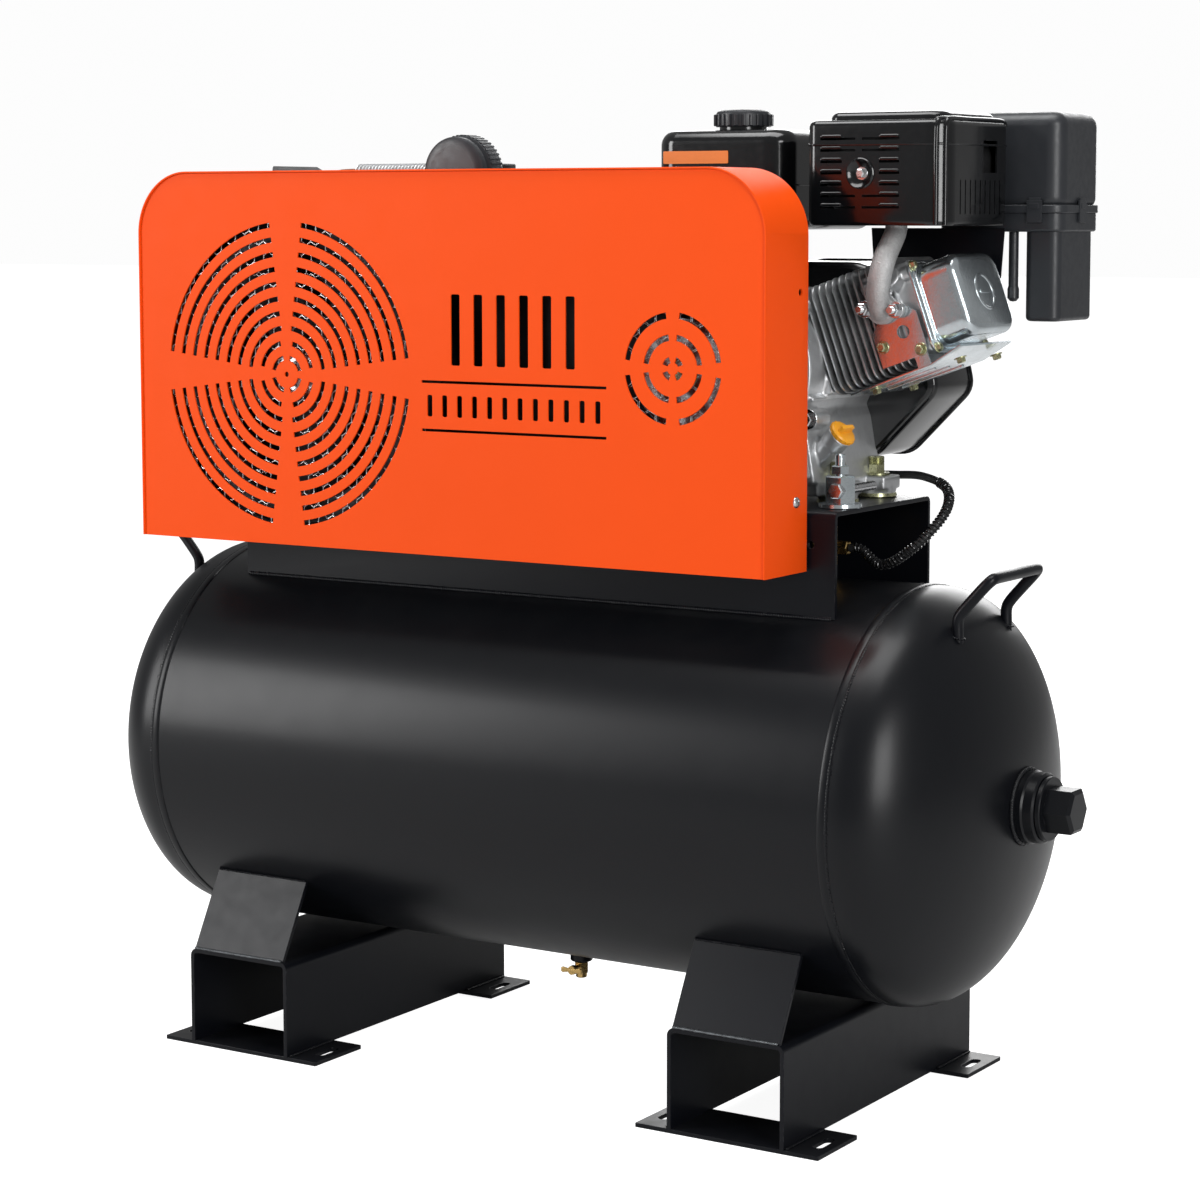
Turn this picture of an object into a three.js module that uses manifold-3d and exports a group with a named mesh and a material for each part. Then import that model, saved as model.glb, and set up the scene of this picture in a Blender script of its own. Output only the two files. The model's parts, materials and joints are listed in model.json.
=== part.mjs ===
import * as THREE from "three";
import { mergeVertices } from "three/addons/utils/BufferGeometryUtils.js";
import Module from "manifold-3d";

// Petrol-driven two-stage air compressor on a horizontal receiver. Millimetres, +Z up,
// +X along the receiver, the belt guard faces -Y, the floor is z = 0.

const wasm = await Module();
wasm.setup();

// ---------- driving dimensions ----------
const fit = 0.3;
const facetShare = 0.45;
const tankRadius = 228.5;
const tankWall = 3.5;
const tankSides = 64;
const headSteps = 6;
const headInnerSteps = 3;
const tankShellHalf = 445;
const tankHeadDepth = 114;
const tankHeadFlange = 12;
const tankBottom = 122;
const seamHalfWidth = 5;
const seamHeight = 1.4;
const endPortRadius = 38;
const endPortLength = 36;
const endPlugAcross = 48;
const drainX = 5;
const drainBungRadius = 13;

const footInset = 116;
const footSpacing = 2 * (tankShellHalf - footInset);
const footWidth = 143;
const footLength = 446;
const footTop = 116;
const footSheet = 5;
const basePlateWidth = 224;
const basePlateDepth = 88;
const baseSlotLength = 36;
const baseSlotWidth = 12;
const saddleWidth = 131;
const saddleTopY = 178;
const saddleSheet = 4;

const handleBar = 6.2;
const handleX = tankShellHalf + 71;
const handleHalf = 60;
const handleRise = 24;
const handleLean = 38;

const pumpX = -260;
const engineX = 253;
const platformLength = 2 * (engineX + 144.5);
const platformWidth = 224;
const platformRise = 86;
const platformTop = tankBottom + 2 * tankRadius + platformRise;
const platformWallLow = platformTop - 145;
const platformSheet = 5;

const pumpZ = platformTop + 131;
const flywheelRadius = 172;
const engineBase = platformTop + 9;
const engineZ = engineBase + 136;

const guardLeft = pumpX - flywheelRadius - 44;
const guardRight = engineX + 113;
const guardBottom = pumpZ - flywheelRadius - 23;
const guardTop = pumpZ + flywheelRadius + 58;
const guardDepth = 91;
const guardGap = 5;
const guardFront = -platformWidth / 2 - guardGap - guardDepth;
const guardSheet = 2;
const guardCorner = 72;
const guardLip = 15;
const grilleRings = 10;
const grilleRadius = flywheelRadius + 1;
const slotWidth = 5.8;
const smallGrilleRadii = [56.2, 33, 10];
const smallSlotWidth = 6.7;
const smallGrilleZ = engineZ + 6;

const pumpVee = 45;
const pulleyRadius = 60;
const sheaveFront = guardFront + 22;
const sheaveWidth = 44;
const beltThickness = 10;
const crankThrow = 28;
const pumpRodLength = 118;
const lowBore = 41;
const highBore = 27;
const deckDistance = 96;
const pumpCylinderLength = 94;

const cylinderTilt = 20;
const cylinderY = 28;
const engineBore = 44;
const engineThrow = 32;
const engineRodLength = 112;
const finStart = 82;
const finEnd = 148;
const headEnd = 211.7;
const rockerDepth = 50;
const boltHalfX = 96;
const boltFrontY = -17;
const boltRearY = 74;

const cableRadius = 5.2;

// ---------- helpers ----------
const AXIS_Y = new THREE.Vector3(0, 1, 0);
const rad = THREE.MathUtils.degToRad;

function solid(geometry) {
  const bare = new THREE.BufferGeometry();
  const flat = geometry.index ? geometry.toNonIndexed() : geometry;
  bare.setAttribute("position", flat.getAttribute("position"));
  const merged = mergeVertices(bare, 1e-3);
  const index = merged.index.array;
  const keep = [];
  for (let i = 0; i < index.length; i += 3) {
    const [a, b, c] = [index[i], index[i + 1], index[i + 2]];
    if (a !== b && b !== c && a !== c) keep.push(a, b, c);
  }
  const make = (triangles) =>
    new wasm.Manifold(
      new wasm.Mesh({
        numProp: 3,
        vertProperties: new Float32Array(merged.attributes.position.array),
        triVerts: new Uint32Array(triangles),
      }),
    );
  const made = make(keep);
  if (made.volume() > 0) return made;
  const turned = [];
  for (let i = 0; i < keep.length; i += 3) turned.push(keep[i], keep[i + 2], keep[i + 1]);
  return make(turned);
}

// Round pieces carry a share of the facets asked for; a bore is widened until its flats clear the size given.
const facets = (sides) => (sides > 8 ? Math.max(8, Math.round(sides * facetShare)) : sides);
const flatsAt = (radius, sides) => radius / Math.cos(Math.PI / facets(sides));

const join = (...parts) => parts.flat().reduce((a, b) => a.add(b));
const cut = (body, ...tools) => tools.flat().reduce((a, b) => a.subtract(b), body);

function geometryOf(body) {
  const mesh = body.getMesh();
  const points = new Float32Array(mesh.numVert * 3);
  for (let i = 0; i < mesh.numVert; i++) {
    points.set(mesh.vertProperties.subarray(i * mesh.numProp, i * mesh.numProp + 3), i * 3);
  }
  const geometry = new THREE.BufferGeometry();
  geometry.setAttribute("position", new THREE.BufferAttribute(points, 3));
  geometry.setIndex(new THREE.BufferAttribute(new Uint32Array(mesh.triVerts), 1));
  return geometry;
}

function boxGeometry(x0, x1, y0, y1, z0, z1) {
  const geometry = new THREE.BoxGeometry(x1 - x0, y1 - y0, z1 - z0);
  return geometry.translate((x0 + x1) / 2, (y0 + y1) / 2, (z0 + z1) / 2);
}
const block = (...limits) => solid(boxGeometry(...limits));

// A round bar from one point to another.
function barGeometry(from, to, radius, sides = 20, endRadius = radius) {
  const a = new THREE.Vector3(...from);
  const along = new THREE.Vector3(...to).sub(a);
  const length = along.length();
  const geometry = new THREE.CylinderGeometry(endRadius, radius, length, facets(sides));
  geometry.translate(0, length / 2, 0);
  const turn = new THREE.Quaternion().setFromUnitVectors(AXIS_Y, along.normalize());
  return geometry.applyQuaternion(turn).translate(a.x, a.y, a.z);
}
const bar = (...rest) => solid(barGeometry(...rest));
const bore = (from, to, radius, sides = 20) => bar(from, to, flatsAt(radius + fit, sides), sides);

// A bent round bar or tube through the given points.
function bent(points, radius, steps, sides = 10, tension = 0.5) {
  const path = new THREE.CatmullRomCurve3(
    points.map((p) => new THREE.Vector3(...p)),
    false,
    "catmullrom",
    tension,
  );
  const ring = [];
  for (let i = 0; i < sides; i++) {
    const angle = (2 * Math.PI * i) / sides;
    ring.push(new THREE.Vector2(radius * Math.cos(angle), radius * Math.sin(angle)));
  }
  const section = new THREE.Shape(ring);
  return solid(
    new THREE.ExtrudeGeometry(section, { steps, bevelEnabled: false, extrudePath: path }),
  );
}

// A body of revolution about an axis through the origin; the profile is [radius, along].
function turned(profile, axis = "x", sides = 32) {
  const points = profile.map(([r, along]) => new THREE.Vector2(r, along));
  const geometry = new THREE.LatheGeometry(points, facets(sides));
  if (axis === "x") geometry.rotateZ(-Math.PI / 2);
  if (axis === "z") geometry.rotateX(Math.PI / 2);
  return geometry;
}

// Plates: an outline extruded square to its plane.
function extruded(shape, depth, options = {}) {
  return new THREE.ExtrudeGeometry(shape, {
    depth,
    bevelEnabled: false,
    curveSegments: 6,
    ...options,
  });
}
const outline = (points) => new THREE.Shape(points.map(([a, b]) => new THREE.Vector2(a, b)));
const plateXZ = (shape, y0, y1, options) =>
  extruded(shape, y1 - y0, options).rotateX(Math.PI / 2).translate(0, y1, 0);
const toYZ = new THREE.Matrix4().makeBasis(
  new THREE.Vector3(0, 1, 0),
  new THREE.Vector3(0, 0, 1),
  new THREE.Vector3(1, 0, 0),
);
const plateYZ = (shape, x0, x1, options) =>
  extruded(shape, x1 - x0, options).applyMatrix4(toYZ).translate(x0, 0, 0);
const plateXY = (shape, z0, z1, options) => extruded(shape, z1 - z0, options).translate(0, 0, z0);

// Rectangle with its own radius at each corner: lower left, lower right, upper right, upper left.
function roundedRectangle(x0, x1, y0, y1, radii, steps = 4) {
  const [r0, r1, r2, r3] = Array.isArray(radii) ? radii : [radii, radii, radii, radii];
  const corners = [
    [x0 + r0, y0 + r0, r0, 180],
    [x1 - r1, y0 + r1, r1, 270],
    [x1 - r2, y1 - r2, r2, 0],
    [x0 + r3, y1 - r3, r3, 90],
  ];
  const points = [];
  for (const [cx, cy, r, start] of corners) {
    const count = r > 0 ? steps : 0;
    for (let i = 0; i <= count; i++) {
      const angle = rad(start + (count ? (90 * i) / count : 0));
      points.push([cx + r * Math.cos(angle), cy + r * Math.sin(angle)]);
    }
  }
  return points;
}

function circlePoints(cx, cy, radius, count) {
  const points = [];
  for (let i = 0; i < count; i++) {
    const angle = (2 * Math.PI * i) / count;
    points.push([cx + radius * Math.cos(angle), cy + radius * Math.sin(angle)]);
  }
  return points;
}

// A straight slot with round ends, from one point to another.
function slotPoints(x0, y0, x1, y1, width, steps = 4) {
  const angle = Math.atan2(y1 - y0, x1 - x0);
  const points = [];
  for (const [cx, cy, turn] of [[x1, y1, -90], [x0, y0, 90]]) {
    for (let i = 0; i <= steps; i++) {
      const a = angle + rad(turn + (180 * i) / steps);
      points.push([cx + (width / 2) * Math.cos(a), cy + (width / 2) * Math.sin(a)]);
    }
  }
  return points;
}

// One curved grille slot between two angles.
function arcSlot(cx, cy, radius, width, from, to) {
  const count = radius > 70 ? 3 : 2;
  const points = [];
  for (const [r, a, b] of [[radius + width / 2, from, to], [radius - width / 2, to, from]]) {
    for (let i = 0; i <= count; i++) {
      const angle = rad(a + ((b - a) * i) / count);
      points.push([cx + r * Math.cos(angle), cy + r * Math.sin(angle)]);
    }
  }
  return points;
}

const hole = (points) => new THREE.Path(points.map(([a, b]) => new THREE.Vector2(a, b)));

function material(color, roughness, metalness) {
  return new THREE.MeshStandardMaterial({ color, roughness, metalness });
}
const paint = {
  black: () => material(0x17181a, 0.42, 0.1),
  orange: () => material(0xe8501c, 0.45, 0.05),
  cast: () => material(0x9a9b9c, 0.62, 0.55),
  darkCast: () => material(0x2b2d30, 0.6, 0.35),
  zinc: () => material(0x8f979b, 0.33, 0.85),
  steel: () => material(0xb9bbbd, 0.3, 0.9),
  brass: () => material(0xb8924a, 0.32, 0.9),
  copper: () => material(0xb07a4e, 0.35, 0.9),
  plastic: () => material(0x16181b, 0.5, 0),
  rubber: () => material(0x111112, 0.8, 0),
  yellow: () => material(0xf0a818, 0.45, 0),
  red: () => material(0xb3231c, 0.45, 0),
  white: () => material(0xe4e6e6, 0.45, 0),
};

const compressor = new THREE.Group();
compressor.name = "twin_cylinder_compressor";
const machine = new THREE.Group();
machine.name = "assembly";
compressor.add(machine);

function add(group, name, body, look) {
  const geometry = geometryOf(body);
  const mesh = new THREE.Mesh(geometry, look());
  mesh.name = name;
  group.add(mesh);
  return mesh;
}

// ---------- receiver ----------
const receiver = new THREE.Group();
receiver.name = "receiver";
const tankZ = tankBottom + tankRadius;
receiver.position.set(0, 0, tankZ);
machine.add(receiver);

const manifoldX = 150;
const manifoldY = 150;
const manifoldFoot = Math.sqrt(tankRadius ** 2 - manifoldY ** 2);
const checkX = -tankShellHalf + 24;
const checkY = 52;
const pilotX = 318;
const pilotY = 12;
const bungHeight = 14;
const bungBore = 7.4;

function tankRing(inner, outer, x0, x1) {
  return solid(turned([[inner, x0], [outer, x0], [outer, x1], [inner, x1], [inner, x0]], "x", tankSides));
}
const bungs = [
  [manifoldX, manifoldY],
  [checkX, checkY],
  [pilotX, pilotY],
];
let shell = tankRing(tankRadius - tankWall, tankRadius, -tankShellHalf, tankShellHalf);
for (const [x, y] of bungs) {
  const top = Math.sqrt(tankRadius ** 2 - y ** 2);
  shell = join(shell, bar([x, y, top - 8], [x, y, top + bungHeight], 14, 20));
}
shell = join(shell, bar([drainX, 0, -tankRadius - 14], [drainX, 0, -tankRadius + 2], drainBungRadius, 20));
shell = cut(
  shell,
  bar([-tankShellHalf - 5, 0, 0], [tankShellHalf + 5, 0, 0], tankRadius - tankWall, tankSides),
  bungs.map(([x, y]) => bar([x, y, tankRadius / 2], [x, y, tankRadius + 2 * bungHeight], bungBore, 16)),
  bar([drainX, 0, -tankRadius - 2 * bungHeight], [drainX, 0, -tankRadius + 2 * bungHeight], bungBore, 16),
);
add(receiver, "tank_shell", shell, paint.black);

// A dished head: straight flange, then half an ellipse, with a raised seam over the shell's end.
function headProfile(holeRadius) {
  const start = tankShellHalf + fit;
  const knuckle = tankShellHalf + tankHeadFlange;
  const holeOut = Math.acos(Math.sqrt(1 - (holeRadius / tankRadius) ** 2));
  const arc = (steps, radius, depth) => {
    const points = [];
    for (let i = 0; i <= steps; i++) {
      const angle = Math.PI / 2 - ((Math.PI / 2 - holeOut) * i) / steps;
      const r = i === steps ? holeRadius : radius * Math.sin(angle);
      points.push([r, knuckle + depth * Math.cos(angle)]);
    }
    return points;
  };
  const outer = arc(headSteps, tankRadius, tankHeadDepth);
  const inner = arc(headInnerSteps, tankRadius - tankWall - 1, tankHeadDepth - tankWall - 4);
  return [
    [tankRadius - tankWall, start],
    [tankRadius + fit, start],
    [tankRadius + fit, tankShellHalf - seamHalfWidth],
    [tankRadius + seamHeight, tankShellHalf - seamHalfWidth + 1],
    [tankRadius + seamHeight, tankShellHalf + seamHalfWidth - 1],
    [tankRadius, tankShellHalf + seamHalfWidth],
    ...outer,
    ...inner.reverse(),
    [tankRadius - tankWall, start],
  ];
}
const headTip = tankShellHalf + tankHeadFlange + tankHeadDepth;
add(receiver, "tank_head_left", solid(turned(headProfile(0), "x", tankSides).rotateZ(Math.PI)), paint.black);
const portEnd = headTip - 13 + endPortLength;
const portBore = endPortRadius - 11;
const portTube = solid(
  turned(
    [
      [portBore, headTip - 22],
      [endPortRadius, headTip - 22],
      [endPortRadius, portEnd - 2],
      [endPortRadius - 2, portEnd],
      [portBore, portEnd],
      [portBore, headTip - 22],
    ],
    "x",
    32,
  ),
);
const portedHead = join(solid(turned(headProfile(endPortRadius - 5), "x", tankSides)), portTube);
add(receiver, "tank_head_right", portedHead, paint.black);

const plugThread = portBore - 1;
const plugHead = bar([portEnd + fit, 0, 0], [portEnd + 36, 0, 0], endPlugAcross / Math.sqrt(3), 6);
const plugNeck = bar([portEnd - 24, 0, 0], [portEnd + 4, 0, 0], plugThread, 28);
add(receiver, "end_plug", join(plugHead, plugNeck), paint.black);

const drainTop = -tankRadius - 14;
const cockBody = join(
  bar([drainX, 0, drainTop - fit - 14], [drainX, 0, drainTop - fit], 8.5, 6),
  bar([drainX, 0, drainTop - 4], [drainX, 0, drainTop + 10], bungBore - 0.7, 16),
  bar([drainX, -16, drainTop - 8], [drainX, -2, drainTop - 8], 4.5, 14),
);
const cockBore = bar([drainX, 0, drainTop - 30], [drainX, 0, drainTop + 20], 3, 12);
add(receiver, "drain_cock", cut(cockBody, cockBore), paint.brass);
const drainKey = join(
  bar([drainX, -22, drainTop - 8], [drainX, -16 - fit, drainTop - 8], 5.5, 14),
  block(drainX - 14, drainX + 14, -24, -21, drainTop - 11, drainTop - 5),
);
add(receiver, "drain_cock_key", drainKey, paint.brass);

// Lifting handles: two feet on the head, a rise, an outward lean and a cross bar.
const headTopAt = (x, y) => {
  const share = (x - tankShellHalf - tankHeadFlange) / tankHeadDepth;
  return Math.sqrt(tankRadius ** 2 * (1 - share ** 2) - y ** 2);
};
const handleFoot = headTopAt(handleX, handleHalf);
function handlePoints() {
  const bend = handleFoot + handleRise;
  const top = bend + handleLean;
  const side = (sign) => [
    [handleX, sign * handleHalf, handleFoot - 10],
    [handleX, sign * handleHalf, bend - 8],
    [handleX + 4, sign * handleHalf, bend],
    [handleX + handleLean - 5, sign * handleHalf, top - 6],
    [handleX + handleLean, sign * (handleHalf - 4), top - 1],
    [handleX + handleLean + 1, sign * (handleHalf - 14), top],
  ];
  return [...side(-1), ...side(1).reverse()];
}
const headCore = solid(
  turned(
    [
      [0, tankShellHalf],
      [tankRadius - 3, tankShellHalf],
      ...Array.from({ length: headSteps }, (_, i) => {
        const angle = Math.PI / 2 - (Math.PI / 2 / headSteps) * i;
        return [
          (tankRadius + 5 * fit) * Math.sin(angle),
          tankShellHalf + tankHeadFlange + (tankHeadDepth + 5 * fit) * Math.cos(angle),
        ];
      }),
      [0, tankShellHalf + tankHeadFlange + tankHeadDepth + 5 * fit],
    ],
    "x",
    tankSides,
  ),
);
const handleBody = cut(bent(handlePoints(), handleBar, 22, 8, 0.3), headCore);
for (const [name, sign] of [["handle_right", 1], ["handle_left", -1]]) {
  const handle = add(receiver, name, handleBody, paint.black);
  handle.rotation.z = sign > 0 ? 0 : Math.PI;
}

// ---------- feet ----------
const tankClear = bar([-1000, 0, tankZ], [1000, 0, tankZ], tankRadius + 2 * fit, tankSides);
function foot() {
  const half = footWidth / 2;
  const ends = footLength / 2;
  const skin = outline([
    ...roundedRectangle(-half, half, footSheet - 1, footTop, [0, 0, 9, 9], 3),
  ]);
  const inner = outline([
    ...roundedRectangle(-half + footSheet, half - footSheet, -10, footTop - footSheet, [0, 0, 4, 4], 2),
  ]);
  let body = cut(solid(plateXZ(skin, -ends, ends)), solid(plateXZ(inner, -ends - 5, ends + 5)));
  for (const sign of [-1, 1]) {
    const y0 = sign < 0 ? -ends + 1 : ends - 1 - basePlateDepth;
    const plate = outline([
      ...roundedRectangle(-basePlateWidth / 2, basePlateWidth / 2, y0, y0 + basePlateDepth, 0),
    ]);
    const middle = y0 + basePlateDepth / 2;
    for (const side of [-1, 1]) {
      const x = side * (basePlateWidth / 2 - 17);
      plate.holes.push(
        hole(slotPoints(x, middle - baseSlotLength / 2 + 6, x, middle + baseSlotLength / 2 - 6, baseSlotWidth)),
      );
    }
    body = join(body, solid(plateXY(plate, 0, footSheet)));
    const run = ends - saddleTopY;
    const lean = outline([
      [sign * (ends - 1), footTop - 1],
      [sign * (ends - 1 - saddleSheet * 1.15), footTop - 1],
      [sign * (ends - 1 - saddleSheet * 1.15 - run * 1.35), footTop + 112],
      [sign * (ends - 1 - run * 1.35), footTop + 112],
    ]);
    body = join(body, solid(plateYZ(lean, -saddleWidth / 2, saddleWidth / 2)));
  }
  return body;
}
for (const [name, sign] of [["foot_left", -1], ["foot_right", 1]]) {
  const x = (sign * footSpacing) / 2;
  const stand = add(machine, name, cut(foot(), tankClear), paint.black);
  stand.position.x = x;
}

// ---------- platform ----------
const platformHalf = platformLength / 2;
const platformY = platformWidth / 2;
const guardRear = guardFront + guardDepth;
const holeLow = platformTop - 65;
const holeHigh = platformTop + 35;
function slotted(x, y, length, width) {
  const shape = outline(slotPoints(x - length / 2, y, x + length / 2, y, width));
  return solid(plateXY(shape, holeLow, holeHigh));
}
const pumpBoltX = 88;
const pumpBoltY = 62;
const endHoleX = platformHalf - 29.5;
const endHoleZ = platformTop - 36;
const platformSkin = outline([
  ...roundedRectangle(-platformY, platformY, platformWallLow, platformTop, [0, 0, 8, 8], 3),
]);
const platformInner = outline([
  ...roundedRectangle(
    -platformY + platformSheet, platformY - platformSheet,
    platformWallLow - 20, platformTop - platformSheet, [0, 0, 3, 3], 2,
  ),
]);
let platform = cut(
  solid(plateYZ(platformSkin, -platformHalf, platformHalf)),
  solid(plateYZ(platformInner, -platformHalf - 5, platformHalf + 5)),
  tankClear,
);
for (const side of [-1, 1]) {
  for (const y of [boltFrontY, boltRearY]) {
    platform = cut(platform, slotted(engineX + side * boltHalfX, y, 52, 11));
  }
  for (const y of [-pumpBoltY, pumpBoltY]) {
    const x = pumpX + side * pumpBoltX;
    platform = cut(platform, bar([x, y, holeLow], [x, y, holeHigh], 6, 14));
  }
}
platform = cut(
  platform,
  bar([endHoleX, -platformY - 2, endHoleZ], [endHoleX, -platformY + 10, endHoleZ], 4, 14),
  slotted(60, 0, 110, 60),
  solid(plateXY(outline(circlePoints(pilotX - 70, 60, 12, 16)), holeLow, holeHigh)),
);
// Angle brackets that carry the guard, welded to the platform's front wall.
const tabSheet = 3;
const bracketY0 = guardRear - 33;
const bracketLow = guardBottom + 27;
const bracketHigh = platformTop + 35;
const bracketFootHeight = 24;
const leftWall = guardLeft + guardSheet + fit;
const rightWall = guardRight - guardSheet - fit;
const bracketReachLeft = -platformHalf + 33.8 - leftWall;
for (const [wall, sign, reach] of [[leftWall, 1, bracketReachLeft], [rightWall, -1, 40]]) {
  const a = wall;
  const b = wall + sign * tabSheet;
  const c = wall + sign * reach;
  platform = join(
    platform,
    block(
      Math.min(a, b), Math.max(a, b),
      bracketY0, -platformY - tabSheet + 0.5,
      bracketLow, bracketHigh,
    ),
    block(
      Math.min(a, c), Math.max(a, c),
      -platformY - tabSheet, -platformY + 0.5,
      bracketLow, bracketLow + bracketFootHeight,
    ),
  );
}
add(machine, "platform", platform, paint.black);

// ---------- belt guard ----------
function guardOutline(inset) {
  const r = Math.max(guardCorner - inset, 4);
  return roundedRectangle(
    guardLeft + inset, guardRight - inset, guardBottom, guardTop - inset, [0, 0, r, r], 9,
  );
}
const bandShape = outline(guardOutline(0));
const bandInside = outline([
  ...roundedRectangle(
    guardLeft + guardSheet, guardRight - guardSheet, guardBottom - 20, guardTop - guardSheet,
    [0, 0, guardCorner - guardSheet, guardCorner - guardSheet], 9,
  ),
]);
const lipInside = outline([
  ...roundedRectangle(
    guardLeft + guardLip, guardRight - guardLip, guardBottom - 20, guardTop - guardLip,
    [0, 0, guardCorner - guardLip, guardCorner - guardLip], 9,
  ),
]);
const sideHole = (x, y, z, radius, sides) => bar([x - 20, y, z], [x + 20, y, z], radius, sides);
let band = cut(
  solid(plateXZ(bandShape, guardFront, guardRear)),
  solid(plateXZ(bandInside, guardFront + guardSheet, guardRear + 10)),
  solid(plateXZ(lipInside, guardFront - 10, guardFront + 10)),
);
band = cut(
  band,
  sideHole(guardRight, guardRear - 17, guardTop - 130, 4, 12),
  sideHole(guardRight, guardRear - 24, guardBottom + 75, 2.6, 10),
  sideHole(guardLeft, guardRear - 24, guardBottom + 75, 2.6, 10),
);
add(machine, "guard_band", band, paint.orange);

const panelInset = guardSheet + fit;
const panelFront = guardFront + guardSheet + fit;
const through = (points) => solid(plateXZ(outline(points), guardFront - 5, guardRear + 5));
const panelCuts = [circlePoints(pumpX, pumpZ, 3, 8)];
function addGrille(cx, cz, radii, width, gapAt) {
  for (const radius of radii) {
    for (let start = 0; start < 360; start += 90) {
      const gap = gapAt(radius);
      panelCuts.push(arcSlot(cx, cz, radius, width, start + gap, start + 90 - gap));
    }
  }
}
const pitch = grilleRadius / (grilleRings + 0.3);
const largeRadii = Array.from({ length: grilleRings }, (_, i) => grilleRadius - slotWidth / 2 - pitch * i);
addGrille(pumpX, pumpZ, largeRadii, slotWidth, (radius) => (radius < 45 ? 13 : 7.5));
addGrille(engineX, smallGrilleZ, smallGrilleRadii, smallSlotWidth, (radius) => (radius < 20 ? 20 : 8));
// Plain vents between the two grilles: upright slots, then two long rules round a row of short slots.
const ventWidth = 242;
const ventLeft = pumpX + 189;
const ventRight = ventLeft + ventWidth;
const ventLow = pumpZ - 57.5;
const tallSlots = 6;
const shortSlots = 12;
for (let i = 0; i < tallSlots; i++) {
  const x = ventLeft + 46 + i * 30;
  panelCuts.push(roundedRectangle(x - 6, x + 6, ventLow + 73.5, ventLow + 151.5, 0));
}
for (const z of [ventLow, ventLow + 53.5]) {
  panelCuts.push(roundedRectangle(ventLeft, ventRight, z, z + 3, 0));
}
for (let i = 0; i < shortSlots; i++) {
  const x = ventLeft + 11 + i * 20;
  panelCuts.push(roundedRectangle(x - 3.5, x + 3.5, ventLow + 16.5, ventLow + 40.5, 0));
}
const panel = cut(
  solid(plateXZ(outline(guardOutline(panelInset)), panelFront, panelFront + guardSheet)),
  panelCuts.map(through),
);
add(machine, "guard_front", panel, paint.orange);

// Rear sheet of the guard with openings for the two shafts and for cooling air.
const rearSheet = cut(
  solid(plateXZ(outline(guardOutline(panelInset)), guardRear - guardSheet - 1, guardRear - 1)),
  through(circlePoints(pumpX, pumpZ, 52, 24)),
  through(circlePoints(engineX, engineZ, 34, 20)),
  through(roundedRectangle(leftWall - 5, leftWall + tabSheet + 1, bracketLow - 2, bracketHigh + 2, 0)),
  through(roundedRectangle(rightWall - tabSheet - 1, rightWall + 5, bracketLow - 2, bracketHigh + 2, 0)),
);
add(machine, "guard_back", rearSheet, paint.black);

// ---------- pump ----------
const pump = new THREE.Group();
pump.name = "pump";
pump.position.set(pumpX, 0, pumpZ);
machine.add(pump);
const pumpBase = platformTop + fit - pumpZ;
// Turns a body drawn with its own axis along +Z to lean by an angle from upright toward +X.
const leaned = (geometry, degrees) => solid(geometry.rotateY(rad(degrees)));
const barrel = 80;
const casingBore = 70;
const casingY0 = -80;
const casingY1 = 78;
let casing = join(
  bar([0, casingY0, 0], [0, casingY1, 0], barrel, 24),
  block(-104, 104, -86, 84, pumpBase, pumpBase + 12),
  solid(
    plateXZ(outline([[-96, pumpBase + 11], [96, pumpBase + 11], [74, -34], [-74, -34]]), casingY0 + 6, casingY1 - 6),
  ),
  bar([0, -108, 0], [0, casingY0 + 4, 0], 44, 28),
  [-1, 1].map((side) => leaned(boxGeometry(-58, 58, -58, 58, 30, deckDistance - fit), side * pumpVee)),
);
casing = cut(
  casing,
  bar([0, casingY0 + 10, 0], [0, casingY1 - 9, 0], casingBore, 22),
  bore([0, -120, 0], [0, casingY0 + 20, 0], 20.7, 24),
  [[-1, highBore], [1, lowBore]].map(([side, reach]) =>
    leaned(
      new THREE.CylinderGeometry(reach + 5, reach + 5, 100, 14).rotateX(Math.PI / 2).translate(0, 0, 60),
      side * pumpVee,
    ),
  ),
  [-1, 1].flatMap((side) =>
    [-pumpBoltY, pumpBoltY].map((y) =>
      bar([side * pumpBoltX, y, pumpBase - 5], [side * pumpBoltX, y, pumpBase + 40], 6, 14),
    ),
  ),
);
add(pump, "pump_crankcase", casing, paint.darkCast);

function pumpCylinder(boreRadius, finRadius, fins) {
  const start = deckDistance;
  const end = deckDistance + pumpCylinderLength;
  const wallRadius = boreRadius + 9;
  const inside = flatsAt(boreRadius, 18);
  const step = (pumpCylinderLength - 16) / fins;
  const outer = [[finRadius, start], [finRadius, start + 8], [wallRadius, start + 8.5]];
  for (let i = 0; i < fins - 1; i++) {
    const at = start + 8 + step * (i + 0.5);
    outer.push([wallRadius, at], [finRadius, at + 1], [finRadius, at + 3.4], [wallRadius, at + 4.4]);
  }
  outer.push([wallRadius, end - 8.5], [finRadius, end - 8], [finRadius, end]);
  return turned([[inside, start], ...outer, [inside, end], [inside, start]], "z", 24);
}
const headGap = deckDistance + pumpCylinderLength + fit;
function pumpHead(half, halfY, top, chamber, fins) {
  const step = (2 * half) / (fins - 1);
  let body = block(-half, half, -halfY, halfY, headGap, headGap + 34);
  for (let i = 0; i < fins; i++) {
    const x = Math.min(Math.max(-half + step * i, -half + 2), half - 2);
    body = join(body, block(x - 2, x + 2, -halfY, halfY, headGap + 30, top));
  }
  return cut(body, bar([0, 0, headGap - 5], [0, 0, headGap + 14], chamber - 4, 24));
}
const flip = (body, degrees) => {
  const geometry = geometryOf(body);
  return leaned(geometry, degrees);
};
const lowHead = { half: 70, halfY: 60, top: 270 };
const highHead = { half: 66, halfY: 54, top: 272 };
add(pump, "pump_cylinder_low", leaned(pumpCylinder(lowBore, 64, 4), pumpVee), paint.darkCast);
add(pump, "pump_cylinder_high", leaned(pumpCylinder(highBore, 52, 4), -pumpVee), paint.darkCast);
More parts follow.
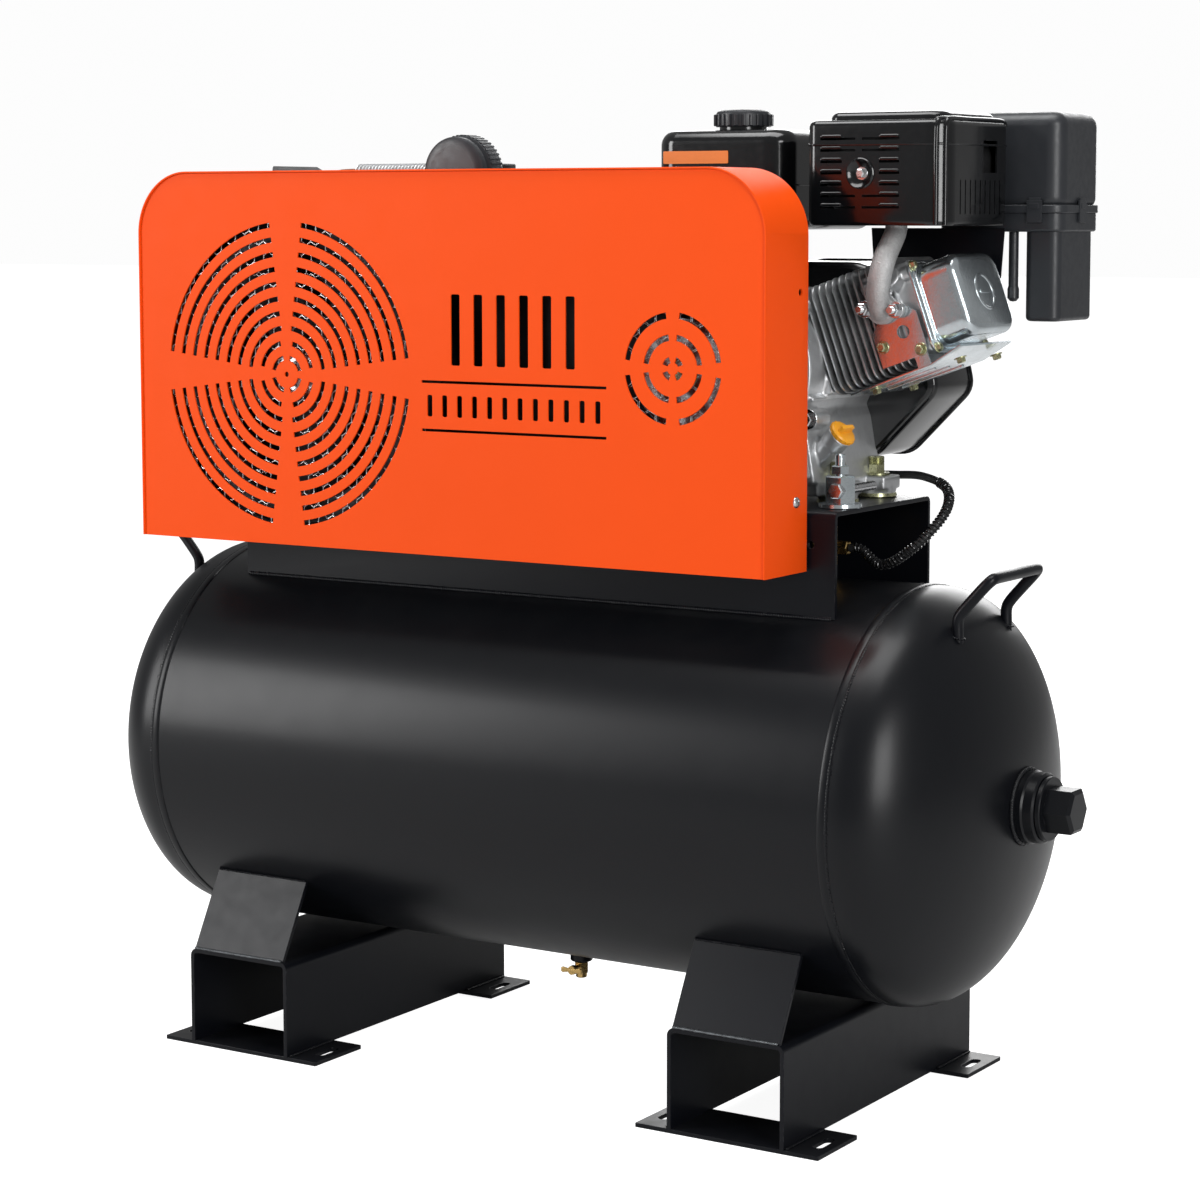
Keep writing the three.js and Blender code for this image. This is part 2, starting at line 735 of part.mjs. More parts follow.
const lowHeadBody = pumpHead(lowHead.half, lowHead.halfY, lowHead.top, lowBore, 9);
const highHeadBody = pumpHead(highHead.half, highHead.halfY, highHead.top, highBore, 9);
add(pump, "pump_head_low", flip(lowHeadBody, pumpVee), paint.darkCast);
add(pump, "pump_head_high", flip(highHeadBody, -pumpVee), paint.darkCast);

// Round inlet filter in front of the low-stage head.
const filterX = 163;
const filterZ = 227;
const filterY = -108;
const filter = solid(
  turned(
    [[0, 0], [38, 0], [41, 3], [41, 10], [37, 12], [37, 15], [43, 17], [43, 38], [40, 42], [0, 42]],
    "y",
    26,
  ).translate(filterX, filterY, filterZ),
);
const filterNeck = bar([148, filterY + 38, 205], [148, -lowHead.halfY - fit, 205], 14, 20);
add(pump, "inlet_filter", join(filter, filterNeck), paint.plastic);

// Finned pipe from the low stage to the high stage.
const coolerY = 12;
const coolerEnds = [
  [lowHead.half, 228, pumpVee, 1],
  [highHead.half, 228, -pumpVee, -1],
].map(([half, s, degrees, sign]) => {
  const a = rad(degrees);
  const t = -sign * (half + fit);
  return [s * Math.sin(a) + t * Math.cos(a), coolerY, s * Math.cos(a) - t * Math.sin(a)];
});
const coolerTop = 226;
const [coolerA, coolerB] = coolerEnds;
const coolerPath = [
  coolerA,
  [coolerA[0] - 10, coolerY, coolerA[2] + 10],
  [coolerA[0] - 30, coolerY, coolerTop],
  [0, coolerY, coolerTop],
  [coolerB[0] + 30, coolerY, coolerTop],
  [coolerB[0] + 10, coolerY, coolerB[2] + 10],
  coolerB,
];
let cooler = bent(coolerPath, 9, 14, 8, 0.5);
for (let i = -2; i <= 2; i++) {
  cooler = join(cooler, bar([i * 24 - 1.5, coolerY, coolerTop], [i * 24 + 1.5, coolerY, coolerTop], 15, 10));
}
add(pump, "intercooler", cooler, paint.cast);

// Running gear: overhung crank, one shared pin, two pistons with their rods.
const webFront = -58;
const webRear = -42;
const pinRadius = 12;
const crank = join(
  bar([0, sheaveFront - 8, 0], [0, webFront + 2, 0], 20, 24),
  bar([0, webFront, 0], [0, webRear, 0], 44, 28),
);
add(pump, "pump_crankshaft", crank, paint.steel);
const pinBody = bar([0, webRear + 0.5, crankThrow], [0, 6, crankThrow], pinRadius, 20);
add(pump, "pump_crank_pin", pinBody, paint.steel);

// A rod from the crank pin to a piston, drawn in the cylinder's own frame and then leaned.
function pistonAndRod(cylinder, y0, y1, centre, pinAcross, pinAlong, rodLength, bigEnd) {
  const crown = cylinder - 0.4;
  const wrist = pinAlong + Math.sqrt(rodLength ** 2 - pinAcross ** 2);
  const skirt = solid(
    turned(
      [
        [crown - 5, wrist - 16],
        [crown, wrist - 16],
        [crown, wrist + 20],
        [0, wrist + 20],
        [0, wrist + 12],
        [crown - 5, wrist + 12],
        [crown - 5, wrist - 16],
      ].reverse(),
      "z",
      18,
    ).translate(0, centre, 0),
  );
  const wristPin = bar([0, centre - crown + 3, wrist], [0, centre + crown - 3, wrist], 6, 14);
  const shank = bar([pinAcross, 0, pinAlong], [0, 0, wrist], 7, 10);
  const eye = bar([pinAcross, y0, pinAlong], [pinAcross, y1, pinAlong], bigEnd + 6, 24);
  const level = (y0 + y1) / 2;
  const shankAt = solid(geometryOf(shank).translate(0, level, 0));
  const hub = bar([0, Math.min(level, centre) - 8, wrist], [0, Math.max(level, centre) + 8, wrist], 9, 16);
  return cut(
    join(skirt, wristPin, shankAt, eye, hub),
    bore([pinAcross, -400, pinAlong], [pinAcross, 400, pinAlong], bigEnd, 24),
  );
}
const across = crankThrow * Math.sin(rad(pumpVee));
const along = crankThrow * Math.cos(rad(pumpVee));
const lowPiston = pistonAndRod(lowBore, -38, -22, 0, -across, along, pumpRodLength, pinRadius);
const highPiston = pistonAndRod(highBore, -18, -2, 0, across, along, pumpRodLength, pinRadius);
add(pump, "pump_piston_low", flip(lowPiston, pumpVee), paint.cast);
add(pump, "pump_piston_high", flip(highPiston, -pumpVee), paint.cast);

// Two-groove sheave profile between two radii; the grooves are cut from the rim.
function sheaveProfile(rimRadius, rimInner) {
  const y0 = sheaveFront;
  const groove = 8.6;
  const grooveDepth = 13;
  const outer = [[rimInner, y0], [rimRadius, y0]];
  for (const centre of [y0 + 12.5, y0 + sheaveWidth - 12.5]) {
    outer.push([rimRadius, centre - groove], [rimRadius - grooveDepth, centre - 5]);
    outer.push([rimRadius - grooveDepth, centre + 5], [rimRadius, centre + groove]);
  }
  outer.push([rimRadius, y0 + sheaveWidth], [rimInner, y0 + sheaveWidth], [rimInner, y0]);
  return outer;
}
const hubY0 = sheaveFront + 2;
const hubY1 = sheaveFront + sheaveWidth + 4;
let wheel = solid(turned(sheaveProfile(flywheelRadius, flywheelRadius - 26), "y", 36));
wheel = join(wheel, bar([0, hubY0, 0], [0, hubY1, 0], 36, 28));
for (let i = 0; i < 5; i++) {
  const spoke = boxGeometry(30, flywheelRadius - 22, -5, 5, -20, 20);
  spoke.rotateX(rad(28));
  spoke.translate(0, sheaveFront + sheaveWidth / 2, 0);
  spoke.rotateY(rad(72 * i + 20));
  wheel = join(wheel, solid(spoke));
}
wheel = cut(wheel, bore([0, hubY0 - 20, 0], [0, hubY1 + 20, 0], 20, 24));
add(pump, "flywheel", wheel, paint.darkCast);

// Pulley on the engine shaft and the banded pair of belts round both.
const shaftRadius = 12.5;
const pulley = cut(
  join(
    solid(turned(sheaveProfile(pulleyRadius, 30), "y", 26)),
    bar([0, hubY0, 0], [0, hubY1, 0], 31, 24),
  ),
  bore([0, hubY0 - 20, 0], [0, hubY1 + 20, 0], shaftRadius, 20),
);
const beltRise = 1.2;
function beltOutline(wheelR, pulleyR, count) {
  const dx = engineX - pumpX;
  const dz = engineZ - pumpZ;
  const length = Math.hypot(dx, dz);
  const heading = Math.atan2(dz, dx);
  const wrap = Math.acos((wheelR - pulleyR) / length);
  const points = [];
  for (let i = 0; i <= count; i++) {
    const angle = heading + wrap + ((2 * Math.PI - 2 * wrap) * i) / count;
    points.push([wheelR * Math.cos(angle), wheelR * Math.sin(angle)]);
  }
  const small = Math.round(count * 0.5);
  for (let i = 0; i <= small; i++) {
    const angle = heading - wrap + (2 * wrap * i) / small;
    points.push([dx + pulleyR * Math.cos(angle), dz + pulleyR * Math.sin(angle)]);
  }
  return points;
}
// The loop is drawn slightly slack-sided so that its facets never bite into the wheels.
const ease = 3.6;
const strand = (outerRise, innerRise, y0, y1) => {
  const ring = outline(beltOutline(flywheelRadius + outerRise, pulleyRadius + outerRise, 14));
  ring.holes.push(hole(beltOutline(flywheelRadius + innerRise, pulleyRadius + innerRise, 14)));
  return solid(plateXZ(ring, y0, y1));
};
const grooveCentres = [sheaveFront + 12.5, sheaveFront + sheaveWidth - 12.5];
const belt = join(
  strand(beltRise + ease + 2.4, beltRise + ease, sheaveFront + 3, sheaveFront + sheaveWidth - 3),
  grooveCentres.map((y) => strand(beltRise + ease + 0.5, beltRise + ease - beltThickness, y - 4.6, y + 4.6)),
);
add(pump, "drive_belt", belt, paint.rubber);

// Delivery pipe from the high-stage head down to the check valve on the receiver.
const checkFoot = tankZ + Math.sqrt(tankRadius ** 2 - checkY ** 2) + bungHeight;
const checkLocal = [checkX - pumpX, checkY, checkFoot - pumpZ];
const [cx, cy, cz] = checkLocal;
const checkTop = cz + fit + 52;
const checkBody = join(
  bar([cx, cy, cz + fit], [cx, cy, cz + fit + 16], 14, 6),
  bar([cx, cy, cz + fit], [cx, cy, checkTop - 4], 10, 20),
  bar([cx, cy, checkTop - 14], [cx, cy, checkTop], 13, 6),
  bar([cx, cy, cz - 10], [cx, cy, cz + 2], bungBore - 0.7, 16),
);
const checkPassage = bar([cx, cy, cz - 20], [cx, cy, checkTop + 5], 4.5, 12);
add(pump, "check_valve", cut(checkBody, checkPassage), paint.brass);
const outletAt = [-178, highHead.halfY + 3 * fit, 150];
const delivery = [
  outletAt,
  [-178, 68, 150],
  [-196, 92, 140],
  [-204, 96, 100],
  [-204, 90, 20],
  [-190, 76, -70],
  [cx, cy, checkTop + 40],
  [cx, cy, checkTop + fit],
];
add(pump, "delivery_pipe", bent(delivery, 8, 22, 8, 0.5), paint.copper);

// ---------- engine ----------
const engine = new THREE.Group();
engine.name = "engine";
engine.position.set(engineX, 0, engineZ);
machine.add(engine);
const caseBottom = engineBase - engineZ;
const caseFront = -62;
const caseRear = 94;
const caseRadius = 86;
const tilt = -cylinderTilt;
// Parts of the cylinder are drawn with its axis along +X and then tilted up.
const tilted = (geometry) => solid(geometry.rotateY(rad(tilt)));
const cylinderGroup = new THREE.Group();
cylinderGroup.name = "cylinder_side";
cylinderGroup.rotation.y = rad(tilt);
engine.add(cylinderGroup);

const washer = (x, y) => bar([x, y, platformTop + fit - engineZ], [x, y, caseBottom + 1], 22, 20);
const bolts = [-1, 1].flatMap((side) => [boltFrontY, boltRearY].map((y) => [side * boltHalfX, y]));
let crankcase = join(
  bar([0, caseFront, 0], [0, caseRear, 0], caseRadius, 30),
  solid(
    plateXZ(
      outline([[-92, caseBottom + 14], [92, caseBottom + 14], [80, -56], [60, -8], [-60, -8], [-80, -56]]),
      caseFront, caseRear,
    ),
  ),
  bolts.map(([x, y]) => block(Math.min(x, 0) - 20, Math.max(x, 0) + 20, y - 20, y + 20, caseBottom, caseBottom + 15)),
  block(-92, 92, caseFront + 8, caseRear - 4, caseBottom, caseBottom + 16),
  bolts.map(([x, y]) => washer(x, y)),
  tilted(boxGeometry(40, finStart, cylinderY - 56, cylinderY + 56, -56, 56)),
  tilted(barGeometry([finStart - 4, cylinderY, 0], [finEnd, cylinderY, 0], engineBore + 8, 24)),
  bar([78, -36, -100], [112, -41, -69], 14, 16),
);
const fins = 5;
for (let i = 0; i < fins; i++) {
  const at = finStart + 4 + ((finEnd - finStart - 8) * i) / (fins - 1);
  crankcase = join(crankcase, tilted(boxGeometry(at, at + 3, cylinderY - 60, cylinderY + 60, -60, 60)));
}
crankcase = cut(
  crankcase,
  bar([0, caseFront - 5, 0], [0, caseRear - 10, 0], caseRadius - 9, 26),
  bore([0, caseRear - 20, 0], [0, caseRear + 5, 0], 15.5, 18),
  tilted(barGeometry([0, cylinderY, 0], [finEnd + 5, cylinderY, 0], flatsAt(engineBore, 26), 26)),
  bolts.map(([x, y]) => bar([x, y, caseBottom - 12], [x, y, caseBottom + 30], 5.5, 12)),
  bar([60, -33.4, -116], [113, -41.2, -68], flatsAt(8.7, 14), 14),
);
add(engine, "engine_crankcase", crankcase, paint.cast);

const coverFront = -78;
const sideCover = cut(
  join(
    bar([0, coverFront + 6, 0], [0, caseFront - fit, 0], caseRadius, 30),
    solid(
      plateXZ(outline([[-88, caseBottom + 20], [88, caseBottom + 20], [78, -50], [-78, -50]]), coverFront + 6, caseFront - fit),
    ),
    bar([0, coverFront - 14, 0], [0, coverFront + 8, 0], 34, 24),
  ),
  bore([0, coverFront - 30, 0], [0, caseFront + 10, 0], shaftRadius + 0.6, 18),
  bar([0, coverFront + 12, 0], [0, caseFront + 10, 0], caseRadius - 12, 24),
);
add(engine, "engine_side_cover", sideCover, paint.cast);

let engineHead = block(finEnd + fit, headEnd, cylinderY - 52, cylinderY + 52, -50, 50);
for (const at of [finEnd + 8, finEnd + 19, finEnd + 30]) {
  engineHead = join(engineHead, block(at, at + 3, cylinderY - 59, cylinderY + 59, -60, 60));
}
engineHead = join(
  engineHead,
  bar([172, cylinderY - 62, 8], [172, cylinderY, 8], 17, 18),
  bar([172, cylinderY, 8], [172, cylinderY + 62, 8], 17, 18),
);
engineHead = cut(
  engineHead,
  bar([finEnd - 5, cylinderY, 0], [finEnd + 14, cylinderY, 0], engineBore - 2, 24),
  bar([172, cylinderY - 70, 8], [172, cylinderY - 30, 8], 10, 14),
  bar([172, cylinderY + 30, 8], [172, cylinderY + 70, 8], 10, 14),
);
add(cylinderGroup, "engine_head", engineHead, paint.cast);

const rockerShape = (inset) =>
  outline(roundedRectangle(cylinderY - 58 + inset, cylinderY + 58 - inset, -50 + inset, 42 - inset, 18 - inset, 4));
const rockerFlange = outline(roundedRectangle(cylinderY - 62, cylinderY + 62, -56, 48, 18, 3));
const rockerStart = headEnd + fit;
const rockerBody = cut(
  join(
    solid(plateYZ(rockerFlange, rockerStart, rockerStart + 3)),
    solid(plateYZ(rockerShape(0), rockerStart + 2, rockerStart + rockerDepth - 8)),
    solid(
      plateYZ(rockerShape(8), rockerStart + 20, rockerStart + rockerDepth - 8, {
        bevelEnabled: true, bevelThickness: 8, bevelSize: 8, bevelSegments: 2,
      }),
    ),
  ),
  solid(plateYZ(rockerShape(3), rockerStart - 5, rockerStart + rockerDepth - 10)),
);
add(cylinderGroup, "rocker_cover", rockerBody, paint.zinc);

const shroudBody = cut(
  join(
    solid(
      plateXZ(
        outline([[104, -64], [206, -64], [244, -56], [245, -58.2], [206.5, -66.4], [104, -66.4]]),
        cylinderY - 62, cylinderY + 64,
      ),
    ),
    block(190, 206, cylinderY - 62, cylinderY - 60.4, -65, -34),
  ),
  bar([150, cylinderY - 20, -80], [150, cylinderY - 20, -50], 5, 12),
);
add(cylinderGroup, "cylinder_shroud", shroudBody, paint.zinc);

// Crankshaft in two halves, each with its web; the pin between them stays with the rod.
const webGap = 12;
const webThick = 11;
const frontHalf = join(
  bar([0, sheaveFront - 6, 0], [0, cylinderY - webGap - 2, 0], shaftRadius, 20),
  bar([0, cylinderY - webGap - webThick, 0], [0, cylinderY - webGap, 0], 50, 28),
);
add(engine, "engine_crank_front", frontHalf, paint.steel);
const fanY0 = 116;
const fanY1 = 160;
let rearHalf = join(
  bar([0, cylinderY + webGap, 0], [0, cylinderY + webGap + webThick, 0], 50, 28),
  bar([0, cylinderY + webGap + 2, 0], [0, fanY1 + 10, 0], 15, 20),
  bar([0, fanY0, 0], [0, fanY0 + 18, 0], 94, 36),
);
for (let i = 0; i < 12; i++) {
  const blade = boxGeometry(50, 92, fanY0 + 16, fanY1, -1.6, 1.6).rotateY(rad(30 * i));
  rearHalf = join(rearHalf, solid(blade));
}
add(engine, "fan_flywheel", rearHalf, paint.cast);

const enginePin = bar([0, cylinderY - webGap + 0.5, engineThrow], [0, cylinderY + webGap - 0.5, engineThrow], 14, 18);
const enginePiston = pistonAndRod(
  engineBore, cylinderY - 9, cylinderY + 9, cylinderY, -engineThrow, 0, engineRodLength, 12,
);
const pistonBody = join(
  solid(geometryOf(enginePiston).rotateY(Math.PI / 2)),
  enginePin,
);
add(cylinderGroup, "engine_piston", pistonBody, paint.cast);

// Fan housing over the flywheel and the back of the cylinder.
const fanOutline = [
  [-70, -104], [84, -104], [160, -28], [152, 8], [118, 34], [108, 92], [60, 114],
  [-40, 114], [-84, 84], [-112, 30], [-112, -40], [-96, -84],
];
const housingFront = 94 + fit;
const housingRear = 186;
const shrink = (points, share) => points.map(([x, z]) => [x * share, z * share]);
let housing = cut(
  join(
    solid(plateXZ(outline(fanOutline), housingFront, housingRear)),
    block(-100, -88, 120, 170, 50, 150 - fit),
    block(-60, -48, 120, 170, 96, 150 - fit),
  ),
  solid(plateXZ(outline(shrink(fanOutline, 0.975)), housingFront - 5, housingRear - 3)),
  bar([0, 150, 0], [0, 200, 0], 76, 30),
);
const leverPin = [-112, 150, 20];
const cableOut = 120;
housing = join(
  housing,
  bar([-128, leverPin[1], leverPin[2]], [-106, leverPin[1], leverPin[2]], 3, 12),
  block(-cableOut - 8, -108, 122, 146, -36, -32),
);
housing = cut(housing, bar([-cableOut, 134, -60], [-cableOut, 134, -20], 2.2, 10));
add(engine, "blower_housing", housing, paint.black);

const recoilY0 = housingRear + fit;
const recoilDepth = 44;
const ropeRadius = 2.4;
const ropeZ = 44;
const ropeY = recoilY0 + 20;
let recoil = solid(
  turned(
    [
      [64, recoilY0], [92, recoilY0], [92, recoilY0 + 3], [86, recoilY0 + 5],
      [80, recoilY0 + recoilDepth - 8], [70, recoilY0 + recoilDepth], [18, recoilY0 + recoilDepth],
      [18, recoilY0 + recoilDepth - 3], [68, recoilY0 + recoilDepth - 3], [77, recoilY0 + recoilDepth - 10],
      [83, recoilY0 + 4], [64, recoilY0 + 4], [64, recoilY0],
    ],
    "y",
    36,
  ),
);
for (let i = 0; i < 8; i++) {
  const slot = boxGeometry(34, 62, recoilY0 + 20, recoilY0 + 60, -3, 3).rotateY(rad(45 * i + 15));
  recoil = cut(recoil, solid(slot));
}
recoil = cut(recoil, bore([-110, ropeY, ropeZ], [-40, ropeY, ropeZ], ropeRadius + 0.6, 12));
add(engine, "recoil_housing", recoil, paint.black);
const grip = join(
  bar([-106, ropeY, ropeZ - 28], [-106, ropeY, ropeZ + 28], 9, 14),
  bar([-104, ropeY, ropeZ], [-94, ropeY, ropeZ], 6, 12),
  bar([-98, ropeY, ropeZ], [52, ropeY, ropeZ], ropeRadius, 10),
);
add(engine, "starter_grip", grip, paint.rubber);

// Silencer, its louvred shield and the cast elbow that feeds it.
const canX = [90, 232];
const canY = [-42, 84];
const canZ = [162, 256];
const canShape = outline(roundedRectangle(canX[0], canX[1], canZ[0], canZ[1], 30, 4));
const elbowTop = [166, -22];
const canBody = cut(
  join(
    solid(plateXZ(canShape, canY[0], canY[1])),
    bar([canX[1] - 30, canY[1] - 4, canZ[1] - 34], [canX[1] - 30, canY[1] + 12, canZ[1] - 34], 9, 14),
  ),
  solid(plateXZ(outline(roundedRectangle(canX[0] + 2, canX[1] - 2, canZ[0] + 2, canZ[1] - 2, 28, 4)), canY[0] + 2, canY[1] - 2)),
  bar([elbowTop[0], elbowTop[1], canZ[0] - 5], [elbowTop[0], elbowTop[1], canZ[0] + 8], 9, 14),
  bar([canX[1] - 30, canY[1] - 8, canZ[1] - 34], [canX[1] - 30, canY[1] + 20, canZ[1] - 34], 7, 14),
);
add(engine, "silencer", canBody, paint.darkCast);

const shieldX = [77, 243];
const shieldY = [-60, 98];
const shieldZ = [153, 272];
const shieldOuter = outline(roundedRectangle(shieldX[0], shieldX[1], shieldY[0], shieldY[1], [10, 22, 14, 10], 4));
const shieldInner = outline(
  roundedRectangle(shieldX[0] + 2, shieldX[1] - 2, shieldY[0] + 2, shieldY[1] - 2, [8, 20, 12, 8], 4),
);
const lidRise = 9;
const lid = outline(
  roundedRectangle(shieldX[0] + 20, shieldX[1] - 14, shieldY[0] + 18, shieldY[1] - 10, [12, 22, 12, 12], 4),
);
let shield = cut(
  join(
    solid(plateXY(shieldOuter, shieldZ[0], shieldZ[1] - 6)),
    solid(
      plateXY(
        outline(
          roundedRectangle(shieldX[0] + 6, shieldX[1] - 6, shieldY[0] + 6, shieldY[1] - 6, [8, 18, 10, 8], 4),
        ),
        shieldZ[1] - 7, shieldZ[1] - 6,
        { bevelEnabled: true, bevelThickness: 6, bevelSize: 6, bevelOffset: 0, bevelSegments: 2 },
      ),
    ),
    solid(plateXY(lid, shieldZ[1] - 4, shieldZ[1] + lidRise)),
  ),
  solid(plateXY(shieldInner, shieldZ[0] - 5, shieldZ[1] - 9)),
);
const louvreRows = 6;
for (let i = 0; i < louvreRows; i++) {
  const z = shieldZ[0] + 26 + i * 13;
  const middle = i > 1 && i < 5;
  const spans = middle ? [[16, 44], [86, 112]] : [[16, 60], [68, 112]];
  for (const [a, b] of spans) {
    shield = cut(shield, block(shieldX[0] + a, shieldX[0] + b, shieldY[0] - 3, shieldY[0] + 4, z, z + 3));
  }
}
for (let i = 0; i < 6; i++) {
  const y = shieldY[0] + 34 + i * 18;
  shield = cut(shield, block(shieldX[1] - 4, shieldX[1] + 4, y, y + 3, shieldZ[0] + 18, shieldZ[0] + 52));
}
shield = cut(shield, block(shieldX[1] - 4, shieldX[1] + 4, 40, 66, shieldZ[0] + 62, shieldZ[0] + 92));
add(engine, "silencer_shield", shield, paint.black);

const portAt = [172 * Math.cos(rad(cylinderTilt)) - 8 * Math.sin(rad(cylinderTilt)),
  172 * Math.sin(rad(cylinderTilt)) + 8 * Math.cos(rad(cylinderTilt))];
const flangeY = cylinderY - 62 - fit;
const elbowPath = [
  [portAt[0], flangeY, portAt[1]],
  [portAt[0], flangeY - 8, portAt[1]],
  [portAt[0] + 1, flangeY - 16, portAt[1] + 20],
  [portAt[0] + 6, flangeY - 12, portAt[1] + 52],
  [elbowTop[0], elbowTop[1], canZ[0] - 14],
  [elbowTop[0], elbowTop[1], canZ[0] - fit],
];
const elbow = cut(
  join(
    bent(elbowPath, 11.5, 10, 10, 0.5),
    bar([portAt[0], flangeY - 7, portAt[1]], [portAt[0], flangeY, portAt[1]], 15, 16),
    block(portAt[0] - 26, portAt[0] + 26, flangeY - 7, flangeY, portAt[1] - 9, portAt[1] + 9),
  ),
  bent(elbowPath.map(([x, y, z], i) => [x, y + (i === 0 ? 6 : 0), z + (i === 5 ? 6 : 0)]), 7, 10, 6, 0.5),
);
add(engine, "exhaust_elbow", elbow, paint.cast);

// Carburettor and air cleaner.
const carbY0 = cylinderY + 62 + fit;
const airBaseZ = [148, 170];
const carb = cut(
  join(
    block(portAt[0] - 22, portAt[0] + 22, carbY0, carbY0 + 6, portAt[1] - 20, portAt[1] + 20),
    bar([portAt[0], carbY0, portAt[1]], [portAt[0], carbY0 + 52, portAt[1]], 18, 18),
    bar([portAt[0], carbY0 + 26, portAt[1] - 44], [portAt[0], carbY0 + 26, portAt[1]], 19, 18),
    bar([portAt[0], carbY0 + 40, portAt[1]], [portAt[0], carbY0 + 40, airBaseZ[0] - fit], 15, 16),
  ),
  bar([portAt[0], carbY0 - 5, portAt[1]], [portAt[0], carbY0 + 44, portAt[1]], 10, 14),
  bar([portAt[0], carbY0 + 40, portAt[1]], [portAt[0], carbY0 + 40, airBaseZ[0] + 10], 10, 14),
);
add(engine, "carburettor", carb, paint.cast);

const airX = [150, 298];
const airY = [108, 216];
const chamberX = [253, 294];
const airBase = cut(
  join(
    solid(plateXY(outline(roundedRectangle(airX[0], airX[1], airY[0], airY[1], 16, 3)), airBaseZ[0], airBaseZ[1])),
    solid(plateXY(outline(roundedRectangle(chamberX[0], chamberX[1], airY[0] + 4, airY[1] - 8, 9, 3)), 51, airBaseZ[0] + 4)),
    bar([238, airY[0] + 12, 84], [238, airY[0] + 12, airBaseZ[0] + 3], 5, 12),
  ),
  solid(
    plateXY(outline(roundedRectangle(airX[0] + 3, airX[1] - 3, airY[0] + 3, airY[1] - 3, 13, 3)), airBaseZ[0] + 4, 200),
  ),
  solid(
    plateXY(outline(roundedRectangle(chamberX[0] + 3, chamberX[1] - 3, airY[0] + 7, airY[1] - 11, 6, 3)), 55, airBaseZ[0] + 20),
  ),
  bar([portAt[0], carbY0 + 40, airBaseZ[0] - 5], [portAt[0], carbY0 + 40, airBaseZ[0] + 10], 12, 14),
);
add(engine, "air_cleaner_base", airBase, paint.plastic);
const airTop = 277;
const coverLow = airBaseZ[1] + fit;
const airCover = cut(
  join(
    solid(plateXY(outline(roundedRectangle(airX[0] - 2, airX[1] + 2, airY[0] - 2, airY[1] + 2, 18, 3)), coverLow, coverLow + 7)),
    solid(plateXY(outline(roundedRectangle(airX[0], airX[1], airY[0], airY[1], 16, 3)), coverLow, airTop - 10)),
    solid(
      plateXY(outline(roundedRectangle(airX[0] + 10, airX[1] - 10, airY[0] + 10, airY[1] - 10, 10, 3)), airTop - 11, airTop - 10, {
        bevelEnabled: true, bevelThickness: 10, bevelSize: 10, bevelSegments: 2,
      }),
    ),
  ),
  solid(
    plateXY(outline(roundedRectangle(airX[0] + 3, airX[1] - 3, airY[0] + 3, airY[1] - 3, 13, 3)), coverLow - 5, airTop - 14),
  ),
);
add(engine, "air_cleaner_cover", airCover, paint.plastic);

// Fuel tank with its cap.
const fuelX = [-153, 18];
const fuelY = [2, 226];
const fuelZ = [150, 260];
const capAt = [-68, 60];
const fuelSkin = (inset) => {
  const edge = Math.max(14 - inset, 3);
  const shape = outline(
    roundedRectangle(fuelX[0] + inset + edge, fuelX[1] - inset - edge, fuelY[0] + inset + edge, fuelY[1] - inset - edge, 14, 2),
  );
  return solid(
    plateXY(shape, fuelZ[0] + inset + edge, fuelZ[1] - inset - edge, {
      bevelEnabled: true, bevelThickness: edge, bevelSize: edge, bevelSegments: 2,
    }),
  );
};
const fuelTank = cut(
  join(
    fuelSkin(0),
    solid(
      plateXY(
        outline(roundedRectangle(fuelX[0] - 5, fuelX[1] + 5, fuelY[0] - 5, fuelY[1] + 5, 30, 4)), fuelZ[0] + 48, fuelZ[0] + 51,
      ),
    ),
    bar([capAt[0], capAt[1], fuelZ[1] - 5], [capAt[0], capAt[1], fuelZ[1] + 4], 27, 24),
  ),
  fuelSkin(1.6),
  bore([capAt[0], capAt[1], fuelZ[1] - 12], [capAt[0], capAt[1], fuelZ[1] + 10], 22.4, 24),
);
add(engine, "fuel_tank", fuelTank, paint.black);
const capBase = fuelZ[1] + 4 + fit;
let cap = join(
  bar([0, 0, capBase], [0, 0, capBase + 18], 34, 30),
  bar([0, 0, capBase + 17], [0, 0, capBase + 20], 30, 24),
  bar([0, 0, capBase - 12], [0, 0, capBase + 1], 22, 20),
);
cap = cut(cap, bar([0, 0, capBase - 20], [0, 0, capBase - 2], 19, 16));
const capMesh = add(engine, "fuel_cap", cap, paint.plastic);
capMesh.position.set(capAt[0], capAt[1], 0);

// Oil filler cap in the neck at the front corner of the crankcase.
const neckFrom = new THREE.Vector3(78, -36, -100);
const neckTo = new THREE.Vector3(112, -41, -69);
const neckDir = neckTo.clone().sub(neckFrom).normalize();
const onNeck = (distance) => neckTo.clone().addScaledVector(neckDir, distance).toArray();
const wing = boxGeometry(-11, 11, -2.2, 2.2, 0, 11);
wing.applyQuaternion(new THREE.Quaternion().setFromUnitVectors(new THREE.Vector3(0, 0, 1), neckDir));
wing.translate(...onNeck(4));
const oilCap = join(
  bar(onNeck(fit), onNeck(6), 15, 18),
  bar(onNeck(-16), onNeck(2), 8.2, 14),
  solid(wing),
);
add(engine, "oil_cap", oilCap, paint.yellow);

// Throttle lever on its pin, with the cable stop below it.
const [, leverY, leverZ] = leverPin;
const lever = cut(
  join(
    bar([-125, leverY, leverZ], [-122.2, leverY, leverZ], 9, 18),
    block(-125, -122.2, leverY - 22, leverY + 4, leverZ - 6, leverZ + 6),
    block(-125, -122.2, leverY - 22, leverY - 12, leverZ - 16, leverZ + 26),
  ),
  bore([-130, leverY, leverZ], [-115, leverY, leverZ], 3, 14),
  bar([-130, leverY - 17, leverZ - 11], [-115, leverY - 17, leverZ - 11], 1.8, 10),
);
add(engine, "throttle_lever", lever, paint.zinc);

// Pulley mesh is placed with the pump's wheel plane.
add(engine, "engine_pulley", pulley, paint.steel);

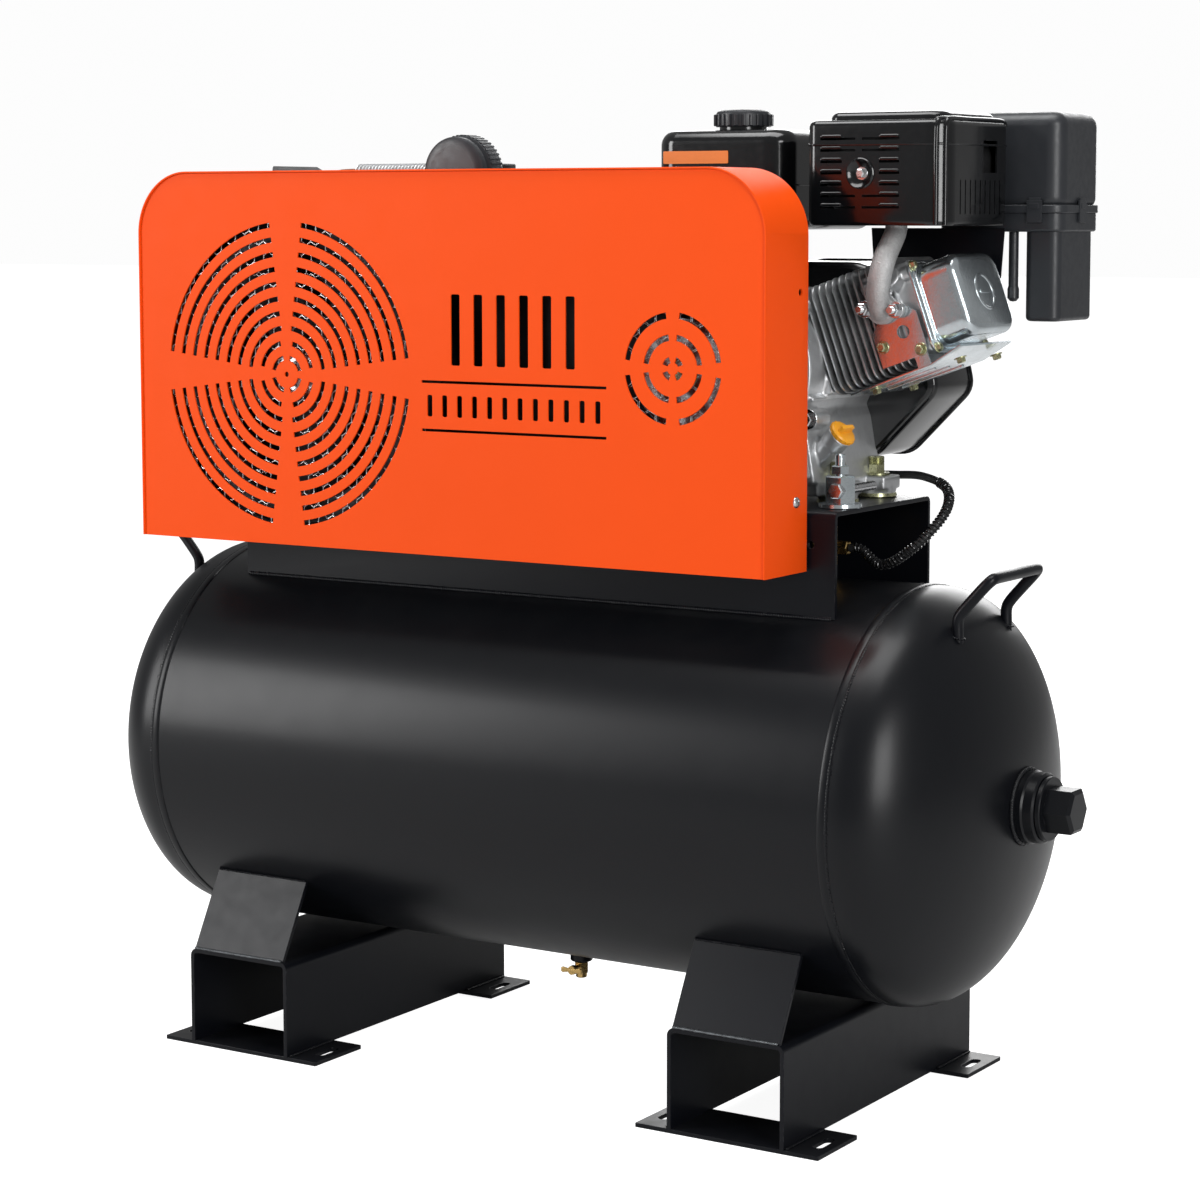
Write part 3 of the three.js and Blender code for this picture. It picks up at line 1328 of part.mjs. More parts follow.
// ---------- receiver fittings ----------
const pilotBase = Math.sqrt(tankRadius ** 2 - pilotY ** 2) + bungHeight;
const pilotSide = [pilotX + 30, pilotY, pilotBase + 20];
const pilot = cut(
  join(
    bar([pilotX, pilotY, pilotBase + fit], [pilotX, pilotY, pilotBase + 46], 14, 20),
    bar([pilotX, pilotY, pilotBase + fit], [pilotX, pilotY, pilotBase + 12], 15, 6),
    bar([pilotX, pilotY, pilotBase - 8], [pilotX, pilotY, pilotBase + 2], bungBore - 0.7, 16),
    bar([pilotX + 4, pilotY, pilotSide[2]], [pilotSide[0], pilotY, pilotSide[2]], 8, 6),
  ),
  bar([pilotX, pilotY, pilotBase - 20], [pilotX, pilotY, pilotBase + 30], 3, 10),
);
add(receiver, "pilot_valve", pilot, paint.brass);

const manifoldZ = manifoldFoot + bungHeight;
const blockHalf = 90;
const manifold = cut(
  join(
    block(manifoldX - blockHalf, manifoldX + blockHalf, manifoldY - 13, manifoldY + 13, manifoldZ + 6, manifoldZ + 30),
    bar([manifoldX, manifoldY, manifoldZ + fit], [manifoldX, manifoldY, manifoldZ + 8], 13, 6),
    bar([manifoldX, manifoldY, manifoldZ - 9], [manifoldX, manifoldY, manifoldZ + 2], bungBore - 0.7, 16),
    bar([manifoldX + blockHalf - 2, manifoldY, manifoldZ + 18], [manifoldX + blockHalf + 46, manifoldY, manifoldZ + 18], 14, 6),
    bar(
      [manifoldX + blockHalf + 24, manifoldY, manifoldZ + 18],
      [manifoldX + blockHalf + 24, manifoldY, manifoldZ + 38],
      6, 14,
    ),
  ),
  bar([manifoldX, manifoldY, manifoldZ - 20], [manifoldX, manifoldY, manifoldZ + 20], 4, 12),
  bar([manifoldX - blockHalf + 8, manifoldY, manifoldZ + 18], [manifoldX + blockHalf + 60, manifoldY, manifoldZ + 18], 6, 12),
  bar([manifoldX - 62, manifoldY, manifoldZ + 18], [manifoldX - 62, manifoldY, manifoldZ + 40], flatsAt(6.4, 14), 14),
  bar([manifoldX - 8, manifoldY, manifoldZ + 18], [manifoldX - 8, manifoldY, manifoldZ + 40], flatsAt(6.4, 14), 14),
);
add(receiver, "outlet_manifold", manifold, paint.brass);

const valveX = manifoldX + blockHalf + 24;
const valveTop = manifoldZ + 38 + fit;
const outletLever = join(
  bar([valveX, manifoldY, valveTop], [valveX, manifoldY, valveTop + 4], 8, 14),
  block(valveX - 4, valveX + 74, manifoldY - 6, manifoldY + 6, valveTop + 1, valveTop + 4),
);
add(receiver, "outlet_lever", outletLever, paint.red);

const stemTop = manifoldZ + 30 + fit;
const gaugeX = manifoldX - 62;
const gaugeZ = stemTop + 34;
const gaugeRadius = 27;
const gauge = cut(
  join(
    bar([gaugeX, manifoldY, stemTop - 10], [gaugeX, manifoldY, stemTop + 4], 6, 14),
    bar([gaugeX, manifoldY, stemTop], [gaugeX, manifoldY, stemTop + 12], 8, 6),
    bar([gaugeX, manifoldY - 8, gaugeZ], [gaugeX, manifoldY + 14, gaugeZ], gaugeRadius, 28),
  ),
  bore([gaugeX, manifoldY + 4, gaugeZ], [gaugeX, manifoldY + 20, gaugeZ], gaugeRadius - 2.6, 28),
);
add(receiver, "gauge_body", gauge, paint.white);
// The needle rests at zero, low on the dial's left as its reader sees it.
const needle = join(
  bar([0, 4 + fit, 0], [0, 7, 0], 3, 12),
  block(-0.8, 0.8, 5, 6.2, -7, 19),
);
const needleMesh = add(receiver, "gauge_needle", needle, paint.black);
needleMesh.position.set(gaugeX, manifoldY, gaugeZ);
needleMesh.rotation.y = rad(135);

const safetyX = manifoldX - 8;
const safety = cut(
  join(
    bar([safetyX, manifoldY, stemTop - 10], [safetyX, manifoldY, stemTop + 4], 6, 14),
    bar([safetyX, manifoldY, stemTop], [safetyX, manifoldY, stemTop + 10], 10, 6),
    bar([safetyX, manifoldY, stemTop + 8], [safetyX, manifoldY, stemTop + 34], 8, 18),
  ),
  bore([safetyX, manifoldY, stemTop + 16], [safetyX, manifoldY, stemTop + 40], 2.6, 12),
);
add(receiver, "safety_valve", safety, paint.brass);
const pinTop = stemTop + 42;
const ringCentre = pinTop + 10;
const pullRing = cut(
  join(
    bar([safetyX, manifoldY, stemTop + 22], [safetyX, manifoldY, pinTop], 2.4, 12),
    bar([safetyX, manifoldY - 1.5, ringCentre], [safetyX, manifoldY + 1.5, ringCentre], 12, 24),
  ),
  bar([safetyX, manifoldY - 5, ringCentre], [safetyX, manifoldY + 5, ringCentre], 9, 20),
);
add(receiver, "safety_ring", pullRing, paint.steel);

// Black throttle cable: out of the platform's open end, round its corner, under the fan housing.
const cableStart = [pilotSide[0] + 4 * fit, pilotSide[1], pilotSide[2] + tankZ];
const cableEnd = [engineX - cableOut, 134, engineZ - 36 - 2 * fit];
const cablePath = [
  cableStart,
  [cableStart[0] + 14, cableStart[1], cableStart[2]],
  [platformHalf - 5.5, 8, platformTop - 68],
  [platformHalf + 36.5, 6, platformTop - 43],
  [platformHalf + 57.5, 30, platformTop - 10],
  [platformHalf + 42.5, 66, platformTop + 13],
  [platformHalf + 0.5, 92, platformTop + 23],
  [engineX + 97, 116, platformTop + 21],
  [engineX + 47, 146, platformTop + 17],
  [engineX - 3, 160, platformTop + 16],
  [engineX - 63, 158, platformTop + 18],
  [engineX - 105, 146, platformTop + 37],
  [cableEnd[0], cableEnd[1], platformTop + 85],
  cableEnd,
];
add(machine, "throttle_cable", bent(cablePath, cableRadius, 38, 8, 0.5), paint.rubber);

// The part's origin is the middle of its underside.
const middle = new THREE.Box3().setFromObject(machine).getCenter(new THREE.Vector3());
machine.position.set(-middle.x, -middle.y, 0);

export default compressor;
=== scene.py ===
"""A petrol-engine air compressor on a horizontal receiver: the looks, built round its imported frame."""
import json
import math

import bmesh
import bpy
from mathutils import Matrix, Vector
from mathutils.geometry import delaunay_2d_cdt

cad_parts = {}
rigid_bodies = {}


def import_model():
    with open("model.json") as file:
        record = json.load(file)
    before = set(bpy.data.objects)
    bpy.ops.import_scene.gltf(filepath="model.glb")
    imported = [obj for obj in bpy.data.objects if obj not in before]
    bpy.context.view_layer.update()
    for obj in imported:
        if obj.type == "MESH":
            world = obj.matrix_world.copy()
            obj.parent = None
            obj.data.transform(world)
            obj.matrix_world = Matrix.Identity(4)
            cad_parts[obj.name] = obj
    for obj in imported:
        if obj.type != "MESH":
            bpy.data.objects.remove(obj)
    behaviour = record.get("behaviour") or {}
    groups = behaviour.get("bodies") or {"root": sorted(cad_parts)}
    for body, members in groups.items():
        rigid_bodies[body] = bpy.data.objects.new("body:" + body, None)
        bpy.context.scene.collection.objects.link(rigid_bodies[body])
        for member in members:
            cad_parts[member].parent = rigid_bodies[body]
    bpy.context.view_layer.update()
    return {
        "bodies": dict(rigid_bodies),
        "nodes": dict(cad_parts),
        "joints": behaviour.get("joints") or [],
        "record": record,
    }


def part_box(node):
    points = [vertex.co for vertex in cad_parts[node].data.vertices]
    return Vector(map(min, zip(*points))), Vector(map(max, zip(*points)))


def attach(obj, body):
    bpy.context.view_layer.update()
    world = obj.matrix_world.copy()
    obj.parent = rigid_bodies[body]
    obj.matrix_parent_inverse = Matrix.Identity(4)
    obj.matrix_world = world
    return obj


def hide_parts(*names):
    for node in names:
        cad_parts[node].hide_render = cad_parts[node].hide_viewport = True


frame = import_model()

MM = 0.001
scene = bpy.context.scene


class Place:
    """Where a CAD node is, in millimetres: its low and high corners and its middle."""

    def __init__(self, node):
        low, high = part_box(node)
        self.x0, self.y0, self.z0 = low / MM
        self.x1, self.y1, self.z1 = high / MM
        self.x, self.y, self.z = (low + high) / 2 / MM


RECEIVER = Place("end_plug")
PUMP = Place("flywheel")
ENGINE = Place("engine_pulley")
GUARD = Place("guard_band")
PLATFORM = Place("platform")
SHELL = Place("tank_shell")
HEAD_RIGHT = Place("tank_head_right")
AXIS_Y = RECEIVER.y
TANK_Z = RECEIVER.z
TANK_RADIUS = 228.5
TILT = math.radians(20)


# ---------- camera, floor and lights ----------
def add_camera(place, azimuth, elevation, lens, shift):
    data = bpy.data.cameras.new("camera")
    camera = bpy.data.objects.new("camera", data)
    scene.collection.objects.link(camera)
    turn, rise = math.radians(azimuth), math.radians(elevation)
    look = Vector((-math.sin(turn) * math.cos(rise), math.cos(turn) * math.cos(rise), -math.sin(rise)))
    camera.location = place
    camera.rotation_euler = look.to_track_quat("-Z", "Y").to_euler()
    data.lens = lens
    data.shift_x, data.shift_y = shift
    data.clip_end = 60
    scene.camera = camera


def add_softbox(name, place, aim, size, power, colour=(1, 1, 1)):
    data = bpy.data.lights.new(name, "AREA")
    data.shape = "RECTANGLE"
    data.size, data.size_y = size
    data.energy = power
    data.color = colour
    lamp = bpy.data.objects.new(name, data)
    scene.collection.objects.link(lamp)
    lamp.location = place
    lamp.rotation_euler = (Vector(aim) - Vector(place)).to_track_quat("-Z", "Y").to_euler()
    lamp.visible_camera = False


# ---------- node trees ----------
def add_node(tree, kind, inputs=None, **settings):
    """A node with its settings, and its inputs either linked or set."""
    node = tree.nodes.new(kind)
    for key, value in settings.items():
        setattr(node, key, value)
    for key, value in (inputs or {}).items():
        if isinstance(value, bpy.types.NodeSocket):
            tree.links.new(value, node.inputs[key])
        else:
            node.inputs[key].default_value = value
    return node


def new_tree(kind, name, inputs, outputs):
    """A node group with named sockets: inputs are (name, type, value), outputs are (name, type)."""
    tree = bpy.data.node_groups.new(name, kind)
    for label, socket, value in inputs:
        made = tree.interface.new_socket(label, in_out="INPUT", socket_type=socket)
        if value is not None:
            made.default_value = value
    for label, socket in outputs:
        tree.interface.new_socket(label, in_out="OUTPUT", socket_type=socket)
    return tree, tree.nodes.new("NodeGroupInput"), tree.nodes.new("NodeGroupOutput")


def math_node(tree, operation, *values, clamp=False):
    return add_node(
        tree, "ShaderNodeMath", dict(enumerate(values)), operation=operation, use_clamp=clamp
    ).outputs[0]


def remap(tree, value, low, high, to_low, to_high):
    return add_node(
        tree, "ShaderNodeMapRange",
        {"Value": value, "From Min": low, "From Max": high, "To Min": to_low, "To Max": to_high},
    ).outputs["Result"]


# ---------- shader groups ----------
def make_patches():
    """Slow drifts over a surface, for colour and gloss that are never quite even."""
    tree, given, result = new_tree(
        "ShaderNodeTree", "patches",
        [("Vector", "NodeSocketVector", None), ("Size", "NodeSocketFloat", 0.1),
         ("Low", "NodeSocketFloat", 0.0), ("High", "NodeSocketFloat", 1.0)],
        [("Value", "NodeSocketFloat")],
    )
    scale = math_node(tree, "DIVIDE", 1.0, given.outputs["Size"])
    noise = add_node(
        tree, "ShaderNodeTexNoise",
        {"Vector": given.outputs["Vector"], "Scale": scale, "Detail": 5.0, "Roughness": 0.62},
    )
    value = remap(
        tree, noise.outputs[0], 0.3, 0.7, given.outputs["Low"], given.outputs["High"]
    )
    tree.links.new(value, result.inputs["Value"])
    return tree


def make_grain():
    """Height of a fine surface texture: pebbles for paint and plastic, pits for castings."""
    tree, given, result = new_tree(
        "ShaderNodeTree", "surface_grain",
        [("Vector", "NodeSocketVector", None), ("Size", "NodeSocketFloat", 0.001),
         ("Pits", "NodeSocketFloat", 0.0)],
        [("Height", "NodeSocketFloat")],
    )
    scale = math_node(tree, "DIVIDE", 1.0, given.outputs["Size"])
    noise = add_node(
        tree, "ShaderNodeTexNoise",
        {"Vector": given.outputs["Vector"], "Scale": scale, "Detail": 3.0, "Roughness": 0.5},
    )
    cells = add_node(
        tree, "ShaderNodeTexVoronoi", {"Vector": given.outputs["Vector"], "Scale": scale}
    )
    pits = math_node(tree, "MULTIPLY", cells.outputs["Distance"], given.outputs["Pits"])
    tree.links.new(math_node(tree, "ADD", noise.outputs[0], pits), result.inputs["Height"])
    return tree


def make_edge_wear():
    """1 on worn outer edges, broken up by noise, and 0 on the flats."""
    tree, given, result = new_tree(
        "ShaderNodeTree", "edge_wear",
        [("Vector", "NodeSocketVector", None), ("Radius", "NodeSocketFloat", 0.0015),
         ("Amount", "NodeSocketFloat", 0.5)],
        [("Mask", "NodeSocketFloat")],
    )
    rounded = add_node(tree, "ShaderNodeBevel", {"Radius": given.outputs["Radius"]}, samples=4)
    geometry = add_node(tree, "ShaderNodeNewGeometry")
    same = add_node(
        tree, "ShaderNodeVectorMath",
        {0: rounded.outputs["Normal"], 1: geometry.outputs["Normal"]}, operation="DOT_PRODUCT",
    )
    noise = add_node(
        tree, "ShaderNodeTexNoise",
        {"Vector": given.outputs["Vector"], "Scale": 90.0, "Detail": 6.0, "Roughness": 0.7},
    )
    turned = math_node(tree, "SUBTRACT", 1.0, same.outputs["Value"])
    edge = remap(tree, turned, 0.03, 0.22, 0.0, 1.0)
    broken = remap(tree, noise.outputs[0], 0.52, 0.64, 0.0, 1.0)
    mask = math_node(tree, "MULTIPLY", edge, broken)
    mask = math_node(tree, "MULTIPLY", mask, given.outputs["Amount"], clamp=True)
    tree.links.new(mask, result.inputs["Mask"])
    return tree


def make_dust():
    """Fine dust that has settled on faces that look up."""
    tree, given, result = new_tree(
        "ShaderNodeTree", "settled_dust",
        [("Vector", "NodeSocketVector", None), ("Amount", "NodeSocketFloat", 0.2)],
        [("Mask", "NodeSocketFloat")],
    )
    geometry = add_node(tree, "ShaderNodeNewGeometry")
    parts = add_node(tree, "ShaderNodeSeparateXYZ", {"Vector": geometry.outputs["Normal"]})
    up = remap(tree, parts.outputs["Z"], 0.55, 1.0, 0.0, 1.0)
    noise = add_node(
        tree, "ShaderNodeTexNoise",
        {"Vector": given.outputs["Vector"], "Scale": 14.0, "Detail": 8.0, "Roughness": 0.7},
    )
    cloud = remap(tree, noise.outputs[0], 0.35, 0.75, 0.1, 1.0)
    mask = math_node(tree, "MULTIPLY", up, cloud)
    mask = math_node(tree, "MULTIPLY", mask, given.outputs["Amount"], clamp=True)
    tree.links.new(mask, result.inputs["Mask"])
    return tree


PATCHES, GRAIN, EDGE_WEAR, DUST = make_patches(), make_grain(), make_edge_wear(), make_dust()


def use_group(tree, group, **values):
    node = tree.nodes.new("ShaderNodeGroup")
    node.node_tree = group
    for name, value in values.items():
        if isinstance(value, bpy.types.NodeSocket):
            tree.links.new(value, node.inputs[name])
        else:
            node.inputs[name].default_value = value
    return node.outputs[0]


def mix_colour(tree, share, first, second):
    node = add_node(tree, "ShaderNodeMix", {"Factor": share}, data_type="RGBA")
    for socket, value in ((node.inputs[6], first), (node.inputs[7], second)):
        if isinstance(value, bpy.types.NodeSocket):
            tree.links.new(value, socket)
        else:
            socket.default_value = (*value, 1)
    return node.outputs[2]


def shade(colour, share):
    return tuple(min(1.0, c * share) for c in colour)


def surface(
    name, colour, roughness, metallic=0.0, coat=0.0, drift=0.12, patch=0.12, grain=0.0012,
    bump=0.15, pits=0.0, wear=0.0, wear_colour=(0.3, 0.3, 0.31), dust=0.0, spread=0.08, marks=None,
    edge_radius=0.0015, gloss=0.5,
):
    """A finish with uneven colour and gloss, a fine grain, worn edges and settled dust."""
    material = bpy.data.materials.new(name)
    material.use_nodes = True
    tree = material.node_tree
    shader = tree.nodes["Principled BSDF"]
    where = add_node(tree, "ShaderNodeTexCoord").outputs["Object"]
    large = use_group(tree, PATCHES, Vector=where, Size=patch)
    fine = use_group(tree, PATCHES, Vector=where, Size=patch / 14)
    base = mix_colour(tree, large, shade(colour, 1 - drift), shade(colour, 1 + drift))
    base = mix_colour(tree, math_node(tree, "MULTIPLY", fine, drift), base, shade(colour, 0.55))
    rough = remap(tree, fine, 0, 1, roughness - spread, roughness + spread)
    height = use_group(tree, GRAIN, Vector=where, Size=grain, Pits=pits)
    if marks:
        stretched = add_node(tree, "ShaderNodeMapping", {"Vector": where, "Scale": marks})
        lines = use_group(tree, PATCHES, Vector=stretched.outputs[0], Size=0.02)
        rough = math_node(tree, "ADD", rough, remap(tree, lines, 0, 1, -spread, spread), clamp=True)
        height = math_node(tree, "ADD", height, lines)
    if wear:
        worn = use_group(tree, EDGE_WEAR, Vector=where, Radius=edge_radius, Amount=wear)
        base = mix_colour(tree, worn, base, wear_colour)
        rough = math_node(tree, "ADD", rough, math_node(tree, "MULTIPLY", worn, 0.1))
    if dust:
        settled = use_group(tree, DUST, Vector=where, Amount=dust)
        base = mix_colour(tree, settled, base, (0.4, 0.39, 0.37))
        rough = math_node(tree, "ADD", rough, math_node(tree, "MULTIPLY", settled, 0.4), clamp=True)
    relief = add_node(
        tree, "ShaderNodeBump", {"Height": height, "Strength": bump, "Distance": grain * 0.25}
    )
    tree.links.new(base, shader.inputs["Base Color"])
    tree.links.new(rough, shader.inputs["Roughness"])
    tree.links.new(relief.outputs["Normal"], shader.inputs["Normal"])
    shader.inputs["Metallic"].default_value = metallic
    shader.inputs["Coat Weight"].default_value = coat
    shader.inputs["Coat Roughness"].default_value = 0.12
    shader.inputs["Specular IOR Level"].default_value = gloss
    return material


LOOK = {
    "tank_paint": surface(
        "tank_paint", (0.0035, 0.004, 0.0055), 0.32, coat=0.02, gloss=0.26, grain=0.0022, bump=0.08,
        wear=0.08, dust=0.015, patch=0.5, drift=0.04, spread=0.015,
    ),
    "frame_paint": surface(
        "frame_paint", (0.004, 0.0046, 0.0068), 0.34, coat=0.02, gloss=0.2, grain=0.0014, bump=0.12,
        wear=0.2, dust=0.02, patch=0.3, drift=0.06, spread=0.03,
    ),
    "guard_paint": surface(
        "guard_paint", (0.88, 0.078, 0.004), 0.5, coat=0.0, gloss=0.12, drift=0.02, grain=0.0013, bump=0.1,
        wear=0.2, wear_colour=(0.45, 0.04, 0.005), patch=0.5, spread=0.03,
    ),
    "engine_paint": surface(
        "engine_paint", (0.004, 0.0043, 0.005), 0.16, coat=0.3, gloss=0.4, grain=0.0016, bump=0.05,
        wear=0.15, dust=0.02, spread=0.04,
    ),
    "pump_iron": surface(
        "pump_iron", (0.035, 0.037, 0.04), 0.5, metallic=0.2, grain=0.0017, bump=0.5, pits=0.5,
        wear=0.6, dust=0.18,
    ),
    "cast_aluminium": surface(
        "cast_aluminium", (0.64, 0.65, 0.66), 0.42, metallic=0.85, grain=0.0012, bump=0.45,
        pits=0.4, wear=0.4, wear_colour=(0.75, 0.76, 0.77), dust=0.1, drift=0.16,
    ),
    "rough_casting": surface(
        "rough_casting", (0.5, 0.5, 0.5), 0.62, metallic=0.6, grain=0.0016, bump=0.9,
        pits=0.9, wear=0.4, wear_colour=(0.6, 0.6, 0.6), drift=0.25, patch=0.03,
    ),
    "zinc_sheet": surface(
        "zinc_sheet", (0.66, 0.72, 0.75), 0.2, metallic=0.95, grain=0.003, bump=0.08,
        wear=0.3, wear_colour=(0.7, 0.72, 0.72), drift=0.14, patch=0.05, spread=0.07,
    ),
    "gold_zinc": surface(
        "gold_zinc", (0.5, 0.5, 0.3), 0.26, metallic=0.9, grain=0.002, bump=0.1, drift=0.3,
        patch=0.02,
    ),
    "bright_steel": surface(
        "bright_steel", (0.62, 0.63, 0.64), 0.24, metallic=1.0, grain=0.001, bump=0.1,
        drift=0.1, marks=(0.2, 14.0, 0.2),
    ),
    "silencer_steel": surface(
        "silencer_steel", (0.02, 0.02, 0.021), 0.5, metallic=0.3, grain=0.001, bump=0.4, drift=0.3,
    ),
    "brass": surface(
        "brass", (0.62, 0.42, 0.16), 0.28, metallic=1.0, grain=0.001, bump=0.12, drift=0.22,
        patch=0.03, wear=0.3, wear_colour=(0.85, 0.66, 0.32),
    ),
    "copper_pipe": surface(
        "copper_pipe", (0.6, 0.28, 0.15), 0.3, metallic=1.0, grain=0.002, bump=0.1, drift=0.3,
        patch=0.05,
    ),
    "black_plastic": surface(
        "black_plastic", (0.022, 0.024, 0.028), 0.38, grain=0.0008, bump=0.4, pits=0.3,
        wear=0.3, wear_colour=(0.07, 0.07, 0.075), dust=0.08,
    ),
    "yellow_plastic": surface(
        "yellow_plastic", (0.85, 0.37, 0.02), 0.35, grain=0.0008, bump=0.2, drift=0.08, patch=0.02,
    ),
    "orange_band": surface(
        "orange_band", (0.85, 0.2, 0.02), 0.4, grain=0.0008, bump=0.1, drift=0.06, patch=0.04,
    ),
    "red_grip": surface(
        "red_grip", (0.5, 0.018, 0.012), 0.25, coat=0.3, grain=0.002, bump=0.12, drift=0.1,
        patch=0.02,
    ),
    "gauge_case": surface(
        "gauge_case", (0.75, 0.76, 0.76), 0.3, grain=0.001, bump=0.05, drift=0.03, patch=0.02,
    ),
    "belt_rubber": surface(
        "belt_rubber", (0.014, 0.014, 0.015), 0.72, grain=0.0009, bump=0.7, pits=0.6, wear=0.5,
        wear_colour=(0.05, 0.05, 0.05), dust=0.1,
    ),
    "grip_rubber": surface(
        "grip_rubber", (0.013, 0.013, 0.014), 0.5, grain=0.0007, bump=0.4, drift=0.3, patch=0.03,
    ),
}


# ---------- shapes, in millimetres ----------
def rounded_rectangle(x0, x1, y0, y1, radii, steps=8):
    """Corner radii run lower left, lower right, upper right, upper left."""
    if not isinstance(radii, (list, tuple)):
        radii = [radii] * 4
    corners = [(x0, y0, 1, 1, 180), (x1, y0, -1, 1, 270), (x1, y1, -1, -1, 0), (x0, y1, 1, -1, 90)]
    points = []
    for (x, y, sx, sy, start), radius in zip(corners, radii):
        count = steps if radius > 0 else 0
        for i in range(count + 1):
            angle = math.radians(start + (90 * i / count if count else 0))
            points.append((
                x + sx * radius + radius * math.cos(angle), y + sy * radius + radius * math.sin(angle)
            ))
    return points


def circle(x, y, radius, count=48):
    turns = (2 * math.pi * i / count for i in range(count))
    return [(x + radius * math.cos(a), y + radius * math.sin(a)) for a in turns]


def arc_slot(x, y, radius, width, start, end):
    """A curved slot with square ends, between two angles in degrees."""
    count = max(3, round(radius * (end - start) / 360))
    points = []
    for r, a, b in ((radius + width / 2, start, end), (radius - width / 2, end, start)):
        for i in range(count + 1):
            angle = math.radians(a + (b - a) * i / count)
            points.append((x + r * math.cos(angle), y + r * math.sin(angle)))
    return points


def facing(direction, at=(0, 0, 0)):
    """Turns +Z to the direction, then moves the origin to the place."""
    turn = Vector(direction).to_track_quat("Z", "Y").to_matrix().to_4x4()
    return Matrix.Translation(Vector(at)) @ turn


def axes(x, y, z, at=(0, 0, 0)):
    """Lays a body's own X, Y and Z along three directions."""
    turn = Matrix((x, y, z)).transposed().to_4x4()
    return Matrix.Translation(Vector(at)) @ turn


STAND_XZ = ((1, 0, 0), (0, 0, 1), (0, -1, 0))
STAND_YZ = ((0, 1, 0), (0, 0, 1), (1, 0, 0))


def lathe(profile, segments=96):
    """A body turned about +Z from (radius, height) pairs; a closed ring repeats its first pair."""
    bm = bmesh.new()
    closed = profile[0] == profile[-1]
    rings = []
    for radius, height in profile[:-1] if closed else profile:
        if radius < 1e-6:
            rings.append([bm.verts.new((0, 0, height))])
            continue
        turns = (2 * math.pi * i / segments for i in range(segments))
        rings.append([bm.verts.new((radius * math.cos(a), radius * math.sin(a), height)) for a in turns])
    pairs = list(zip(rings, rings[1:] + rings[:1])) if closed else list(zip(rings, rings[1:]))
    for low, high in pairs:
        for i in range(segments):
            j = (i + 1) % segments
            loop = [low[i % len(low)], low[j % len(low)], high[j % len(high)], high[i % len(high)]]
            unique = list(dict.fromkeys(loop))
            if len(unique) > 2:
                bm.faces.new(unique)
    bmesh.ops.recalc_face_normals(bm, faces=bm.faces)
    return bm


def turned_to(loop, anticlockwise):
    """The loop, reversed if it runs the wrong way round."""
    area = sum(x0 * y1 - x1 * y0 for (x0, y0), (x1, y1) in zip(loop, loop[1:] + loop[:1]))
    return list(loop) if (area > 0) == anticlockwise else list(reversed(loop))


def inset(loop, amount):
    """The loop moved to its left by an amount, mitred at its corners."""
    made = []
    for before, here, after in zip(loop[-1:] + loop[:-1], loop, loop[1:] + loop[:1]):
        first = (Vector(here) - Vector(before)).normalized()
        second = (Vector(after) - Vector(here)).normalized()
        left = Vector((-first.y - second.y, first.x + second.x))
        share = max(1 + first.dot(second), 0.3)
        made.append(tuple(Vector(here) + left * (amount / share)))
    return made


def prism(outline, depth, holes=(), soft=0.0, rounds=2):
    """An outline with holes, extruded from 0 to depth along +Z, its rims rounded off."""
    bm = bmesh.new()
    loops = [turned_to(outline, True), *(turned_to(hole, False) for hole in holes)]
    steps = [math.pi / 2 * k / rounds for k in range(rounds + 1)] if soft else [math.pi / 2]
    rise = [(soft * (1 - math.sin(a)), soft * (1 - math.cos(a))) for a in steps]
    levels = rise + [(amount, depth - height) for amount, height in reversed(rise)]
    bottom, top, flat = [], [], []
    for loop in loops:
        rings = []
        for amount, height in levels:
            points = inset(loop, amount) if amount > 1e-9 else loop
            rings.append([bm.verts.new((x, y, height)) for x, y in points])
        for low, high in zip(rings, rings[1:]):
            for i in range(len(loop)):
                j = (i + 1) % len(loop)
                bm.faces.new((low[i], low[j], high[j], high[i]))
        bottom += rings[0]
        top += rings[-1]
        flat.append(len(loop))
    starts = [sum(flat[:i]) for i in range(len(flat))]
    sides = [list(range(start, start + count)) for start, count in zip(starts, flat)]
    inside_with_holes = 2
    _, _, faces, given, *_ = delaunay_2d_cdt(
        [Vector(v.co.xy) for v in bottom], [], sides, inside_with_holes, 1e-6
    )
    for face in faces:
        corners = [given[i][0] for i in face]
        bm.faces.new([top[i] for i in corners])
        bm.faces.new([bottom[i] for i in reversed(corners)])
    bmesh.ops.recalc_face_normals(bm, faces=bm.faces)
    return bm


def block(x0, x1, y0, y1, z0, z1, soft=0.6):
    """A box with softened edges."""
    bm = bmesh.new()
    bmesh.ops.create_cube(bm, size=1)
    bmesh.ops.scale(bm, vec=(x1 - x0, y1 - y0, z1 - z0), verts=bm.verts)
    bmesh.ops.translate(bm, vec=((x0 + x1) / 2, (y0 + y1) / 2, (z0 + z1) / 2), verts=bm.verts)
    if soft:
        bmesh.ops.bevel(bm, geom=bm.edges[:], offset=soft, segments=2, profile=0.5, affect="EDGES")
    return bm


def smooth_path(points, step=2.5):
    """Points of a Catmull-Rom curve through the given ones, about a step apart."""
    given = [Vector(p) for p in points]
    given = [2 * given[0] - given[1], *given, 2 * given[-1] - given[-2]]
    made = []
    for a, b, c, d in zip(given, given[1:], given[2:], given[3:]):
        count = max(1, round((c - b).length / step))
        for i in range(count):
            t = i / count
            made.append(0.5 * (
                2 * b + (c - a) * t + (2 * a - 5 * b + 4 * c - d) * t * t
                + (3 * b - a - 3 * c + d) * t ** 3
            ))
    made.append(given[-2])
    return made


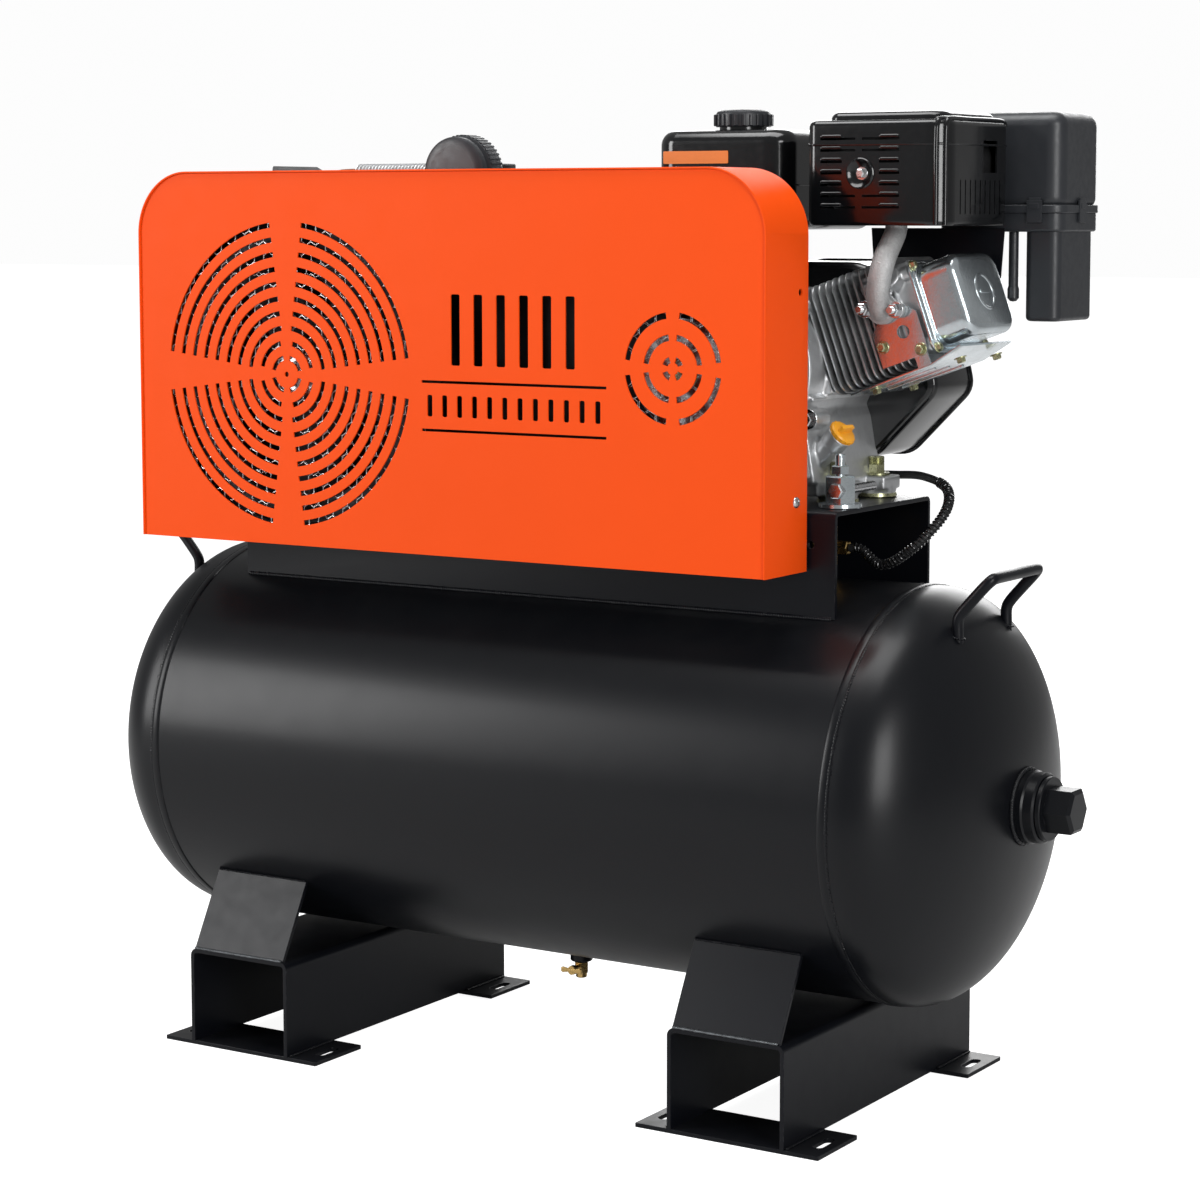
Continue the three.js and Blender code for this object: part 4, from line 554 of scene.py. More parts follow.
def tube(path, radius, sides=20):
    """A round bar along a list of points; radius is a number or a function of the share run."""
    bm = bmesh.new()
    size = radius if callable(radius) else lambda share: radius
    normal = None
    rings = []
    last = len(path) - 1
    for i, point in enumerate(path):
        along = (path[min(i + 1, last)] - path[max(i - 1, 0)]).normalized()
        if normal is None:
            normal = along.orthogonal().normalized()
        normal = (normal - along * normal.dot(along)).normalized()
        other = along.cross(normal)
        turns = (2 * math.pi * k / sides for k in range(sides))
        r = size(i / last)
        rings.append([bm.verts.new(point + r * (math.cos(a) * normal + math.sin(a) * other)) for a in turns])
    for low, high in zip(rings, rings[1:]):
        for k in range(sides):
            j = (k + 1) % sides
            bm.faces.new((low[k], low[j], high[j], high[k]))
    bm.faces.new(list(reversed(rings[0])))
    bm.faces.new(rings[-1])
    return bm


def hexagon(across, height, soft=0.8):
    """A hexagon bar standing on the origin, with the usual turned chamfer on top."""
    corner = across / math.sqrt(3)
    bm = prism(circle(0, 0, corner, 6), height - soft)
    top = [f for f in bm.faces if f.calc_center_median().z > height - soft - 1e-3]
    rim = bmesh.ops.inset_region(bm, faces=top, thickness=soft * 1.6, depth=soft)
    return bm


def moved(bm, matrix):
    bmesh.ops.transform(bm, matrix=matrix, verts=bm.verts)
    return bm


def shifted(bm, x, y, z):
    return moved(bm, Matrix.Translation((x, y, z)))


def together(*bodies):
    """Several bodies in one mesh."""
    joined = bmesh.new()
    for body in bodies:
        if isinstance(body, (list, tuple)):
            body = together(*body)
        mesh = bpy.data.meshes.new("part")
        body.to_mesh(mesh)
        joined.from_mesh(mesh)
        bpy.data.meshes.remove(mesh)
        body.free()
    return joined


def from_node(node):
    """A merged copy of a CAD node's mesh, in millimetres."""
    bm = bmesh.new()
    bm.from_mesh(frame["nodes"][node].data)
    bmesh.ops.scale(bm, vec=(1 / MM,) * 3, verts=bm.verts)
    bmesh.ops.remove_doubles(bm, verts=bm.verts, dist=0.01)
    bmesh.ops.dissolve_limit(bm, angle_limit=math.radians(0.5), verts=bm.verts, edges=bm.edges)
    return bm


def put(name, bm, look, body="root", replaces=(), crease=32, slot=None):
    """Makes a finished piece: metres, its material and its body, smooth but for its creases."""
    bmesh.ops.scale(bm, vec=(MM,) * 3, verts=bm.verts)
    for edge in bm.edges:
        edge.smooth = not edge.is_manifold or edge.calc_face_angle() < math.radians(crease)
    for face in bm.faces:
        face.smooth = True
    mesh = bpy.data.meshes.new(name)
    bm.to_mesh(mesh)
    bm.free()
    piece = bpy.data.objects.new(name, mesh)
    scene.collection.objects.link(piece)
    mesh.materials.append(LOOK[look])
    if crease < 180:
        level(piece)
    return settle(piece, look, body, replaces, slot)


def level(piece):
    """Lets the large flat faces keep flat normals beside their rounded rims."""
    weighted = piece.modifiers.new("weighted", "WEIGHTED_NORMAL")
    weighted.keep_sharp = True
    weighted.weight = 90
    bake(piece)


def settle(piece, look, body="root", replaces=(), slot=None):
    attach(piece, body)
    if replaces:
        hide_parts(*replaces)
    slot = slot or SLOT_OF.get(look, look)
    return piece


SLOT_OF = {
    "rough_casting": "cast_aluminium",
    "gold_zinc": "zinc_sheet",
    "orange_band": "guard_paint",
}


def carve(piece, *cutters):
    """Cuts bodies out of a piece."""
    for cutter in cutters:
        bmesh.ops.scale(cutter, vec=(MM,) * 3, verts=cutter.verts)
        mesh = bpy.data.meshes.new("cutter")
        cutter.to_mesh(mesh)
        cutter.free()
        tool = bpy.data.objects.new("cutter", mesh)
        scene.collection.objects.link(tool)
        cut = piece.modifiers.new("cut", "BOOLEAN")
        cut.operation = "DIFFERENCE"
        cut.solver = "EXACT"
        cut.object = tool
        bake(piece)
        bpy.data.objects.remove(tool)
    return piece


def bake(piece):
    """Turns a piece's modifiers into its own mesh."""
    shown = piece.evaluated_get(bpy.context.evaluated_depsgraph_get())
    made = bpy.data.meshes.new_from_object(shown)
    piece.modifiers.clear()
    old = piece.data
    piece.data = made
    made.name = piece.name
    bpy.data.meshes.remove(old)
    return piece


def fused(name, bm, look, voxel=1.8, passes=5, body="root", replaces=()):
    """A casting: overlapping bodies run into one skin with soft inside corners."""
    piece = put(name, bm, look, body, replaces, crease=180)
    remesh = piece.modifiers.new("skin", "REMESH")
    remesh.mode = "VOXEL"
    remesh.voxel_size = voxel * MM
    remesh.use_smooth_shade = True
    soften = piece.modifiers.new("soften", "SMOOTH")
    soften.iterations = passes
    soften.factor = 0.5
    return bake(piece)


# ---------- repeated things ----------
def geometry_tree(name, inputs):
    tree, given, result = new_tree(
        "GeometryNodeTree", name, [("Geometry", "NodeSocketGeometry", None), *inputs],
        [("Geometry", "NodeSocketGeometry")],
    )
    return tree, given.outputs, result


def close_tree(tree, shown, result, look):
    real = add_node(tree, "GeometryNodeRealizeInstances", {0: shown})
    looked = add_node(tree, "GeometryNodeSetMaterial", {"Geometry": real.outputs[0], "Material": look})
    tree.links.new(looked.outputs[0], result.inputs[0])
    return tree


def make_row_tree():
    """Copies of a body at equal steps along a line."""
    tree, given, result = geometry_tree("row", [
        ("Count", "NodeSocketInt", 3), ("Step", "NodeSocketVector", None),
        ("Material", "NodeSocketMaterial", None),
    ])
    line = add_node(
        tree, "GeometryNodeMeshLine",
        {"Count": given["Count"], "Start Location": (0, 0, 0), "Offset": given["Step"]}, mode="OFFSET",
    )
    copies = add_node(
        tree, "GeometryNodeInstanceOnPoints", {"Points": line.outputs[0], "Instance": given["Geometry"]}
    )
    return close_tree(tree, copies.outputs[0], result, given["Material"])


def make_ring_tree():
    """Copies of a body turned evenly about an axis through a centre."""
    tree, given, result = geometry_tree("ring", [
        ("Count", "NodeSocketInt", 6), ("Centre", "NodeSocketVector", None),
        ("Axis", "NodeSocketVector", (0, 0, 1)), ("Turn", "NodeSocketFloat", 2 * math.pi),
        ("Material", "NodeSocketMaterial", None),
    ])
    points = add_node(
        tree, "GeometryNodePoints", {"Count": given["Count"], "Position": given["Centre"]}
    )
    index = add_node(tree, "GeometryNodeInputIndex")
    share = math_node(tree, "DIVIDE", index.outputs[0], given["Count"])
    angle = math_node(tree, "MULTIPLY", share, given["Turn"])
    rotation = add_node(
        tree, "FunctionNodeAxisAngleToRotation", {"Axis": given["Axis"], "Angle": angle}
    )
    back = add_node(
        tree, "ShaderNodeVectorMath", {0: (0, 0, 0), 1: given["Centre"]}, operation="SUBTRACT"
    )
    centred = add_node(
        tree, "GeometryNodeTransform", {"Geometry": given["Geometry"], "Translation": back.outputs[0]}
    )
    copies = add_node(
        tree, "GeometryNodeInstanceOnPoints",
        {"Points": points.outputs[0], "Instance": centred.outputs[0], "Rotation": rotation.outputs[0]},
    )
    return close_tree(tree, copies.outputs[0], result, given["Material"])


def make_aimed_tree():
    """A copy of a body on each point of a second mesh, its +Z turned to the point's aim."""
    tree, given, result = geometry_tree("aimed", [
        ("Points", "NodeSocketObject", None), ("Seed", "NodeSocketInt", 1),
        ("Spin", "NodeSocketFloat", 0.0), ("Vary", "NodeSocketFloat", 0.0),
        ("Material", "NodeSocketMaterial", None),
    ])
    places = add_node(tree, "GeometryNodeObjectInfo", {"Object": given["Points"]})
    aim = add_node(
        tree, "GeometryNodeInputNamedAttribute", {"Name": "aim"}, data_type="FLOAT_VECTOR"
    )
    turn = add_node(tree, "FunctionNodeAlignRotationToVector", {"Vector": aim.outputs[0]}, axis="Z")
    spin = add_node(
        tree, "FunctionNodeRandomValue",
        {2: 0.0, 3: given["Spin"], "Seed": given["Seed"]}, data_type="FLOAT",
    )
    own = add_node(
        tree, "FunctionNodeAxisAngleToRotation", {"Axis": (0, 0, 1), "Angle": spin.outputs[1]}
    )
    both = add_node(
        tree, "FunctionNodeRotateRotation", {0: turn.outputs[0], 1: own.outputs[0]},
        rotation_space="LOCAL",
    )
    low = math_node(tree, "SUBTRACT", 1.0, given["Vary"])
    size = add_node(
        tree, "FunctionNodeRandomValue", {2: low, 3: 1.0, "Seed": given["Seed"]}, data_type="FLOAT"
    )
    copies = add_node(
        tree, "GeometryNodeInstanceOnPoints",
        {"Points": places.outputs["Geometry"], "Instance": given["Geometry"],
         "Rotation": both.outputs[0], "Scale": size.outputs[1]},
    )
    return close_tree(tree, copies.outputs[0], result, given["Material"])


def make_mesh_tree():
    """A sheet of hexagon wire mesh, standing in the XZ plane about the origin."""
    tree, given, result = geometry_tree("wire_mesh", [
        ("Width", "NodeSocketFloat", 0.3), ("Height", "NodeSocketFloat", 0.3),
        ("Pitch", "NodeSocketFloat", 0.01), ("Wire", "NodeSocketFloat", 0.001),
        ("Material", "NodeSocketMaterial", None),
    ])
    row = math_node(tree, "MULTIPLY", given["Pitch"], math.sqrt(3) / 2)
    across = math_node(tree, "DIVIDE", given["Width"], given["Pitch"])
    rows = math_node(tree, "DIVIDE", given["Height"], row)
    grid = add_node(
        tree, "GeometryNodeMeshGrid",
        {"Size X": given["Width"], "Size Y": given["Height"], "Vertices X": across, "Vertices Y": rows},
    )
    place = add_node(tree, "GeometryNodeInputPosition")
    parts = add_node(tree, "ShaderNodeSeparateXYZ", {0: place.outputs[0]})
    number = math_node(tree, "ROUND", math_node(tree, "DIVIDE", parts.outputs[1], row))
    odd = math_node(tree, "PINGPONG", number, 1.0)
    slide = math_node(tree, "MULTIPLY", odd, math_node(tree, "MULTIPLY", given["Pitch"], 0.5))
    offset = add_node(tree, "ShaderNodeCombineXYZ", {"X": slide})
    staggered = add_node(
        tree, "GeometryNodeSetPosition", {"Geometry": grid.outputs[0], "Offset": offset.outputs[0]}
    )
    corner = math_node(tree, "DIVIDE", given["Pitch"], math.sqrt(3))
    cell = add_node(tree, "GeometryNodeMeshCircle", {"Vertices": 6, "Radius": corner})
    turned = add_node(
        tree, "GeometryNodeTransform",
        {"Geometry": cell.outputs[0], "Rotation": (0, 0, math.pi / 6)},
    )
    loop = add_node(tree, "GeometryNodeMeshToCurve", {0: turned.outputs[0]})
    section = add_node(
        tree, "GeometryNodeCurvePrimitiveCircle", {"Resolution": 4, "Radius": given["Wire"]}
    )
    wire = add_node(
        tree, "GeometryNodeCurveToMesh",
        {"Curve": loop.outputs[0], "Profile Curve": section.outputs[0]},
    )
    copies = add_node(
        tree, "GeometryNodeInstanceOnPoints",
        {"Points": staggered.outputs[0], "Instance": wire.outputs[0]},
    )
    upright = add_node(
        tree, "GeometryNodeTransform",
        {"Geometry": copies.outputs[0], "Rotation": (math.pi / 2, 0, 0)},
    )
    return close_tree(tree, upright.outputs[0], result, given["Material"])


ROW, RING, AIMED, WIRE_MESH = make_row_tree(), make_ring_tree(), make_aimed_tree(), make_mesh_tree()


def grown(name, bm, look, tree, inputs, body="root", replaces=(), crease=32, slot=None):
    """A piece made by a tree from one body; the inputs are given by their names."""
    bmesh.ops.scale(bm, vec=(MM,) * 3, verts=bm.verts)
    for edge in bm.edges:
        edge.smooth = not edge.is_manifold or edge.calc_face_angle() < math.radians(crease)
    for face in bm.faces:
        face.smooth = True
    mesh = bpy.data.meshes.new(name)
    bm.to_mesh(mesh)
    bm.free()
    piece = bpy.data.objects.new(name, mesh)
    scene.collection.objects.link(piece)
    modifier = piece.modifiers.new("tree", "NODES")
    modifier.node_group = tree
    sockets = {s.name: s.identifier for s in tree.interface.items_tree if s.in_out == "INPUT"}
    for label, value in {**inputs, "Material": LOOK[look]}.items():
        modifier[sockets[label]] = value
    bake(piece)
    level(piece)
    return settle(piece, look, body, replaces, slot)


def row_of(name, bm, look, count, step, **rest):
    step = [v * MM for v in step]
    return grown(name, bm, look, ROW, {"Count": count, "Step": step}, **rest)


def ring_of(name, bm, look, count, centre, axis, turn=360.0, **rest):
    inputs = {
        "Count": count, "Centre": [v * MM for v in centre], "Axis": list(map(float, axis)),
        "Turn": math.radians(turn),
    }
    return grown(name, bm, look, RING, inputs, **rest)


def aimed_at(name, bm, look, places, spin=0.0, vary=0.0, **rest):
    """places are (point, direction) pairs."""
    mesh = bpy.data.meshes.new("places")
    mesh.from_pydata([[v * MM for v in point] for point, _ in places], [], [])
    aim = mesh.attributes.new("aim", "FLOAT_VECTOR", "POINT")
    for item, (_, direction) in zip(aim.data, places):
        item.vector = Vector(direction).normalized()
    holder = bpy.data.objects.new("places", mesh)
    scene.collection.objects.link(holder)
    inputs = {"Points": holder, "Seed": 7, "Spin": spin, "Vary": vary}
    piece = grown(name, bm, look, AIMED, inputs, **rest)
    bpy.data.objects.remove(holder)
    return piece


def bolt(across, head, washer=0.0, washer_depth=2.0, stud=0.0, nut=0.0):
    """A hexagon bolt standing on the origin, with a washer and a stud end if it has them."""
    bodies = [shifted(hexagon(across, head), 0, 0, washer_depth if washer else 0)]
    if washer:
        rim = [(0, 0), (washer - 0.3, 0), (washer, 0.3), (washer, washer_depth - 0.3),
               (washer - 0.3, washer_depth), (0, washer_depth)]
        bodies.append(lathe(rim, 40))
    if stud:
        base = head + (washer_depth if washer else 0)
        thread = [(0, base - 1)]
        turns = int(nut / 1.5)
        for i in range(turns):
            z = base - 1 + i * 1.5
            thread += [(stud, z), (stud - 0.7, z + 0.75)]
        thread += [(stud - 0.6, base - 1 + turns * 1.5), (0, base - 1 + turns * 1.5)]
        bodies.append(lathe(thread, 28))
    return together(*bodies)


def screw(radius, height):
    """A round-headed cross-slot screw standing on the origin."""
    profile = [(radius, 0)]
    for i in range(5):
        angle = math.radians(20 + 70 * i / 4)
        profile.append((radius * math.cos(angle) if i < 4 else 0, height * math.sin(angle)))
    bm = lathe([(0, 0), *profile], 32)
    arm = radius * 0.62
    for turn in (0, 90):
        slot = block(-arm, arm, -radius * 0.1, radius * 0.1, height * 0.9, height * 1.06, soft=0)
        bm = together(bm, moved(slot, Matrix.Rotation(math.radians(turn + 45), 4, "Z")))
    return bm


def weld(name, points, size=2.4, step=2.6, look="frame_paint", aim=(0, 0, 1)):
    """A run of overlapping weld beads along a path."""
    bead = bmesh.new()
    bmesh.ops.create_icosphere(bead, subdivisions=2, radius=size)
    bmesh.ops.scale(bead, vec=(1, 1, 0.55), verts=bead.verts)
    run = smooth_path(points, step)
    return aimed_at(name, bead, look, [(p, aim) for p in run], spin=6.28, vary=0.28)


# ---------- receiver ----------
def make_receiver():
    seam = 5.0
    turn_x = facing((1, 0, 0), (0, AXIS_Y, TANK_Z))
    shell = lathe(
        [(TANK_RADIUS - 3.5, SHELL.x0), (TANK_RADIUS, SHELL.x0), (TANK_RADIUS, SHELL.x1),
         (TANK_RADIUS - 3.5, SHELL.x1), (TANK_RADIUS - 3.5, SHELL.x0)], 192,
    )
    bungs = [
        (Place("outlet_manifold").x0 + 90, RECEIVER.y + 150, 14),
        (Place("check_valve").x, Place("check_valve").y, 14),
        (Place("pilot_valve").x0 + 15, Place("pilot_valve").y, 14),
    ]
    bodies = [moved(shell, turn_x)]
    for x, y, radius in bungs:
        top = TANK_Z + math.sqrt(TANK_RADIUS ** 2 - (y - AXIS_Y) ** 2)
        ring = [(radius - 6, -8), (radius + 1.5, -8), (radius, 2), (radius, 13), (radius - 1, 14),
                (radius - 6, 14), (radius - 6, -8)]
        bodies.append(shifted(lathe(ring, 48), x, y, top))
    drain = Place("drain_cock")
    ring = [(7, -2), (13, -2), (13, 13), (12, 14), (7, 14), (7, -2)]
    bodies.append(moved(lathe(ring, 48), facing((0, 0, -1), (drain.x, AXIS_Y, TANK_Z - TANK_RADIUS))))
    put("receiver_shell", together(*bodies), "tank_paint", replaces=["tank_shell"])

    knuckle = 12.0
    depth = 114.0
    for name, node, end, sign in (
        ("receiver_end_right", "tank_head_right", SHELL.x1, 1),
        ("receiver_end_left", "tank_head_left", SHELL.x0, -1),
    ):
        profile = [(TANK_RADIUS - 3.5, 0.3), (TANK_RADIUS + 0.3, 0.3), (TANK_RADIUS + 0.3, -seam)]
        for i in range(9):
            angle = math.pi * i / 8
            profile.append((TANK_RADIUS + 0.2 + 1.2 * math.sin(angle), -seam * math.cos(angle)))
        steps = 40
        for i in range(steps + 1):
            angle = math.pi / 2 * i / steps
            radius = TANK_RADIUS * math.cos(angle)
            profile.append((radius if i < steps else 0, knuckle + depth * math.sin(angle)))
        dome = lathe(profile, 192)
        put(name, moved(dome, facing((sign, 0, 0), (end, AXIS_Y, TANK_Z))), "tank_paint",
            replaces=[node] if sign < 0 else ())
        beads = [
            (end + sign * (seam + 0.5), AXIS_Y + (TANK_RADIUS + 0.3) * math.cos(a),
             TANK_Z + (TANK_RADIUS + 0.3) * math.sin(a))
            for a in (2 * math.pi * i / 420 for i in range(420))
        ]
        bead = bmesh.new()
        bmesh.ops.create_icosphere(bead, subdivisions=1, radius=2.3)
        bmesh.ops.scale(bead, vec=(1.3, 1, 0.5), verts=bead.verts)
        aims = [(p, (0, p[1] - AXIS_Y, p[2] - TANK_Z)) for p in beads]
        aimed_at(name + "_seam", bead, "tank_paint", aims, spin=6.28, vary=0.3)

    mouth = HEAD_RIGHT.x1
    port = [(27, -40), (38, -40), (38, -24), (39.5, -14), (38, -12), (38, -2), (36, 0), (27, 0), (27, -40)]
    put("end_port", moved(lathe(port, 96), facing((1, 0, 0), (mouth, AXIS_Y, TANK_Z))), "tank_paint",
        replaces=["tank_head_right"])
    fillet = [(mouth - 23.5, AXIS_Y + 39.5 * math.cos(a), TANK_Z + 39.5 * math.sin(a))
              for a in (2 * math.pi * i / 96 for i in range(96))]
    bead = bmesh.new()
    bmesh.ops.create_icosphere(bead, subdivisions=2, radius=3.4)
    aimed_at("end_port_weld", bead, "tank_paint", [(p, (1, 0, 0)) for p in fillet], vary=0.2)
    plug = Place("end_plug")
    flange = lathe([(0, -20), (26, -20), (26, 0.4), (34, 0.4), (34.5, 1), (34.5, 5), (33.5, 6), (0, 6)], 72)
    nut = moved(hexagon(46, plug.x1 - mouth - 6, 3.0), Matrix.Translation((0, 0, 6)))
    both = moved(together(flange, nut), facing((1, 0, 0), (mouth, AXIS_Y, TANK_Z)))
    put("end_plug_hexagon", both, "tank_paint", replaces=["end_plug"])


def make_drain():
    cock = Place("drain_cock")
    body = together(
        shifted(hexagon(15, 13), 0, 0, -14),
        lathe([(2.8, -20), (5.5, -20), (6.5, -19), (6.5, 8), (2.8, 8), (2.8, -20)], 40),
    )
    top = cock.z0 + 14
    spout = moved(lathe([(0, 0), (4.6, 0), (4.6, 13), (4, 14), (0, 14)], 32),
                  facing((0, -1, 0), (0, -2, -8)))
    put("drain_cock_body", shifted(together(body, spout), cock.x, AXIS_Y, top + 0.2), "brass",
        replaces=["drain_cock"])
    key = Place("drain_cock_key")
    wings = [(-14, -2.5), (-12, -3.4), (-4, -2), (4, -2), (12, -3.4), (14, -2.5), (14, 2.5), (12, 3.4),
             (4, 2), (-4, 2), (-12, 3.4), (-14, 2.5)]
    turned = moved(prism(wings, 3, soft=0.6), axes(*STAND_XZ, (key.x, key.y0 + 4.2, key.z)))
    neck = moved(lathe([(0, 0), (5.2, 0), (5.6, 0.6), (5.2, 5.6), (0, 5.6)], 32),
                 facing((0, -1, 0), (key.x, key.y1, key.z)))
    put("drain_cock_handle", together(turned, neck), "brass", body="drain_key",
        replaces=["drain_cock_key"])


def make_handles():
    half, bar, rise, lean = 60.0, 6.2, 24.0, 38.0
    for side, node, sign in (("right", "handle_right", 1), ("left", "handle_left", -1)):
        top = Place(node)
        outer = top.x1 if sign > 0 else top.x0
        high = top.z1 - bar
        x = outer - sign * (bar + lean + 1.2)
        base = high - rise - lean
        legs = []
        for y in (-half, half):
            inward = -1 if y > 0 else 1
            legs.append([
                (x, AXIS_Y + y, base - 9), (x, AXIS_Y + y, base), (x, AXIS_Y + y, base + rise - 9),
                (x + sign * 4, AXIS_Y + y, base + rise), (x + sign * 18, AXIS_Y + y, high - lean + 16),
                (x + sign * (lean - 8), AXIS_Y + y, high - 9), (x + sign * (lean - 1.5), AXIS_Y + y + inward * 3, high - 2),
                (x + sign * lean, AXIS_Y + y + inward * 12, high),
            ])
        path = smooth_path([*legs[0], (x + sign * lean, AXIS_Y, high), *reversed(legs[1])], 2.5)
        put(f"lifting_handle_{side}", tube(path, bar, 24), "frame_paint", replaces=[node])
        for y in (-half, half):
            ring = [(x + 7 * math.cos(a), AXIS_Y + y + 7 * math.sin(a), base - 1.5 - sign * 2 * math.cos(a))
                    for a in (2 * math.pi * i / 16 for i in range(17))]
            weld(f"handle_weld_{side}_{'front' if y < 0 else 'rear'}", ring, size=2.3, step=2.4)


make_receiver()
make_drain()
make_handles()


# ---------- feet and platform ----------
def channel(width, low, high, sheet, radius, length):
    """A folded channel along +Z, open toward the bottom."""
    half = width / 2
    points = [(-half, low)]
    points += [(x, y) for x, y in rounded_rectangle(-half, half, low, high, [0, 0, radius, radius])
               if y > low + 1][::-1]
    points += [(half, low), (half - sheet, low)]
    inner = rounded_rectangle(
        -half + sheet, half - sheet, low, high - sheet, [0, 0, radius - sheet, radius - sheet]
    )
    points += [(x, y) for x, y in inner if y > low + 1]
    points += [(-half + sheet, low)]
    return prism(points, length, soft=0.5)


def make_foot(node, side):
    place = Place(node)
    x, y, sheet = place.x, (place.y0 + place.y1) / 2, 5.0
    width, length, high = 143.0, place.y1 - place.y0, 116.0
    body = channel(width, sheet - 0.5, high, sheet, 9, length - 0.6)
    put(f"foot_channel_{side}", moved(body, axes((1, 0, 0), (0, 0, 1), (0, -1, 0), (x, place.y1 - 0.3, 0))),
        "frame_paint", replaces=[node])
    plate_width, plate_depth = place.x1 - place.x0, 88.0
    for end, sign in (("front", -1), ("rear", 1)):
        middle = y + sign * (length / 2 - plate_depth / 2 - 1)
        slots = [
            [(sx * (plate_width / 2 - 17) + 6 * math.cos(a), 12 * (1 if math.sin(a) > 0 else -1) + 6 * math.sin(a))
             for a in (2 * math.pi * (i + 0.5) / 24 for i in range(24))]
            for sx in (-1, 1)
        ]
        outline = rounded_rectangle(-plate_width / 2, plate_width / 2, -plate_depth / 2, plate_depth / 2, 1.5)
        plate = prism(outline, sheet - 0.2, holes=slots, soft=0.5)
        put(f"base_plate_{side}_{end}", shifted(plate, x, middle, 0), "frame_paint")
        for sx in (-1, 1):
            wx = x + sx * (width / 2 + 1.2)
            run = [(wx, middle - plate_depth / 2 + 4, sheet + 0.8), (wx, middle + plate_depth / 2 - 4, sheet + 0.8)]
            weld(f"base_weld_{side}_{end}_{'left' if sx < 0 else 'right'}", run, size=2.5)
        outer = sign * (length / 2 - 1)
        run_out, rise = 45.0 * 1.35, 112.0
        thick = 4.0 * 1.15
        lean = [(outer, high - 1), (outer - sign * thick, high - 1),
                (outer - sign * (thick + run_out), high + rise), (outer - sign * run_out, high + rise)]
        reach = lambda z: (z - high + 1) / (rise + 1)
        cut_at = next(
            z for z in range(int(high), int(high + rise))
            if math.hypot(abs(outer) - run_out * reach(z), TANK_Z - z) < TANK_RADIUS + 1.2
        )
        share = reach(cut_at)
        lean[2] = (outer - sign * (thick + run_out * share), cut_at)
        lean[3] = (outer - sign * run_out * share, cut_at + 1.5)
        saddle = prism(lean, 131, soft=0.4)
        put(f"saddle_{side}_{end}",
            moved(saddle, axes((0, 1, 0), (0, 0, 1), (1, 0, 0), (x - 65.5, y, 0))), "frame_paint")
        run = [(x - 62, y + outer + sign * 0.6, high + 1.2), (x, y + outer + sign * 0.6, high + 1.0),
               (x + 62, y + outer + sign * 0.6, high + 1.2)]
        weld(f"saddle_weld_{side}_{end}", run, size=3.0, step=3.0, look="weld_metal")
        tip = y + lean[3][0]
        run = [(x - 63, tip + sign * 0.6, cut_at + 1.2), (x + 63, tip + sign * 0.6, cut_at + 1.2)]
        weld(f"saddle_top_weld_{side}_{end}", run, size=2.3)


def make_platform():
    width, sheet, top = 224.0, 5.0, 665.0
    x0, x1 = PLATFORM.x1 - 795.0, PLATFORM.x1
    y = AXIS_Y
    skirt = TANK_Z + math.sqrt(TANK_RADIUS ** 2 - (width / 2) ** 2) + 1.0
    body = channel(width, skirt, top, sheet, 8, x1 - x0 - 0.6)
    deck = put("deck_channel", moved(body, axes((0, 1, 0), (0, 0, 1), (1, 0, 0), (x0 + 0.3, y, 0))),
               "frame_paint", replaces=["platform"])
    cutters = []
    for side in (-1, 1):
        for by in (-17.0, 74.0):
            slot = [(26 * (1 if math.cos(a) > 0 else -1) - math.copysign(5.5, math.cos(a)) + 5.5 * math.cos(a),
                     5.5 * math.sin(a)) for a in (2 * math.pi * (i + 0.5) / 20 for i in range(20))]
            cutters.append(shifted(prism(slot, 20), ENGINE.x + side * 96, y + by, top - 10))
        for by in (-62.0, 62.0):
            cutters.append(shifted(prism(circle(0, 0, 6, 24), 20), PUMP.x + side * 88, y + by, top - 10))
    cutters.append(moved(prism(circle(0, 0, 4, 24), 20), facing((0, -1, 0), (338.5, y - width / 2 + 10, 629))))
    window = [(25 * (1 if math.cos(a) > 0 else -1) + 30 * math.cos(a), 30 * math.sin(a))
              for a in (2 * math.pi * (i + 0.5) / 40 for i in range(40))]
    cutters.append(shifted(prism(window, 20), 30.5, y, top - 10))
    carve(deck, *cutters)
    for side in (-1, 1):
        wy = y + side * (width / 2 + 0.8)
        weld(f"deck_weld_{'front' if side < 0 else 'rear'}",
             [(x0 + 6, wy, skirt + 0.6), ((x0 + x1) / 2, wy, skirt + 0.6), (x1 - 6, wy, skirt + 0.6)],
             size=2.6, step=3.0, aim=(0, side, 0.4))
    front = y - width / 2
    for end, wall, sign, reach in (
        ("left", GUARD.x0 + 2.3, 1, 110), ("right", GUARD.x1 - 2.3, -1, 40),
    ):
        upright = block(min(wall, wall + sign * 3), max(wall, wall + sign * 3), y - 150, front - 2.5, 628, 700)
        arm = block(min(wall, wall + sign * reach), max(wall, wall + sign * reach), front - 3, front + 0.5, 628, 652)
        put(f"guard_bracket_{end}", together(upright, arm), "frame_paint")


LOOK["weld_metal"] = surface(
    "weld_metal", (0.16, 0.17, 0.18), 0.3, metallic=0.8, grain=0.001, bump=0.4, drift=0.4, patch=0.01
)
SLOT_OF["weld_metal"] = "frame_paint"
make_foot("foot_left", "left")
make_foot("foot_right", "right")
make_platform()


# ---------- belt guard ----------
GUARD_SHEET = 2.0
GUARD_CORNER = 72.0


